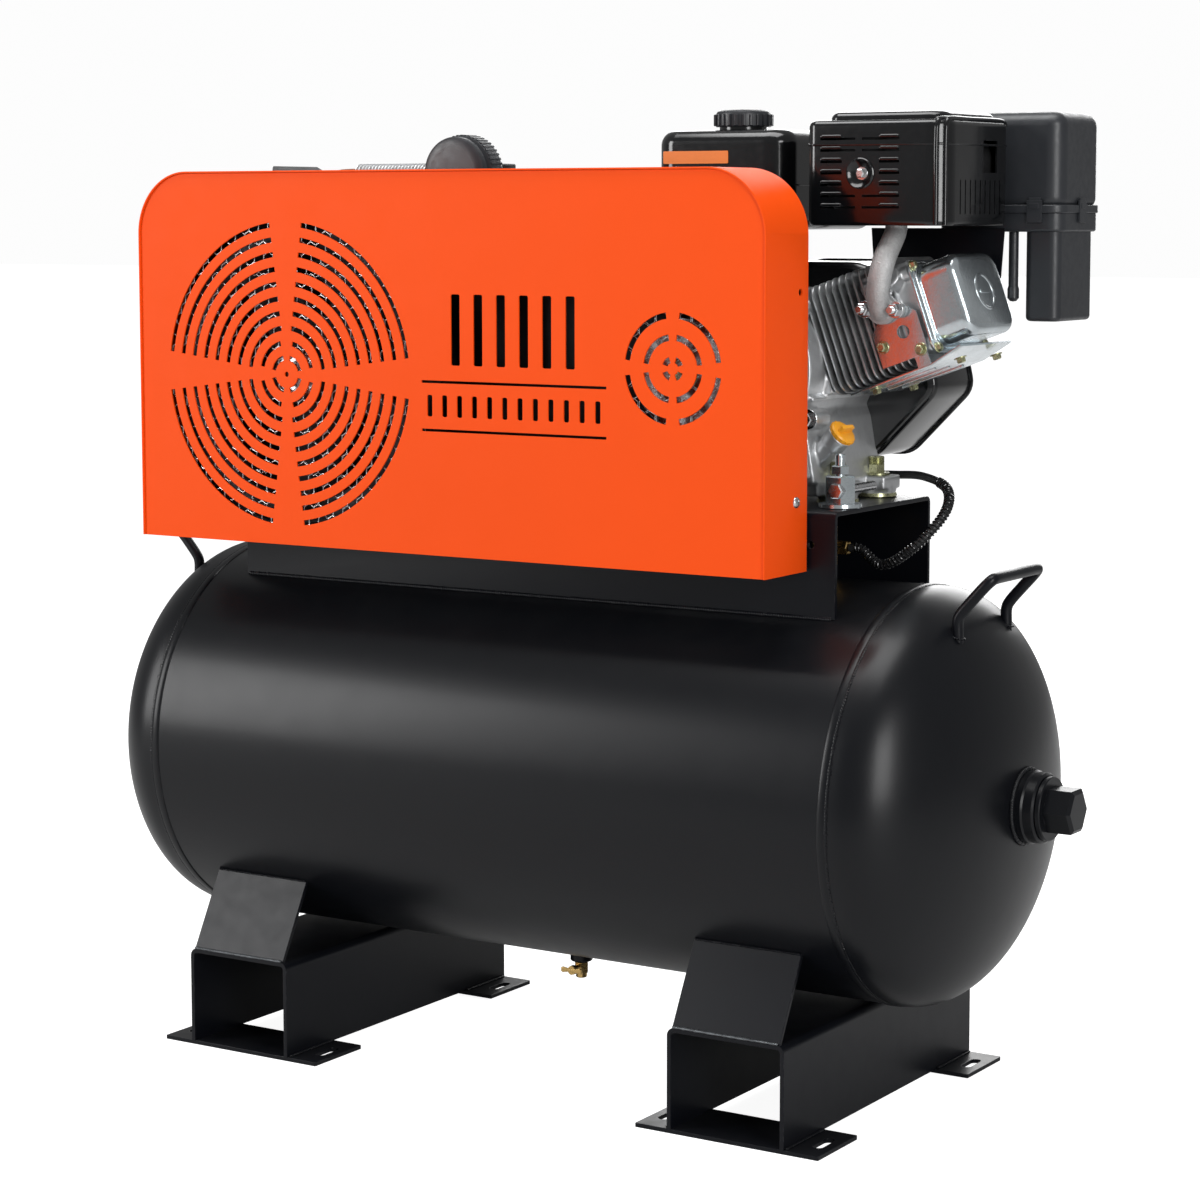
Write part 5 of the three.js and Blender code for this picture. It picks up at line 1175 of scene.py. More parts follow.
def make_guard():
    g = GUARD
    depth = g.y1 - g.y0
    outer = rounded_rectangle(g.x0, g.x1, g.z0, g.z1, [0, 0, GUARD_CORNER, GUARD_CORNER], 24)
    inner = rounded_rectangle(
        g.x0 + GUARD_SHEET, g.x1 - GUARD_SHEET, g.z0, g.z1 - GUARD_SHEET,
        [0, 0, GUARD_CORNER - GUARD_SHEET, GUARD_CORNER - GUARD_SHEET], 24,
    )
    wall = [p for p in outer if p[1] > g.z0 + 1]
    back = [p for p in inner if p[1] > g.z0 + 1]
    start, end = (g.x0, g.z0), (g.x1, g.z0)
    ring = [end, *wall, start, (g.x0 + GUARD_SHEET, g.z0), *reversed(back), (g.x1 - GUARD_SHEET, g.z0)]
    band = prism(ring, depth, soft=0.5)
    lip_inner = rounded_rectangle(
        g.x0 + 15, g.x1 - 15, g.z0, g.z1 - 15, [0, 0, GUARD_CORNER - 15, GUARD_CORNER - 15], 24
    )
    lip_back = [p for p in lip_inner if p[1] > g.z0 + 1]
    lip = [end, *wall, start, (g.x0 + 15, g.z0), *reversed(lip_back), (g.x1 - 15, g.z0)]
    rim = prism(lip, GUARD_SHEET, soft=0.8, rounds=3)
    both = together(
        moved(band, axes(*STAND_XZ, (0, g.y1, 0))), moved(rim, axes(*STAND_XZ, (0, g.y0 + GUARD_SHEET, 0)))
    )
    shell = put("guard_shell", both, "guard_paint", replaces=["guard_band"])
    holes = [
        moved(prism(circle(0, 0, 4, 24), 12), facing((1, 0, 0), (g.x1 - 6, g.y0 + 74, 896))),
        moved(prism(circle(0, 0, 2.6, 20), 12), facing((1, 0, 0), (g.x1 - 6, g.y0 + 67, 676))),
        moved(prism(circle(0, 0, 2.6, 20), 12), facing((1, 0, 0), (g.x0 - 6, g.y0 + 67, 676))),
    ]
    carve(shell, *holes)

    inset = GUARD_SHEET + 0.3
    radius = GUARD_CORNER - inset
    face = rounded_rectangle(g.x0 + inset, g.x1 - inset, g.z0, g.z1 - inset, [0, 0, radius, radius], 24)
    holes = [circle(PUMP.x, PUMP.z, 3, 20)]
    rings, largest, width = 10, 173.0, 5.8
    for i in range(rings):
        r = largest - width / 2 - largest / (rings + 0.3) * i
        gap = 13 if r < 45 else 7.5
        holes += [arc_slot(PUMP.x, PUMP.z, r, width, a + gap, a + 90 - gap) for a in range(0, 360, 90)]
    for r in (56.2, 33.0, 10.0):
        gap = 20 if r < 20 else 8
        holes += [arc_slot(ENGINE.x, ENGINE.z + 6, r, 6.7, a + gap, a + 90 - gap) for a in range(0, 360, 90)]
    left = g.x0 + 405
    holes += [rounded_rectangle(left + 40 + i * 30, left + 52 + i * 30, 812, 890, 2, 3) for i in range(6)]
    holes += [rounded_rectangle(left, left + 242, z, z + 3, 0) for z in (738.5, 792)]
    holes += [rounded_rectangle(left + 7.5 + i * 20, left + 14.5 + i * 20, 755, 779, 2, 3) for i in range(12)]
    panel = prism(face, GUARD_SHEET, holes=holes, soft=0.25)
    put("guard_panel", moved(panel, axes(*STAND_XZ, (0, g.y0 + 2 * GUARD_SHEET + 0.3, 0))), "guard_paint",
        replaces=["guard_front"])

    rear_holes = [circle(PUMP.x, PUMP.z, 52), circle(ENGINE.x, ENGINE.z, 34)]
    sheet = prism(face, GUARD_SHEET, holes=rear_holes, soft=0.3)
    rear = put("guard_rear_sheet", moved(sheet, axes(*STAND_XZ, (0, g.y1 - 1, 0))), "frame_paint",
               replaces=["guard_back"])
    notches = [
        block(g.x0 - 3, g.x0 + 6.5, g.y1 - 12, g.y1 + 8, 626, 702, soft=0),
        block(g.x1 - 6.5, g.x1 + 3, g.y1 - 12, g.y1 + 8, 626, 702, soft=0),
    ]
    carve(rear, *notches)

    for name, x, z, wide, tall in (
        ("large_grille_mesh", PUMP.x, PUMP.z, 356, 356), ("small_grille_mesh", ENGINE.x, ENGINE.z + 6, 132, 132),
    ):
        empty = bmesh.new()
        empty.verts.new((0, 0, 0))
        grown(name, empty, "bright_steel", WIRE_MESH,
              {"Width": wide * MM, "Height": tall * MM, "Pitch": 13 * MM, "Wire": 0.55 * MM})
        piece = bpy.data.objects[name]
        piece.data.transform(Matrix.Translation((x * MM, (g.y0 + 6.4) * MM, z * MM)))
    places = [((g.x1, g.y0 + 67, 676), (1, 0, 0)), ((g.x0, g.y0 + 67, 676), (-1, 0, 0))]
    aimed_at("guard_screws", screw(6.2, 3.0), "bright_steel", places)


make_guard()


# ---------- engine ----------
CYLINDER_Y = 28.0
CASE_RADIUS = 86.0


def on_engine(x, y, z):
    return (ENGINE.x + x, AXIS_Y + y, ENGINE.z + z)


ENGINE_FRAME = Matrix.Translation(on_engine(0, 0, 0))
CYLINDER_FRAME = ENGINE_FRAME @ Matrix.Rotation(-TILT, 4, "Y")
ACROSS_Y = axes(*STAND_XZ)
ALONG_X = axes(*STAND_YZ)


def on_cylinder(x, y, z):
    return tuple(CYLINDER_FRAME @ Vector((x, y, z)))


def tilted(direction):
    return tuple(CYLINDER_FRAME.to_3x3() @ Vector(direction))


def y_disc(profile, x, z, segments=96):
    """A body turned about Y, its profile's heights running along +Y."""
    return moved(lathe(profile, segments), facing((0, 1, 0), (x, 0, z)))


def make_crankcase():
    case = from_node("engine_crankcase")
    normal = Vector(tilted((1, 0, 0)))
    geometry = [*case.verts, *case.edges, *case.faces]
    cut = bmesh.ops.bisect_plane(
        case, geom=geometry, plane_co=on_cylinder(81, 0, 0), plane_no=normal, clear_outer=True
    )
    rim = [e for e in cut["geom_cut"] if isinstance(e, bmesh.types.BMEdge)]
    bmesh.ops.triangle_fill(case, edges=rim, use_beauty=True)
    ring = [(77, -62), (CASE_RADIUS, -62), (CASE_RADIUS, 94), (77, 94), (77, -62)]
    extras = [y_disc(ring, 0, 0)]
    for angle in (200, 222, 318, 340, 140, 160):
        a = math.radians(angle)
        rib = block(CASE_RADIUS - 8, CASE_RADIUS + 7, -58, 86, -2.2, 2.2, soft=1)
        extras.append(moved(rib, Matrix.Rotation(-a, 4, "Y")))
    for x, z in ((84, -52), (-84, -52), (60, 66), (-60, 66)):
        extras.append(y_disc([(0, -62), (11, -62), (11, -30), (0, -30)], x, z, 32))
    extras = moved(together(*extras), ENGINE_FRAME)
    fused("engine_casting", together(case, extras), "cast_aluminium", voxel=1.9, passes=4,
          replaces=["engine_crankcase"])

    fin_start, fin_end = 82.0, 148.0
    fin = prism(rounded_rectangle(CYLINDER_Y - 61, CYLINDER_Y + 61, -61, 61, 14), 2.4,
                holes=[circle(CYLINDER_Y, 0, 47, 64)], soft=0.6, rounds=2)
    fin = moved(moved(fin, ALONG_X), CYLINDER_FRAME @ Matrix.Translation((fin_start + 3, 0, 0)))
    step = Vector(tilted((1, 0, 0))) * ((fin_end - fin_start - 6) / 7)
    row_of("cylinder_fins", fin, "fin_metal", 8, step)
    # The barrel that shows between the fins is near black: painted shade in the gaps between the fins, though it is
    # aluminium like them.
    barrel = [(44.6, 76), (54, 76), (54, 147.8), (44.6, 147.8), (44.6, 76)]
    sleeve = moved(lathe(barrel, 96), facing((1, 0, 0), (0, CYLINDER_Y, 0)))
    put("cylinder_barrel", moved(sleeve, CYLINDER_FRAME), "fin_gap")

    cover = Place("engine_side_cover")
    profile = [(13.4, cover.y0 - AXIS_Y), (28, cover.y0 - AXIS_Y), (34, cover.y0 - AXIS_Y + 4), (35, -78),
               (52, -76), (CASE_RADIUS - 8, -73.5), (CASE_RADIUS, -70), (CASE_RADIUS, -62.4),
               (13.4, -62.4), (13.4, cover.y0 - AXIS_Y)]
    skirt = prism([(-88, -116), (88, -116), (78, -50), (-78, -50)], 9, soft=2)
    ribs = [moved(block(38, 80, -79, -72, -2, 2, soft=1), Matrix.Rotation(math.radians(45 * i), 4, "Y"))
            for i in range(8)]
    body = together(y_disc(profile, 0, 0), moved(skirt, axes(*STAND_XZ, (0, -62.5, 0))), *ribs)
    fused("side_cover_casting", moved(body, ENGINE_FRAME), "cast_aluminium", voxel=1.8, passes=3,
          replaces=["engine_side_cover"])
    places = []
    for i in range(8):
        a = math.radians(22.5 + 45 * i)
        places.append((on_engine(78 * math.cos(a), -73, 78 * math.sin(a)), (0, -1, 0)))
    aimed_at("side_cover_bolts", bolt(10, 6, washer=7.5, washer_depth=1.4), "bright_steel", places)
    aimed_at("casting_bolt", bolt(14, 7, washer=11, washer_depth=1.6), "bright_steel",
             [(on_engine(84, -62.5, -52), (0, -1, 0)), (on_engine(-84, -62.5, -52), (0, -1, 0))])


def make_head():
    core = block(148.4, 211.6, CYLINDER_Y - 52, CYLINDER_Y + 52, -50, 50, soft=3)
    ports = [
        moved(lathe([(10, 0), (17, 0), (17, 62), (0, 62), (0, 34), (10, 34), (10, 0)], 48),
              facing((0, sign, 0), (172, CYLINDER_Y - sign * 62, 8)))
        for sign in (1, -1)
    ]
    bosses = [moved(lathe([(0, 0), (8, 0), (8, 60), (0, 60)], 32), facing((1, 0, 0), (150, CYLINDER_Y + y, z)))
              for y in (-50, 50) for z in (-44, 36)]
    plug_boss = moved(lathe([(0, 0), (12, 0), (12, 34), (0, 34)], 40),
                      facing((0.2, -1, 0.5), (184, CYLINDER_Y - 34, 24)))
    body = moved(together(core, *ports, *bosses, plug_boss), CYLINDER_FRAME)
    fused("cylinder_head_casting", body, "cast_aluminium", voxel=1.6, passes=3,
          replaces=["engine_head"])
    fin = prism(rounded_rectangle(CYLINDER_Y - 59.5, CYLINDER_Y + 59.5, -60, 60, 12), 2.2, soft=0.6)
    fin = moved(moved(fin, ALONG_X), CYLINDER_FRAME @ Matrix.Translation((153, 0, 0)))
    row_of("head_fins", fin, "fin_metal", 5, Vector(tilted((1, 0, 0))) * 8.6)

    start = 212.0
    flange = prism(rounded_rectangle(CYLINDER_Y - 62, CYLINDER_Y + 62, -56, 48, 16), 3, soft=1)
    rim = prism(rounded_rectangle(CYLINDER_Y - 59, CYLINDER_Y + 59, -53, 45, 17), 7, soft=3, rounds=4)
    dome = prism(rounded_rectangle(CYLINDER_Y - 55, CYLINDER_Y + 55, -49, 41, 20), 50, soft=10, rounds=8)
    bodies = [
        moved(flange, axes(*STAND_YZ, (start, 0, 0))),
        moved(rim, axes(*STAND_YZ, (start, 0, 0))),
        moved(dome, axes(*STAND_YZ, (start, 0, 0))),
    ]
    badge = [(17.0, -1)]
    badge += [(19 + 2 * math.cos(a), 1.1 * math.sin(a)) for a in (math.pi * (1 - i / 8) for i in range(9))]
    badge += [(21.0, -1), (17.0, -1)]
    bodies.append(moved(lathe(badge, 72), facing((1, 0, 0), (start + 49.9, CYLINDER_Y, -4))))
    bar = prism(rounded_rectangle(-11, 11, -2.4, 2.4, 2.2), 2, soft=0.8)
    bodies.append(moved(bar, axes(*STAND_YZ, (start + 48.9, CYLINDER_Y, -4))))
    put("valve_cover", moved(together(*bodies), CYLINDER_FRAME), "zinc_sheet", replaces=["rocker_cover"])
    places = [(on_cylinder(start + 3, CYLINDER_Y + y, z), tilted((1, 0, 0)))
              for y in (-55.5, 55.5) for z in (-50, 42)]
    aimed_at("valve_cover_bolts", bolt(8, 5, washer=5.6, washer_depth=1.2), "gold_zinc", places)

    plug_at = on_cylinder(190, CYLINDER_Y - 60, 38)
    plug_way = tilted((0.25, -1, 0.45))
    cap = lathe([(0, 0), (8, 0), (8.6, 2), (8, 6), (7, 16), (6.5, 22), (3, 25), (0, 25)], 40)
    put("spark_plug_cap", moved(cap, facing(plug_way, Vector(plug_at) - 18 * Vector(plug_way))), "grip_rubber")


def make_shroud():
    low = [(104, -66.4), (206.5, -66.4), (245, -58.2), (244, -56), (206, -64), (104, -64)]
    plate = prism(low, 126, soft=0.5)
    plate = moved(plate, axes(*STAND_XZ, (0, CYLINDER_Y + 64, 0)))
    tab = block(190, 206, CYLINDER_Y - 62, CYLINDER_Y - 60.4, -65, -34, soft=0.4)
    ribs = [block(118, 196, CYLINDER_Y + y - 2, CYLINDER_Y + y + 2, -68.2, -65.6, soft=0.8)
            for y in (-34, 0, 34)]
    put("lower_air_guide", moved(together(plate, tab, *ribs), CYLINDER_FRAME), "zinc_sheet",
        replaces=["cylinder_shroud"])
    side = prism([(150, -52), (204, -52), (208, -44), (208, -6), (196, 6), (168, 6), (150, -14)], 1.6,
                 holes=[circle(186, -22, 7, 28)], soft=0.5)
    put("side_air_guide", moved(moved(side, axes(*STAND_XZ, (0, CYLINDER_Y - 60.6, 0))), CYLINDER_FRAME),
        "zinc_sheet")
    places = [(on_cylinder(x, CYLINDER_Y - 62.4, z), tilted((0, -1, 0))) for x, z in ((200, -46), (158, -30))]
    places += [(on_cylinder(x, CYLINDER_Y + y, -66.6), tilted((0, 0, -1))) for x in (126, 232) for y in (-44, 44)]
    aimed_at("air_guide_bolts", bolt(9, 5, washer=7, washer_depth=1.2), "gold_zinc", places)


def make_exhaust():
    can = prism(rounded_rectangle(90, 232, 162, 256, 34, 12), 126, soft=10, rounds=5)
    outlet = moved(lathe([(7, 0), (9, 0), (9, 15), (7, 15), (7, 0)], 32), facing((0, 1, 0), (202, 81, 222)))
    body = together(moved(can, axes(*STAND_XZ, (0, 84, 0))), outlet)
    put("silencer_can", moved(body, ENGINE_FRAME), "silencer_steel", replaces=["silencer"])

    x0, x1, y0, y1, z0, z1 = 77, 243, -60, 98, 153, 266
    corner = [12, 24, 16, 12]
    shell = shifted(prism(rounded_rectangle(x0, x1, y0, y1, corner, 12), z1 - z0, soft=7, rounds=6), 0, 0, z0)
    seam_z = z1 - 27
    seam = shifted(prism(rounded_rectangle(x0 - 0.9, x1 + 0.9, y0 - 0.9, y1 + 0.9, corner, 12), 2.6, soft=1), 0, 0, seam_z)
    lid = prism(rounded_rectangle(x0 + 18, x1 - 12, y0 + 16, y1 - 8, [12, 22, 12, 12], 10), 22, soft=8, rounds=6)
    shield = put("heat_shield", moved(shell, ENGINE_FRAME), "engine_paint", replaces=["silencer_shield"])
    put("shield_seam", moved(seam, ENGINE_FRAME), "engine_paint")
    bracket = prism([(82, 98), (236, 98), (240, 152), (78, 152)], 2, holes=[circle(110, 136, 5, 24)], soft=0.5)
    put("silencer_bracket", moved(moved(bracket, axes(*STAND_XZ, (0, 93.4, 0))), ENGINE_FRAME), "frame_paint")
    inside = rounded_rectangle(x0 + 2, x1 - 2, y0 + 2, y1 - 2, [10, 22, 14, 10], 12)
    cutters = [together(shifted(prism(inside, z1 - z0 - 2 + 20, soft=5, rounds=4), 0, 0, z0 - 20))]
    rows = 7
    for i in range(rows):
        z = z0 + 20 + i * 12
        spans = [(18, 44), (88, 112)] if 2 <= i <= 4 else [(18, 60), (68, 112)]
        for a, b in spans:
            cutters.append(block(x0 + a, x0 + b, y0 - 3, y0 + 5, z, z + 2.6, soft=0))
    cutters.append(block(x1 - 6, x1 + 4, 30, 64, z0 + 58, z0 + 92, soft=0))
    for i in range(9):
        y = y0 + 34 + i * 12
        cutters.append(block(x1 - 6, x1 + 4, y, y + 2.4, z0 + 14, z0 + 50, soft=0))
    cutters.append(moved(prism(circle(0, 0, 15.2, 48), 12), facing((0, 1, 0), (x0 + 66, y0 - 4, z0 + 57))))
    for i in range(9):
        y = y0 + 40 + i * 7.5
        cutters.append(block(x1 - 58, x1 - 18, y, y + 2.4, z1 - 5, z1 + 4, soft=0))
    carve(shield, *[moved(c, ENGINE_FRAME) for c in cutters])
    put("heat_shield_lid", moved(shifted(lid, 0, 0, z1 - 13), ENGINE_FRAME), "engine_paint")

    blade = together(*[
        moved(lathe([(0, 0), (1.6, 1), (2.0, 3), (2.0, b - a - 3), (1.6, b - a - 1), (0, b - a)], 16),
              facing((1, 0, 0), (x0 + a, y0 + 0.3, z0 + 24.0)))
        for a, b in ((18, 44), (88, 112))
    ])
    row_of("louvre_lips", moved(blade, ENGINE_FRAME), "engine_paint", rows, (0, 0, 12))
    dish = [(15.6, 0.4), (16.4, -0.8), (15.4, -1.6), (13.6, 0.6), (9, 3.6), (5, 4.4), (0, 4.4), (0, 6), (6, 6),
            (12, 4.4), (15.6, 2.4), (15.6, 0.4)]
    cup = moved(lathe(dish, 64), facing((0, 1, 0), on_engine(x0 + 66, y0, z0 + 57)))
    put("shield_dish", cup, "engine_paint")
    aimed_at("shield_bolts", bolt(9, 5, washer=7, washer_depth=1.4), "bright_steel",
             [(on_engine(x0 + 66, y0 + 4.4, z0 + 57), (0, -1, 0))])
    for i, offset in enumerate((0, 9)):
        x, y = x1 - 12 + offset * 0.75, y0 + 1.5 + offset * 0.9
        path = smooth_path([
            (x, y, z0 + 3), (x, y, z0 + 40), (x, y, z1 - 20), (x, y + 2.5, z1 - 5), (x, y + 12, z1 + 0.4),
            (x, y + 60, z1 + 0.6), (x, y1 - 14, z1 + 0.4), (x, y1 - 4, z1 - 5),
        ], 3)
        ridge = tube([Vector(on_engine(*p)) for p in path], 2.8, 14)
        put(f"shield_ridge_{i + 1}", ridge, "engine_paint")

    port = [172 * math.cos(TILT) - 8 * math.sin(TILT), 172 * math.sin(TILT) + 8 * math.cos(TILT)]
    flange_y = CYLINDER_Y - 62.3
    path = smooth_path([
        (port[0], flange_y, port[1]), (port[0], flange_y - 8, port[1]), (port[0] + 1, flange_y - 16, port[1] + 20),
        (port[0] + 6, flange_y - 12, port[1] + 52), (166, -22, 148), (166, -22, 161.7),
    ], 3)
    pipe = tube(path, lambda share: 12.6 - 1.5 * abs(share - 0.4), 24)
    oval = prism(rounded_rectangle(-26, 26, -9, 9, 8.9), 7.5, soft=1)
    bodies = [pipe, moved(oval, axes(*STAND_XZ, (port[0], flange_y, port[1]))),
              moved(lathe([(0, 0), (16, 0), (16, 8), (0, 8)], 40), facing((0, -1, 0), (port[0], flange_y, port[1])))]
    fused("exhaust_bend", moved(together(*bodies), ENGINE_FRAME), "rough_casting", voxel=1.1, passes=3,
          replaces=["exhaust_elbow"])
    nuts = [(on_engine(port[0] + sx * 18.5, flange_y - 7.6, port[1]), (0, -1, 0)) for sx in (-1, 1)]
    aimed_at("exhaust_nuts", bolt(13, 8, washer=9, washer_depth=1.6, stud=4, nut=8), "bright_steel", nuts)


def make_air_cleaner():
    x0, x1, y0, y1 = 150, 298, 108, 216
    pan = shifted(prism(rounded_rectangle(x0, x1, y0, y1, 16), 22, soft=3, rounds=4), 0, 0, 148)
    chamber = shifted(prism(rounded_rectangle(253, 294, y0 + 4, y1 - 8, 11), 104, soft=5, rounds=5), 0, 0, 51)
    drain = tube(smooth_path([(238, y0 + 12, 84), (238, y0 + 12, 110), (238, y0 + 12, 152)]), 5.4, 24)
    bottle = lathe([(0, 0), (3.4, 0.6), (6.4, 4), (6.4, 14), (5.2, 18), (0, 18)], 32)
    body = together(pan, chamber, drain, shifted(bottle, 238, y0 + 12, 72))
    put("air_cleaner_pan", moved(body, ENGINE_FRAME), "black_plastic", replaces=["air_cleaner_base"])
    rim = shifted(prism(rounded_rectangle(x0 - 2, x1 + 2, y0 - 2, y1 + 2, 18), 9, soft=1.5, rounds=3), 0, 0, 168.3)
    hood = shifted(prism(rounded_rectangle(x0, x1, y0, y1, 18, 12), 106, soft=15, rounds=8), 0, 0, 170.9)
    step = shifted(prism(rounded_rectangle(x0 + 12, x1 - 12, y0 + 12, y1 - 12, 12), 30, soft=5, rounds=5), 0, 0, 247.2)
    put("air_cleaner_hood", moved(together(rim, hood, step), ENGINE_FRAME), "black_plastic",
        replaces=["air_cleaner_cover"])
    clips = []
    for x, y, turn in ((x1 + 1.0, (y0 + y1) / 2, 90), (x0 + 40, y0 - 1.0, 0), (x1 - 30, y0 - 1.0, 0), (x0 + 70, y1 + 1.0, 180)):
        latch = together(block(-9, 9, -2.2, 1, -12, 12, soft=0.8), block(-6, 6, -3, 0, 3, 9, soft=0.8),
                         block(-7, 7, -1.8, 2, 11, 15, soft=0.8))
        clips.append(moved(latch, Matrix.Translation((x, y, 170)) @ Matrix.Rotation(math.radians(turn), 4, "Z")))
    put("air_cleaner_clips", moved(together(*clips), ENGINE_FRAME), "black_plastic")


def make_fuel_tank():
    x0, x1, y0, y1, z0, z1 = -153, 18, 2, 226, 150, 260
    body = shifted(prism(rounded_rectangle(x0, x1, y0, y1, 28, 12), z1 - z0, soft=16, rounds=8), 0, 0, z0)
    seam = shifted(prism(rounded_rectangle(x0 - 5, x1 + 5, y0 - 5, y1 + 5, 32, 12), 2.4, soft=0.8), 0, 0, z0 + 48)
    neck_x, neck_y = -68, 60
    neck = shifted(lathe([(22.8, -8), (29, -8), (29, -1), (27, 1), (27, 4), (22.8, 4), (22.8, -8)], 64), neck_x, neck_y, z1)
    put("fuel_tank_shell", moved(together(body, seam, neck), ENGINE_FRAME), "engine_paint", replaces=["fuel_tank"])
    band = prism(rounded_rectangle(-72, 12, -7, 7, 1.5), 0.5, soft=0.1)
    place = Matrix.Translation(on_engine(-66, y0 - 0.2, z1 - 30)) @ ACROSS_Y
    put("fuel_tank_band", moved(band, place), "orange_band")
    cap_z = z1 + 4.3
    profile = [(0, -10), (20, -10), (21, -9), (21, 0), (30.6, 0), (31.4, 1.2), (31.4, 13.5), (29.5, 17), (26, 18.6),
               (20, 19.2), (8, 19.6), (0, 19.7)]
    put("fuel_cap_body", shifted(lathe(profile, 96), *on_engine(neck_x, neck_y, cap_z)), "black_plastic",
        body="fuel_cap", replaces=["fuel_cap"])
    rib = shifted(block(30.5, 33.6, -1.9, 1.9, 1.0, 14.0, soft=0.9), *on_engine(neck_x, neck_y, cap_z))
    ring_of("fuel_cap_ribs", rib, "black_plastic", 24, on_engine(neck_x, neck_y, cap_z), (0, 0, 1), body="fuel_cap")


def make_oil_cap():
    start, end = Vector(on_engine(78, -36, -100)), Vector(on_engine(112, -41, -69))
    way = (end - start).normalized()
    head = lathe([(0, -15), (7.6, -15), (8, -14), (8, 0.3), (14.6, 0.3), (15, 1), (15, 4.6), (13.8, 6), (9, 7), (0, 7.4)], 64)
    wing = prism([(-10.8, 0), (10.8, 0), (10.2, 7.6), (7.5, 9.2), (-7.5, 9.2), (-10.2, 7.6)], 4.4, soft=1.2, rounds=3)
    wing = moved(wing, axes(*STAND_XZ, (0, 2.2, 6)))
    put("oil_cap_head", moved(together(head, wing), facing(way, end)), "yellow_plastic", body="oil_cap",
        replaces=["oil_cap"])
    rib = block(14.2, 15.8, -1.3, 1.3, 1, 5, soft=0.5)
    ring_of("oil_cap_ribs", moved(rib, facing(way, end)), "yellow_plastic", 16, end, way, body="oil_cap")
    collar = [(8.9, -16), (13.6, -16), (14.2, -14), (14.2, -1.2), (13.4, -0.1), (8.9, -0.1), (8.9, -16)]
    put("oil_neck_collar", moved(lathe(collar, 64), facing(way, end)), "cast_aluminium")


LOOK["fin_metal"] = surface(
    "fin_metal", (0.55, 0.56, 0.57), 0.34, metallic=0.85, grain=0.0012, bump=0.4, pits=0.3,
    wear=1.0, wear_colour=(0.8, 0.81, 0.82), drift=0.2, patch=0.04,
)
# Near black, for the barrel between the cylinder fins: painted shade in the gaps, on what is cast aluminium like the
# fins.
LOOK["fin_gap"] = surface(
    "fin_gap", (0.06, 0.06, 0.062), 0.6, metallic=0.3, grain=0.0016, bump=0.5, drift=0.3
)
SLOT_OF["fin_metal"] = SLOT_OF["fin_gap"] = "cast_aluminium"
make_crankcase()
make_head()
make_shroud()
make_exhaust()
make_air_cleaner()
make_fuel_tank()
make_oil_cap()


# ---------- pump ----------
def on_pump(x, y, z):
    return (PUMP.x + x, AXIS_Y + y, PUMP.z + z)


PUMP_FRAME = Matrix.Translation(on_pump(0, 0, 0))
VEE = math.radians(45)
LOW_FRAME = PUMP_FRAME @ Matrix.Rotation(VEE, 4, "Y")
HIGH_FRAME = PUMP_FRAME @ Matrix.Rotation(-VEE, 4, "Y")


def make_pump_case():
    ribs = []
    for angle in (-20, 0, 20, 160, 180, 200):
        rib = block(74, 87, -74, 74, -2.4, 2.4, soft=1)
        ribs.append(moved(rib, Matrix.Rotation(math.radians(angle), 4, "Y")))
    ring = [(20.9, -107), (34, -108), (44, -106), (44, -78), (20.9, -78), (20.9, -107)]
    ribs.append(y_disc(ring, 0, 0, 64))
    for x, y in ((-88, -62), (88, -62), (-88, 62), (88, 62)):
        boss = [(6.5, -119), (15, -119), (15, -112), (6.5, -112), (6.5, -119)]
        ribs.append(shifted(lathe(boss, 40), x, y, 0))
    extras = moved(together(*ribs), PUMP_FRAME)
    fused("pump_casting", together(from_node("pump_crankcase"), extras), "pump_iron", voxel=2.2,
          passes=4, replaces=["pump_crankcase"])
    rear = [(0, 84), (40, 84), (56, 82.5), (66, 80), (68, 78.3), (0, 78.3)]
    put("pump_rear_cover", moved(y_disc(rear, 0, 0, 72), PUMP_FRAME), "pump_iron")
    places = []
    for i in range(8):
        a = math.radians(45 * i + 10)
        places.append((on_pump(60 * math.cos(a), 81, 60 * math.sin(a)), (0, 1, 0)))
    aimed_at("pump_cover_bolts", bolt(9, 5, washer=7, washer_depth=1.2), "bright_steel", places)
    feet = [(on_pump(x, y, -111.6), (0, 0, 1)) for x in (-88, 88) for y in (-62, 62)]
    aimed_at("pump_foot_bolts", bolt(17, 9, washer=14, washer_depth=2.4, stud=7, nut=9), "gold_zinc", feet)
    glass = lathe([(0, 0), (11, 0), (12, 1), (12, 5), (10, 6.6), (8.4, 5.2), (0, 5.2)], 40)
    put("pump_oil_glass", moved(glass, facing((0, 1, 0), on_pump(0, 84.2, -34))), "brass")
    breather = lathe([(0, 0), (7, 0), (7, 8), (11, 9), (12, 12), (12, 24), (9, 28), (0, 29)], 40)
    put("pump_breather", moved(breather, facing((0, 0, 1), on_pump(0, -50, 78))), "brass")


def pump_cylinder(name, frame, bore, fin_radius, count=8):
    start, end = 96.0, 190.0
    wall = bore + 9
    sleeve = [(bore, start), (fin_radius, start), (fin_radius, start + 8), (wall + 3, start + 9),
              (wall, start + 13), (wall, end - 13), (wall + 3, end - 9), (fin_radius, end - 8),
              (fin_radius, end), (bore, end), (bore, start)]
    put(f"{name}_sleeve", moved(lathe(sleeve, 96), frame), "pump_iron", replaces=[f"pump_{name}"])
    fin = [(wall - 0.5, 0), (fin_radius - 0.8, 0.4), (fin_radius, 1.2), (fin_radius - 0.8, 2.0),
           (wall - 0.5, 2.8), (wall - 0.5, 0)]
    plate = moved(lathe(fin, 72), frame @ Matrix.Translation((0, 0, start + 14)))
    reach = end - start - 28 - 3
    row_of(f"{name}_fins", plate, "pump_iron", count, frame.to_3x3() @ Vector((0, 0, reach / (count - 1))))
    places = []
    for i in range(6):
        a = math.radians(60 * i + 30)
        spot = (0.88 * fin_radius * math.cos(a), 0.88 * fin_radius * math.sin(a), start + 8)
        places.append((frame @ Vector(spot), frame.to_3x3() @ Vector((0, 0, 1))))
    aimed_at(f"{name}_nuts", bolt(11, 6, washer=7.6, washer_depth=1.2), "bright_steel", places)


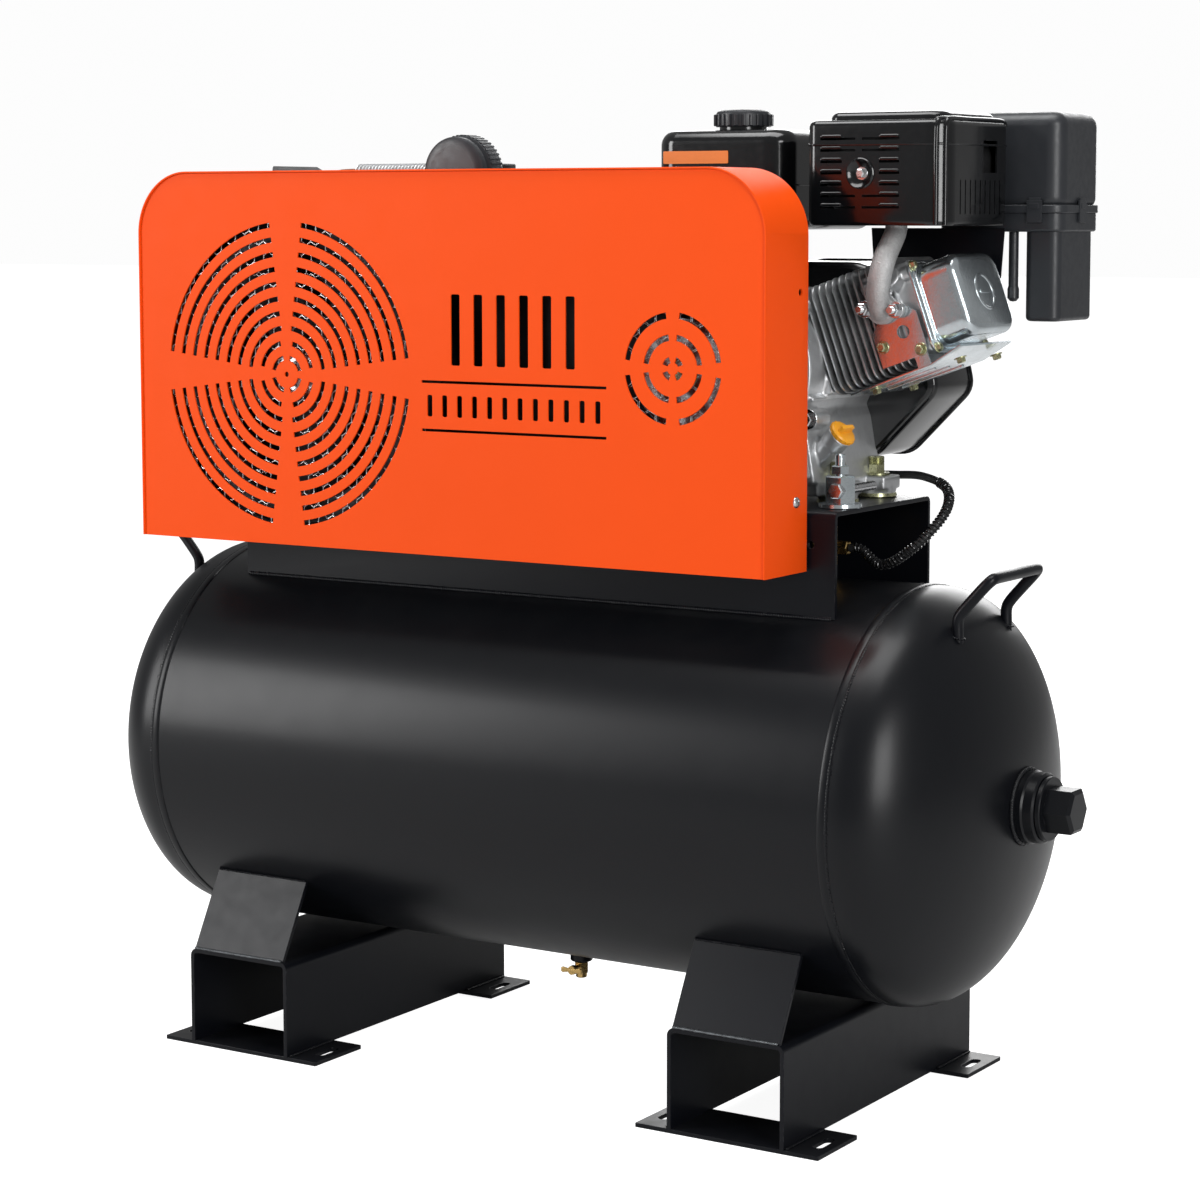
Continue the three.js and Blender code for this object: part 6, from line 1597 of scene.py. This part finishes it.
def pump_head(name, frame, half, half_y, top, fins=11):
    start = 190.3
    base = shifted(prism(rounded_rectangle(-half, half, -half_y, half_y, 9), 36, soft=2, rounds=3), 0, 0, start)
    crown = shifted(prism(rounded_rectangle(-half + 7, half - 7, -half_y + 5, half_y - 5, 8), top - start - 40,
                          soft=3), 0, 0, start + 33)
    body = together(base, crown)
    fused(f"{name}_casting", moved(body, frame), "pump_iron", voxel=1.7, passes=3,
          replaces=[f"pump_{name}"])
    step = (2 * half - 4) / (fins - 1)
    low, high = start + 20, top
    outline = [(-half_y, low), (half_y, low), (half_y, high - 12), (half_y - 12, high),
               (-half_y + 12, high), (-half_y, high - 12)]
    fin = moved(prism(outline, 3.2, soft=0.9), axes((0, 1, 0), (0, 0, 1), (1, 0, 0), (-half + 0.4, 0, 0)))
    row_of(f"{name}_fins", moved(fin, frame), "pump_iron", fins, frame.to_3x3() @ Vector((step, 0, 0)))
    places = []
    for x in (-half * 0.66, half * 0.66):
        for y in (-half_y + 13, half_y - 13):
            seat = start + 35
            places.append((frame @ Vector((x, y, seat)), frame.to_3x3() @ Vector((0, 0, 1))))
    aimed_at(f"{name}_bolts", bolt(13, 9, washer=10, washer_depth=1.6), "bright_steel", places)


def make_filter():
    node = Place("inlet_filter")
    x, z = PUMP.x + 163, PUMP.z + 227
    profile = [(0, 0), (30, 0), (37, 0.8), (40.4, 3), (41, 5), (41, 10), (38, 12), (37, 13.5), (38, 15),
               (42, 16.6), (43, 18.5), (43, 36), (41.6, 40), (38, 42), (0, 42)]
    body = moved(lathe(profile, 120), facing((0, 1, 0), (x, node.y0, z)))
    neck = moved(lathe([(0, 0), (14, 0), (14, 9), (16, 10), (16, 13), (12.6, 13), (0, 13)], 48),
                 facing((0, 1, 0), on_pump(148, -72, 205)))
    put("filter_case", together(body, neck), "black_plastic", replaces=["inlet_filter"])
    rib = shifted(block(-1.3, 1.3, 0, 22, 42.2, 43.6, soft=0.5), x, node.y0 + 17, z)
    ring_of("filter_ribs", rib, "black_plastic", 48, (x, 0, z), (0, 1, 0))


def make_cooler():
    a, b, top, y = (111.5, 12, 210.9), (-114.3, 12, 208.1), 226, 12
    path = smooth_path([a, (a[0] - 10, y, a[2] + 9), (a[0] - 30, y, top), (0, y, top), (b[0] + 30, y, top),
                        (b[0] + 10, y, b[2] + 9), b], 4)
    pipe = tube([Vector(on_pump(*p)) for p in path], 8.6, 28)
    put("intercooler_pipe", pipe, "copper_pipe", replaces=["intercooler"])
    disc = [(8.4, 0), (14.6, 0.2), (15, 0.7), (14.6, 1.2), (8.4, 1.4), (8.4, 0)]
    fin = moved(lathe(disc, 40), facing((1, 0, 0), on_pump(-56, y, top)))
    row_of("intercooler_fins", fin, "cast_aluminium", 24, (4.8, 0, 0))
    for i, (end, way) in enumerate(((a, (1, 0, -1)), (b, (-1, 0, -1)))):
        nut = hexagon(24, 13, 1.2)
        way = Vector(way).normalized()
        at = Vector(on_pump(*end)) - way * 12.4
        put(f"intercooler_nut_{i + 1}", moved(nut, facing(way, at)), "brass")

    points = [(-178, 54.9, 150), (-178, 68, 150), (-196, 92, 140), (-204, 96, 100), (-204, 90, 20),
              (-190, 76, -70), (-161, 52, -116.7), (-161, 52, -156.4)]
    pipe = tube([Vector(on_pump(*p)) for p in smooth_path(points, 5)], 7.8, 28)
    put("delivery_tube", pipe, "copper_pipe", replaces=["delivery_pipe"])
    for i, (at, way) in enumerate((((-178, 55.0, 150), (0, 1, 0)), ((-161, 52, -156.2), (0, 0, 1)))):
        put(f"delivery_nut_{i + 1}", moved(hexagon(23, 12, 1.2), facing(way, on_pump(*at))), "brass")
    valve = Place("check_valve")
    base = valve.z0 + 10.3
    bodies = [shifted(hexagon(27, 15, 1.2), 0, 0, base),
              shifted(lathe([(0, 0), (10, 0), (10, 33), (0, 33)], 40), 0, 0, base + 8),
              shifted(hexagon(25, 13.6, 1.2), 0, 0, base + 38),
              shifted(lathe([(0, 0), (6.6, 0.8), (6.6, 11), (0, 11)], 32), 0, 0, base - 10)]
    body = shifted(together(*bodies), valve.x, valve.y, 0)
    put("check_valve_body", body, "brass", replaces=["check_valve"])


# ---------- belt drive ----------
def sheave(radius, inner, y0, width):
    wall, depth = 8.6, 13
    profile = [(inner, 0), (radius - 1.5, 0), (radius, 1)]
    for centre in (12.5, width - 12.5):
        profile += [(radius, centre - wall), (radius - depth, centre - 5), (radius - depth, centre + 5),
                    (radius, centre + wall)]
    profile += [(radius, width - 1), (radius - 1.5, width), (inner, width), (inner, 0)]
    return y_disc([(r, y0 + along) for r, along in profile], 0, 0, 144)


def make_wheels():
    radius, front, width = 172.0, -186.0, 44.0
    rim = sheave(radius, radius - 26, front, width)
    hub = y_disc([(20.5, front + 2), (33, front + 2), (36, front + 5), (36, front + width + 2),
                  (33, front + width + 4), (20.5, front + width + 4), (20.5, front + 2)], 0, 0, 72)
    bodies = [rim, hub]
    for i in range(5):
        spoke = prism(rounded_rectangle(-20, 20, -5, 5, 4.9, 6), radius - 22 - 30, soft=0)
        spoke = moved(spoke, axes((0, 0, 1), (0, -1, 0), (1, 0, 0)) @ Matrix.Rotation(math.radians(28), 4, "Z"))
        spoke = shifted(spoke, 30, front + width / 2, 0)
        bodies.append(moved(spoke, Matrix.Rotation(math.radians(72 * i + 20), 4, "Y")))
    fused("flywheel_casting", moved(together(*bodies), PUMP_FRAME), "pump_iron", voxel=2.4, passes=2,
          body="pump_rotor", replaces=["flywheel"])
    cap = y_disc([(0, front - 2), (26, front - 2), (28, front), (28, front + 3), (0, front + 3)], 0, 0, 64)
    put("flywheel_washer", moved(cap, PUMP_FRAME), "bright_steel", body="pump_rotor")
    put("flywheel_bolt", moved(bolt(24, 13), facing((0, -1, 0), on_pump(0, front - 2, 0))), "bright_steel",
        body="pump_rotor")

    small = sheave(60, 30, front, width)
    boss = y_disc([(12.8, front + 2), (29, front + 2), (31, front + 4), (31, front + width + 4), (12.8, front + width + 4),
                   (12.8, front + 2)], 0, 0, 72)
    put("drive_pulley", moved(together(small, boss), ENGINE_FRAME), "bright_steel", body="engine_rotor",
        replaces=["engine_pulley"])
    put("pulley_bolt", moved(bolt(16, 9, washer=17, washer_depth=2.6), facing((0, -1, 0), on_engine(0, front + 1.8, 0))),
        "gold_zinc", body="engine_rotor")


def belt_path(wheel, pulley, count=96):
    across = Vector((ENGINE.x - PUMP.x, ENGINE.z - PUMP.z))
    heading = math.atan2(across.y, across.x)
    wrap = math.acos((wheel - pulley) / across.length)
    points = []
    for i in range(count + 1):
        a = heading + wrap + (2 * math.pi - 2 * wrap) * i / count
        points.append((wheel * math.cos(a), wheel * math.sin(a)))
    for i in range(count // 2 + 1):
        a = heading - wrap + 2 * wrap * i / (count // 2)
        points.append((across.x + pulley * math.cos(a), across.y + pulley * math.sin(a)))
    return points


def make_belt():
    bodies = []
    for rise, drop, y0, y1 in ((7.0, 4.9, -183, -145), (5.4, -4.6, -178.1, -168.9), (5.4, -4.6, -159.1, -149.9)):
        loop = prism(belt_path(172 + rise, 60 + rise), y1 - y0, holes=[belt_path(172 + drop, 60 + drop)], soft=0.6)
        bodies.append(moved(loop, axes(*STAND_XZ, (0, y1, 0))))
    put("belt_loop", moved(together(*bodies), PUMP_FRAME), "belt_rubber", replaces=["drive_belt"])


make_pump_case()
pump_cylinder("cylinder_low", LOW_FRAME, 41, 64)
pump_cylinder("cylinder_high", HIGH_FRAME, 27, 52)
pump_head("head_low", LOW_FRAME, 70, 60, 270)
pump_head("head_high", HIGH_FRAME, 66, 54, 272)
make_filter()
make_cooler()
make_wheels()
make_belt()


# ---------- fittings ----------
def make_hold_down():
    feet = [(on_engine(x, y, -120.8), (0, 0, 1)) for x in (-96, 96) for y in (-17, 74)]
    aimed_at("engine_foot_bolts", bolt(17, 10, washer=15, washer_depth=2.6, stud=9, nut=10), "gold_zinc", feet)
    discs = [(on_engine(x, y, -144.4), (0, 0, 1)) for x in (-96, 96) for y in (-17, 74)]
    ring = lathe([(7, 0), (22.4, 0), (23, 0.6), (22.4, 4.2), (7, 4.2), (7, 0)], 56)
    aimed_at("engine_foot_washers", ring, "gold_zinc", discs)
    post = together(lathe([(0, 0), (23, 0), (23.6, 0.7), (23, 4.4), (0, 4.4)], 56), shifted(hexagon(31, 30, 1.6), 0, 0, 4.4),
                    shifted(lathe([(0, 30), (5.4, 30), (5.4, 56), (4.4, 57.4), (0, 57.4)], 32), 0, 0, 0),
                    shifted(hexagon(18, 9, 1), 0, 0, 36))
    put("belt_stop_post", shifted(post, *on_engine(124, -64, -144.6)), "zinc_sheet")
    rod = moved(lathe([(0, 0), (5, 0.6), (5, 66), (0, 66.8)], 32), facing((0, 1, 0), on_engine(128, -62, -126)))
    head = moved(hexagon(16, 9, 1), facing((0, -1, 0), on_engine(128, -75, -126)))
    put("belt_stop_bolt", together(rod, head), "bright_steel")


def make_cable():
    shift_x, shift_y = ENGINE.x - 253, AXIS_Y
    points = [(349.2, 12, 612.7), (363.2, 12, 612.7), (392, 8, 597), (434, 6, 622), (455, 30, 655), (440, 66, 678),
              (398, 92, 688), (350, 116, 686), (300, 146, 682), (250, 160, 681), (190, 158, 683), (148, 146, 702),
              (133, 134, 750), (133, 134, 773.4)]
    path = smooth_path([(x + shift_x, y + shift_y, z) for x, y, z in points], 4)
    put("cable_sheath", tube(path, 4.6, 24), "grip_rubber", replaces=["throttle_cable"])
    coil = []
    turns = 46
    lengths = [0.0]
    for a, b in zip(path, path[1:]):
        lengths.append(lengths[-1] + (b - a).length)
    reach = 205.0
    samples = turns * 12
    for i in range(samples + 1):
        at = reach * i / samples + 8
        k = next(n for n, value in enumerate(lengths) if value >= at)
        share = (at - lengths[k - 1]) / (lengths[k] - lengths[k - 1])
        spot = path[k - 1].lerp(path[k], share)
        way = (path[k] - path[k - 1]).normalized()
        side = way.cross(Vector((0, 1, 0.2))).normalized()
        up = way.cross(side)
        angle = 2 * math.pi * turns * i / samples
        coil.append(spot + 5.0 * (side * math.cos(angle) + up * math.sin(angle)))
    put("cable_spring", tube(coil, 1.1, 8), "engine_paint")


def make_manifold():
    node = Place("outlet_manifold")
    y = node.y
    low, high = 543.0, 567.0
    bar_body = block(30.5, 210.5, y - 13, y + 13, low, high, soft=1.6)
    foot = [shifted(hexagon(26, 15, 1), 120.5, y, 529.2), shifted(lathe([(0, 0), (7, 0), (7, 16), (0, 16)], 32), 120.5, y, 528.4)]
    for x in (-20, 20):
        foot.append(moved(hexagon(20, 4, 1), facing((0, 1, 0), (120.5 + x * 2, y + 12.5, 555))))
    outlet = [moved(hexagon(25, 30, 1.2), facing((1, 0, 0), (208.5, y, 554.9))),
              moved(lathe([(6, 0), (12.6, 0), (13.4, 1), (13.4, 14), (12.2, 16), (12.2, 18), (6, 18), (6, 0)], 48),
                    facing((1, 0, 0), (238, y, 554.9))),
              shifted(lathe([(0, 0), (7, 0), (6, 3), (6, 19.8), (0, 19.8)], 32), 234.5, y, 555)]
    put("manifold_block", together(bar_body, *foot, *outlet), "brass", replaces=["outlet_manifold"])
    lever = together(
        shifted(lathe([(0, 0), (8, 0), (8, 3), (6, 4), (0, 4)], 40), 234.5, y, 575.3),
        block(231, 308, y - 6, y + 6, 576.2, 578.9, soft=1.1),
        block(262, 308.5, y - 7.4, y + 7.4, 576.0, 579.2, soft=1.4),
    )
    put("valve_lever", lever, "red_grip", body="outlet_lever", replaces=["outlet_lever"])
    put("valve_lever_nut", shifted(hexagon(10, 4.6, 0.8), 234.5, y, 579.2), "bright_steel", body="outlet_lever")


def make_gauge():
    node = Place("gauge_body")
    x, z, face = 58.5, 601.2, node.y0 + 12.4
    case = [(0, 0), (22, 0), (26, 1.6), (27, 4), (27, 19.6), (26.4, 21.6), (24.8, 22), (24.2, 21), (24.2, 12.4),
            (0, 12.2)]
    case_body = moved(lathe(case, 96), facing((0, 1, 0), (x, node.y0, z)))
    stem = [shifted(hexagon(14, 12, 0.8), x, node.y0 + 8, 567.4), shifted(lathe([(0, 0), (6, 0), (6, 14), (0, 14)], 32), x, node.y0 + 8, 562)]
    put("gauge_case", case_body, "engine_paint", replaces=["gauge_body"], slot="gauge_case")
    put("gauge_stem", together(*stem), "brass")
    dial = moved(lathe([(0, 0), (24, 0), (24, 0.5), (0, 0.7)], 96), facing((0, 1, 0), (x, face, z)))
    put("gauge_dial", dial, "gauge_case")
    tick = moved(block(-0.5, 0.5, 0, 0.5, 17.6, 22.4, soft=0.1), Matrix.Rotation(math.radians(-135), 4, "Y"))
    tick = shifted(tick, x, face + 0.6, z)
    ring_of("gauge_ticks", tick, "grip_rubber", 10, (x, face, z), (0, 1, 0), turn=300.0)
    pointer = prism([(-1.3, -7), (1.3, -7), (0.5, 19), (-0.5, 19)], 1.1, soft=0.2)
    hub = lathe([(0, -0.6), (3, -0.6), (3, 1.4), (2, 2.2), (0, 2.3)], 40)
    arm = together(moved(pointer, axes(*STAND_XZ, (0, 1.1, 0))), moved(hub, facing((0, 1, 0), (0, 0, 0))))
    arm = moved(arm, Matrix.Rotation(math.radians(135), 4, "Y"))
    put("gauge_pointer", shifted(arm, x, node.y0 + 13.4, z), "red_grip", body="gauge_needle",
        replaces=["gauge_needle"])


def make_valves():
    node = Place("safety_valve")
    x, y = 112.5, node.y
    bodies = [shifted(hexagon(17, 10, 0.8), x, y, 567.4), shifted(lathe([(0, 0), (6, 0), (6, 12), (0, 12)], 32), x, y, 558)]
    barrel = [(2.6, 8), (8, 8), (8, 13), (7, 14), (8, 15), (8, 30), (6.6, 34), (2.8, 34), (2.6, 8)]
    bodies.append(shifted(lathe(barrel, 48), x, y, 567))
    put("safety_valve_body", together(*bodies), "brass", replaces=["safety_valve"])
    ring = []
    for i in range(49):
        a = 2 * math.pi * i / 48
        ring.append(Vector((x + 10.4 * math.cos(a), y, 619.2 + 10.4 * math.sin(a))))
    stem = shifted(lathe([(0, 0), (2.2, 0), (2.2, 20), (0, 20)], 20), x, y, 590)
    put("pull_ring", together(tube(ring, 1.4, 12), stem), "bright_steel", body="safety_ring",
        replaces=["safety_ring"])
    node = Place("pilot_valve")
    x, y, base = 288.5, 11.28, 593.2
    bodies = [shifted(hexagon(27, 12, 1), x, y, base), shifted(lathe([(0, -8), (6.6, -8), (6.6, 4), (0, 4)], 32), x, y, base),
              shifted(lathe([(0, 10), (14, 10), (14, 20), (12.6, 21), (14, 22), (14, 42), (10, 45.7), (0, 45.7)], 48), x, y, base),
              moved(hexagon(14, 20, 0.8), facing((1, 0, 0), (x + 10, y, 612.7)))]
    put("pilot_valve_body", together(*bodies), "brass", replaces=["pilot_valve"])


def make_rear():
    start = 185.4
    rim = y_disc([(64, 1), (91.8, 1), (91.8, 4.4), (64, 4.4), (64, 1)], 0, 0, 120)
    collar = y_disc([(18.4, 39), (24, 39), (25, 44.5), (18.4, 44.5), (18.4, 39)], 0, 0, 64)
    extras = moved(together(shifted(rim, 0, start, 0), shifted(collar, 0, start, 0)), ENGINE_FRAME)
    fused("starter_housing", together(from_node("recoil_housing"), extras), "engine_paint", voxel=1.2,
          passes=3, replaces=["recoil_housing"])
    places = [(on_engine(89 * math.cos(a), start + 3.9, 89 * math.sin(a)), (0, 1, 0))
              for a in (math.radians(90 * i + 45) for i in range(4))]
    aimed_at("starter_bolts", bolt(8, 4.5, washer=6, washer_depth=1), "bright_steel", places)
    bar_shape = [(0, -27.5), (6.4, -27.5), (8.6, -25), (9, -20), (8, -8), (8.4, 0), (8, 8), (9, 20), (8.6, 25), (6.4, 27.5), (0, 27.5)]
    rope = moved(lathe([(0, 0), (2.4, 0), (2.4, 148), (0, 148)], 20), facing((1, 0, 0), (-98, start + 20.9, 44)))
    collar = moved(lathe([(0, 0), (6, 0), (5, 8), (3.4, 10), (0, 10)], 28), facing((1, 0, 0), (-103, start + 20.9, 44)))
    grip = together(shifted(lathe(bar_shape, 56), -106, start + 20.9, 44), collar)
    put("pull_handle", moved(grip, ENGINE_FRAME), "grip_rubber", body="starter_grip", replaces=["starter_grip"])
    put("pull_rope", moved(rope, ENGINE_FRAME), "grip_rubber", body="starter_grip")

    carb_y, port_x, port_z = CYLINDER_Y + 62.3, 158.9, 66.35
    parts = [
        block(port_x - 22, port_x + 22, carb_y, carb_y + 6, port_z - 20, port_z + 20, soft=1.5),
        moved(lathe([(0, 0), (18, 0), (18, 44), (16, 52), (0, 52)], 48), facing((0, 1, 0), (port_x, carb_y, port_z))),
        shifted(lathe([(0, 0), (15, 0), (18, 3), (19, 6), (19, 34), (21, 35), (21, 40), (0, 40)], 56), port_x, carb_y + 26, port_z - 44),
        shifted(lathe([(0, 0), (15, 0), (15, 66), (19, 67), (19, 74), (15, 81), (0, 81)], 48), port_x, carb_y + 40, port_z),
        moved(lathe([(0, 0), (5, 0), (5, 8), (0, 9)], 24), facing((-1, 0, 0), (port_x - 17, carb_y + 26, port_z - 20))),
        shifted(hexagon(11, 6, 0.8), port_x, carb_y + 26, port_z - 49),
    ]
    body = moved(together(*parts), ENGINE_FRAME)
    fused("carburettor_casting", body, "cast_aluminium", voxel=1.1, passes=3, replaces=["carburettor"])

    lever = together(
        moved(lathe([(3.4, 0), (9, 0), (9, 2.6), (3.4, 2.6), (3.4, 0)], 40), facing((1, 0, 0), (-125, 150, 20))),
        block(-124.9, -122.3, 128, 145, 14, 26, soft=0.5),
        block(-124.9, -122.3, 128, 138, 4.4, 46, soft=0.5),
    )
    put("throttle_plate", moved(lever, ENGINE_FRAME), "zinc_sheet", body="throttle_lever",
        replaces=["throttle_lever"])
    nut = moved(hexagon(9, 3, 0.6), facing((-1, 0, 0), on_engine(-125.3, 150, 20)))
    put("throttle_nut", nut, "bright_steel")

    spots = [(-70, -96), (78, -96), (148, -30), (112, 30), (100, 86), (56, 106), (-36, 106), (-78, 80), (-104, 30), (-104, -38)]
    places = [(on_engine(x * 0.985, 186.1, z * 0.985), (0, 1, 0)) for x, z in spots]
    aimed_at("blower_screws", bolt(8, 4, washer=6, washer_depth=1), "bright_steel", places)


def make_blower():
    outline = [(-70, -104), (84, -104), (160, -28), (152, 8), (118, 34), (108, 92), (60, 114), (-40, 114),
               (-84, 84), (-112, 30), (-112, -40), (-96, -84)]
    front, rear = 94.4, 186.0
    soft_outline = [(p.x, p.y) for p in smooth_corners(outline, 14)]
    shell = moved(prism(soft_outline, rear - front, soft=7, rounds=5), axes(*STAND_XZ, (0, rear, 0)))
    lip = moved(prism(inset(turned_to(soft_outline, True), -2.5), 4, soft=1), axes(*STAND_XZ, (0, rear, 0)))
    stays = [block(-100, -88, 120, 170, 50, 149.6, soft=1.5), block(-60, -48, 120, 170, 96, 149.6, soft=1.5)]
    pin = moved(lathe([(0, 0), (2.9, 0), (2.9, 22), (0, 22)], 24), facing((1, 0, 0), (-128, 150, 20)))
    stop = block(-128, -108, 122, 146, -36, -32, soft=0.5)
    body = moved(together(shell, lip, *stays, pin, stop), ENGINE_FRAME)
    blower = put("fan_cover", body, "engine_paint", replaces=["blower_housing"])
    hollow = inset(turned_to(soft_outline, True), 3)
    inside = moved(prism(hollow, rear - front + 2, soft=4), axes(*STAND_XZ, (0, rear - 3, 0)))
    eye = moved(prism(circle(0, 0, 76, 96), 30), axes(*STAND_XZ, (0, rear + 15, 0)))
    carve(blower, moved(inside, ENGINE_FRAME), moved(eye, ENGINE_FRAME))


def smooth_corners(points, radius, steps=5):
    """The outline with each corner turned by a short curve."""
    made = []
    for before, here, after in zip(points[-1:] + points[:-1], points, points[1:] + points[:1]):
        here = Vector(here)
        start = here + (Vector(before) - here).normalized() * radius
        end = here + (Vector(after) - here).normalized() * radius
        for i in range(steps + 1):
            t = i / steps
            made.append(start * (1 - t) ** 2 + here * (2 * t * (1 - t)) + end * t ** 2)
    return made


def dress_nodes():
    """A node material for every body still shown from the mechanical model."""
    finishes = {
        "pump_crankshaft": "bright_steel", "pump_crank_pin": "bright_steel", "engine_crank_front": "bright_steel",
        "pump_piston_low": "cast_aluminium", "pump_piston_high": "cast_aluminium", "engine_piston": "cast_aluminium",
        "fan_flywheel": "cast_aluminium",
    }
    for name, look in finishes.items():
        shown = bpy.data.objects[name]
        shown.data.materials.clear()
        shown.data.materials.append(LOOK[look])


make_hold_down()
make_cable()
make_manifold()
make_gauge()
make_valves()
make_rear()
make_blower()
dress_nodes()


# ---------- studio ----------
def make_floor():
    """A plain pale floor, lit partly from within so that it runs into the background."""
    bm = bmesh.new()
    bmesh.ops.create_grid(bm, x_segments=2, y_segments=2, size=40)
    mesh = bpy.data.meshes.new("floor")
    bm.to_mesh(mesh)
    bm.free()
    floor = bpy.data.objects.new("floor", mesh)
    scene.collection.objects.link(floor)
    material = bpy.data.materials.new("floor")
    material.use_nodes = True
    shader = material.node_tree.nodes["Principled BSDF"]
    shader.inputs["Base Color"].default_value = (0.5, 0.5, 0.5, 1)
    shader.inputs["Roughness"].default_value = 0.7
    shader.inputs["Emission Color"].default_value = (1, 1, 1, 1)
    tree = material.node_tree
    seen = add_node(tree, "ShaderNodeLightPath").outputs["Is Camera Ray"]
    tree.links.new(remap(tree, seen, 0, 1, 0.1, 0.93), shader.inputs["Emission Strength"])
    mesh.materials.append(material)


def make_world():
    """White behind the object, dimmer as a light source."""
    world = bpy.data.worlds.new("studio")
    scene.world = world
    world.use_nodes = True
    tree = world.node_tree
    background = tree.nodes["Background"]
    seen = add_node(tree, "ShaderNodeLightPath").outputs["Is Camera Ray"]
    tree.links.new(remap(tree, seen, 0, 1, 0.28, 0.98), background.inputs["Strength"])
    background.inputs["Color"].default_value = (1, 1, 1, 1)


make_floor()
make_world()
add_softbox("left_front", (-3.6, -3.4, 1.9), (0, 0, 0.5), (1.6, 2.6), 120)
add_softbox("right_front", (3.4, -2.2, 1.6), (0.2, 0, 0.6), (1.2, 2.2), 75)
add_softbox("overhead", (0, -0.4, 3.4), (0, 0, 0), (2.6, 1.6), 80)
add_softbox("behind", (-1.0, 3.8, 2.0), (0, 0, 0.6), (2.8, 2.2), 90)
add_camera((1.8635, -2.9086, 0.9784), 32.1, 6.0, 90.6, (-0.0231, -0.058))
scene.view_settings.view_transform = "Standard"
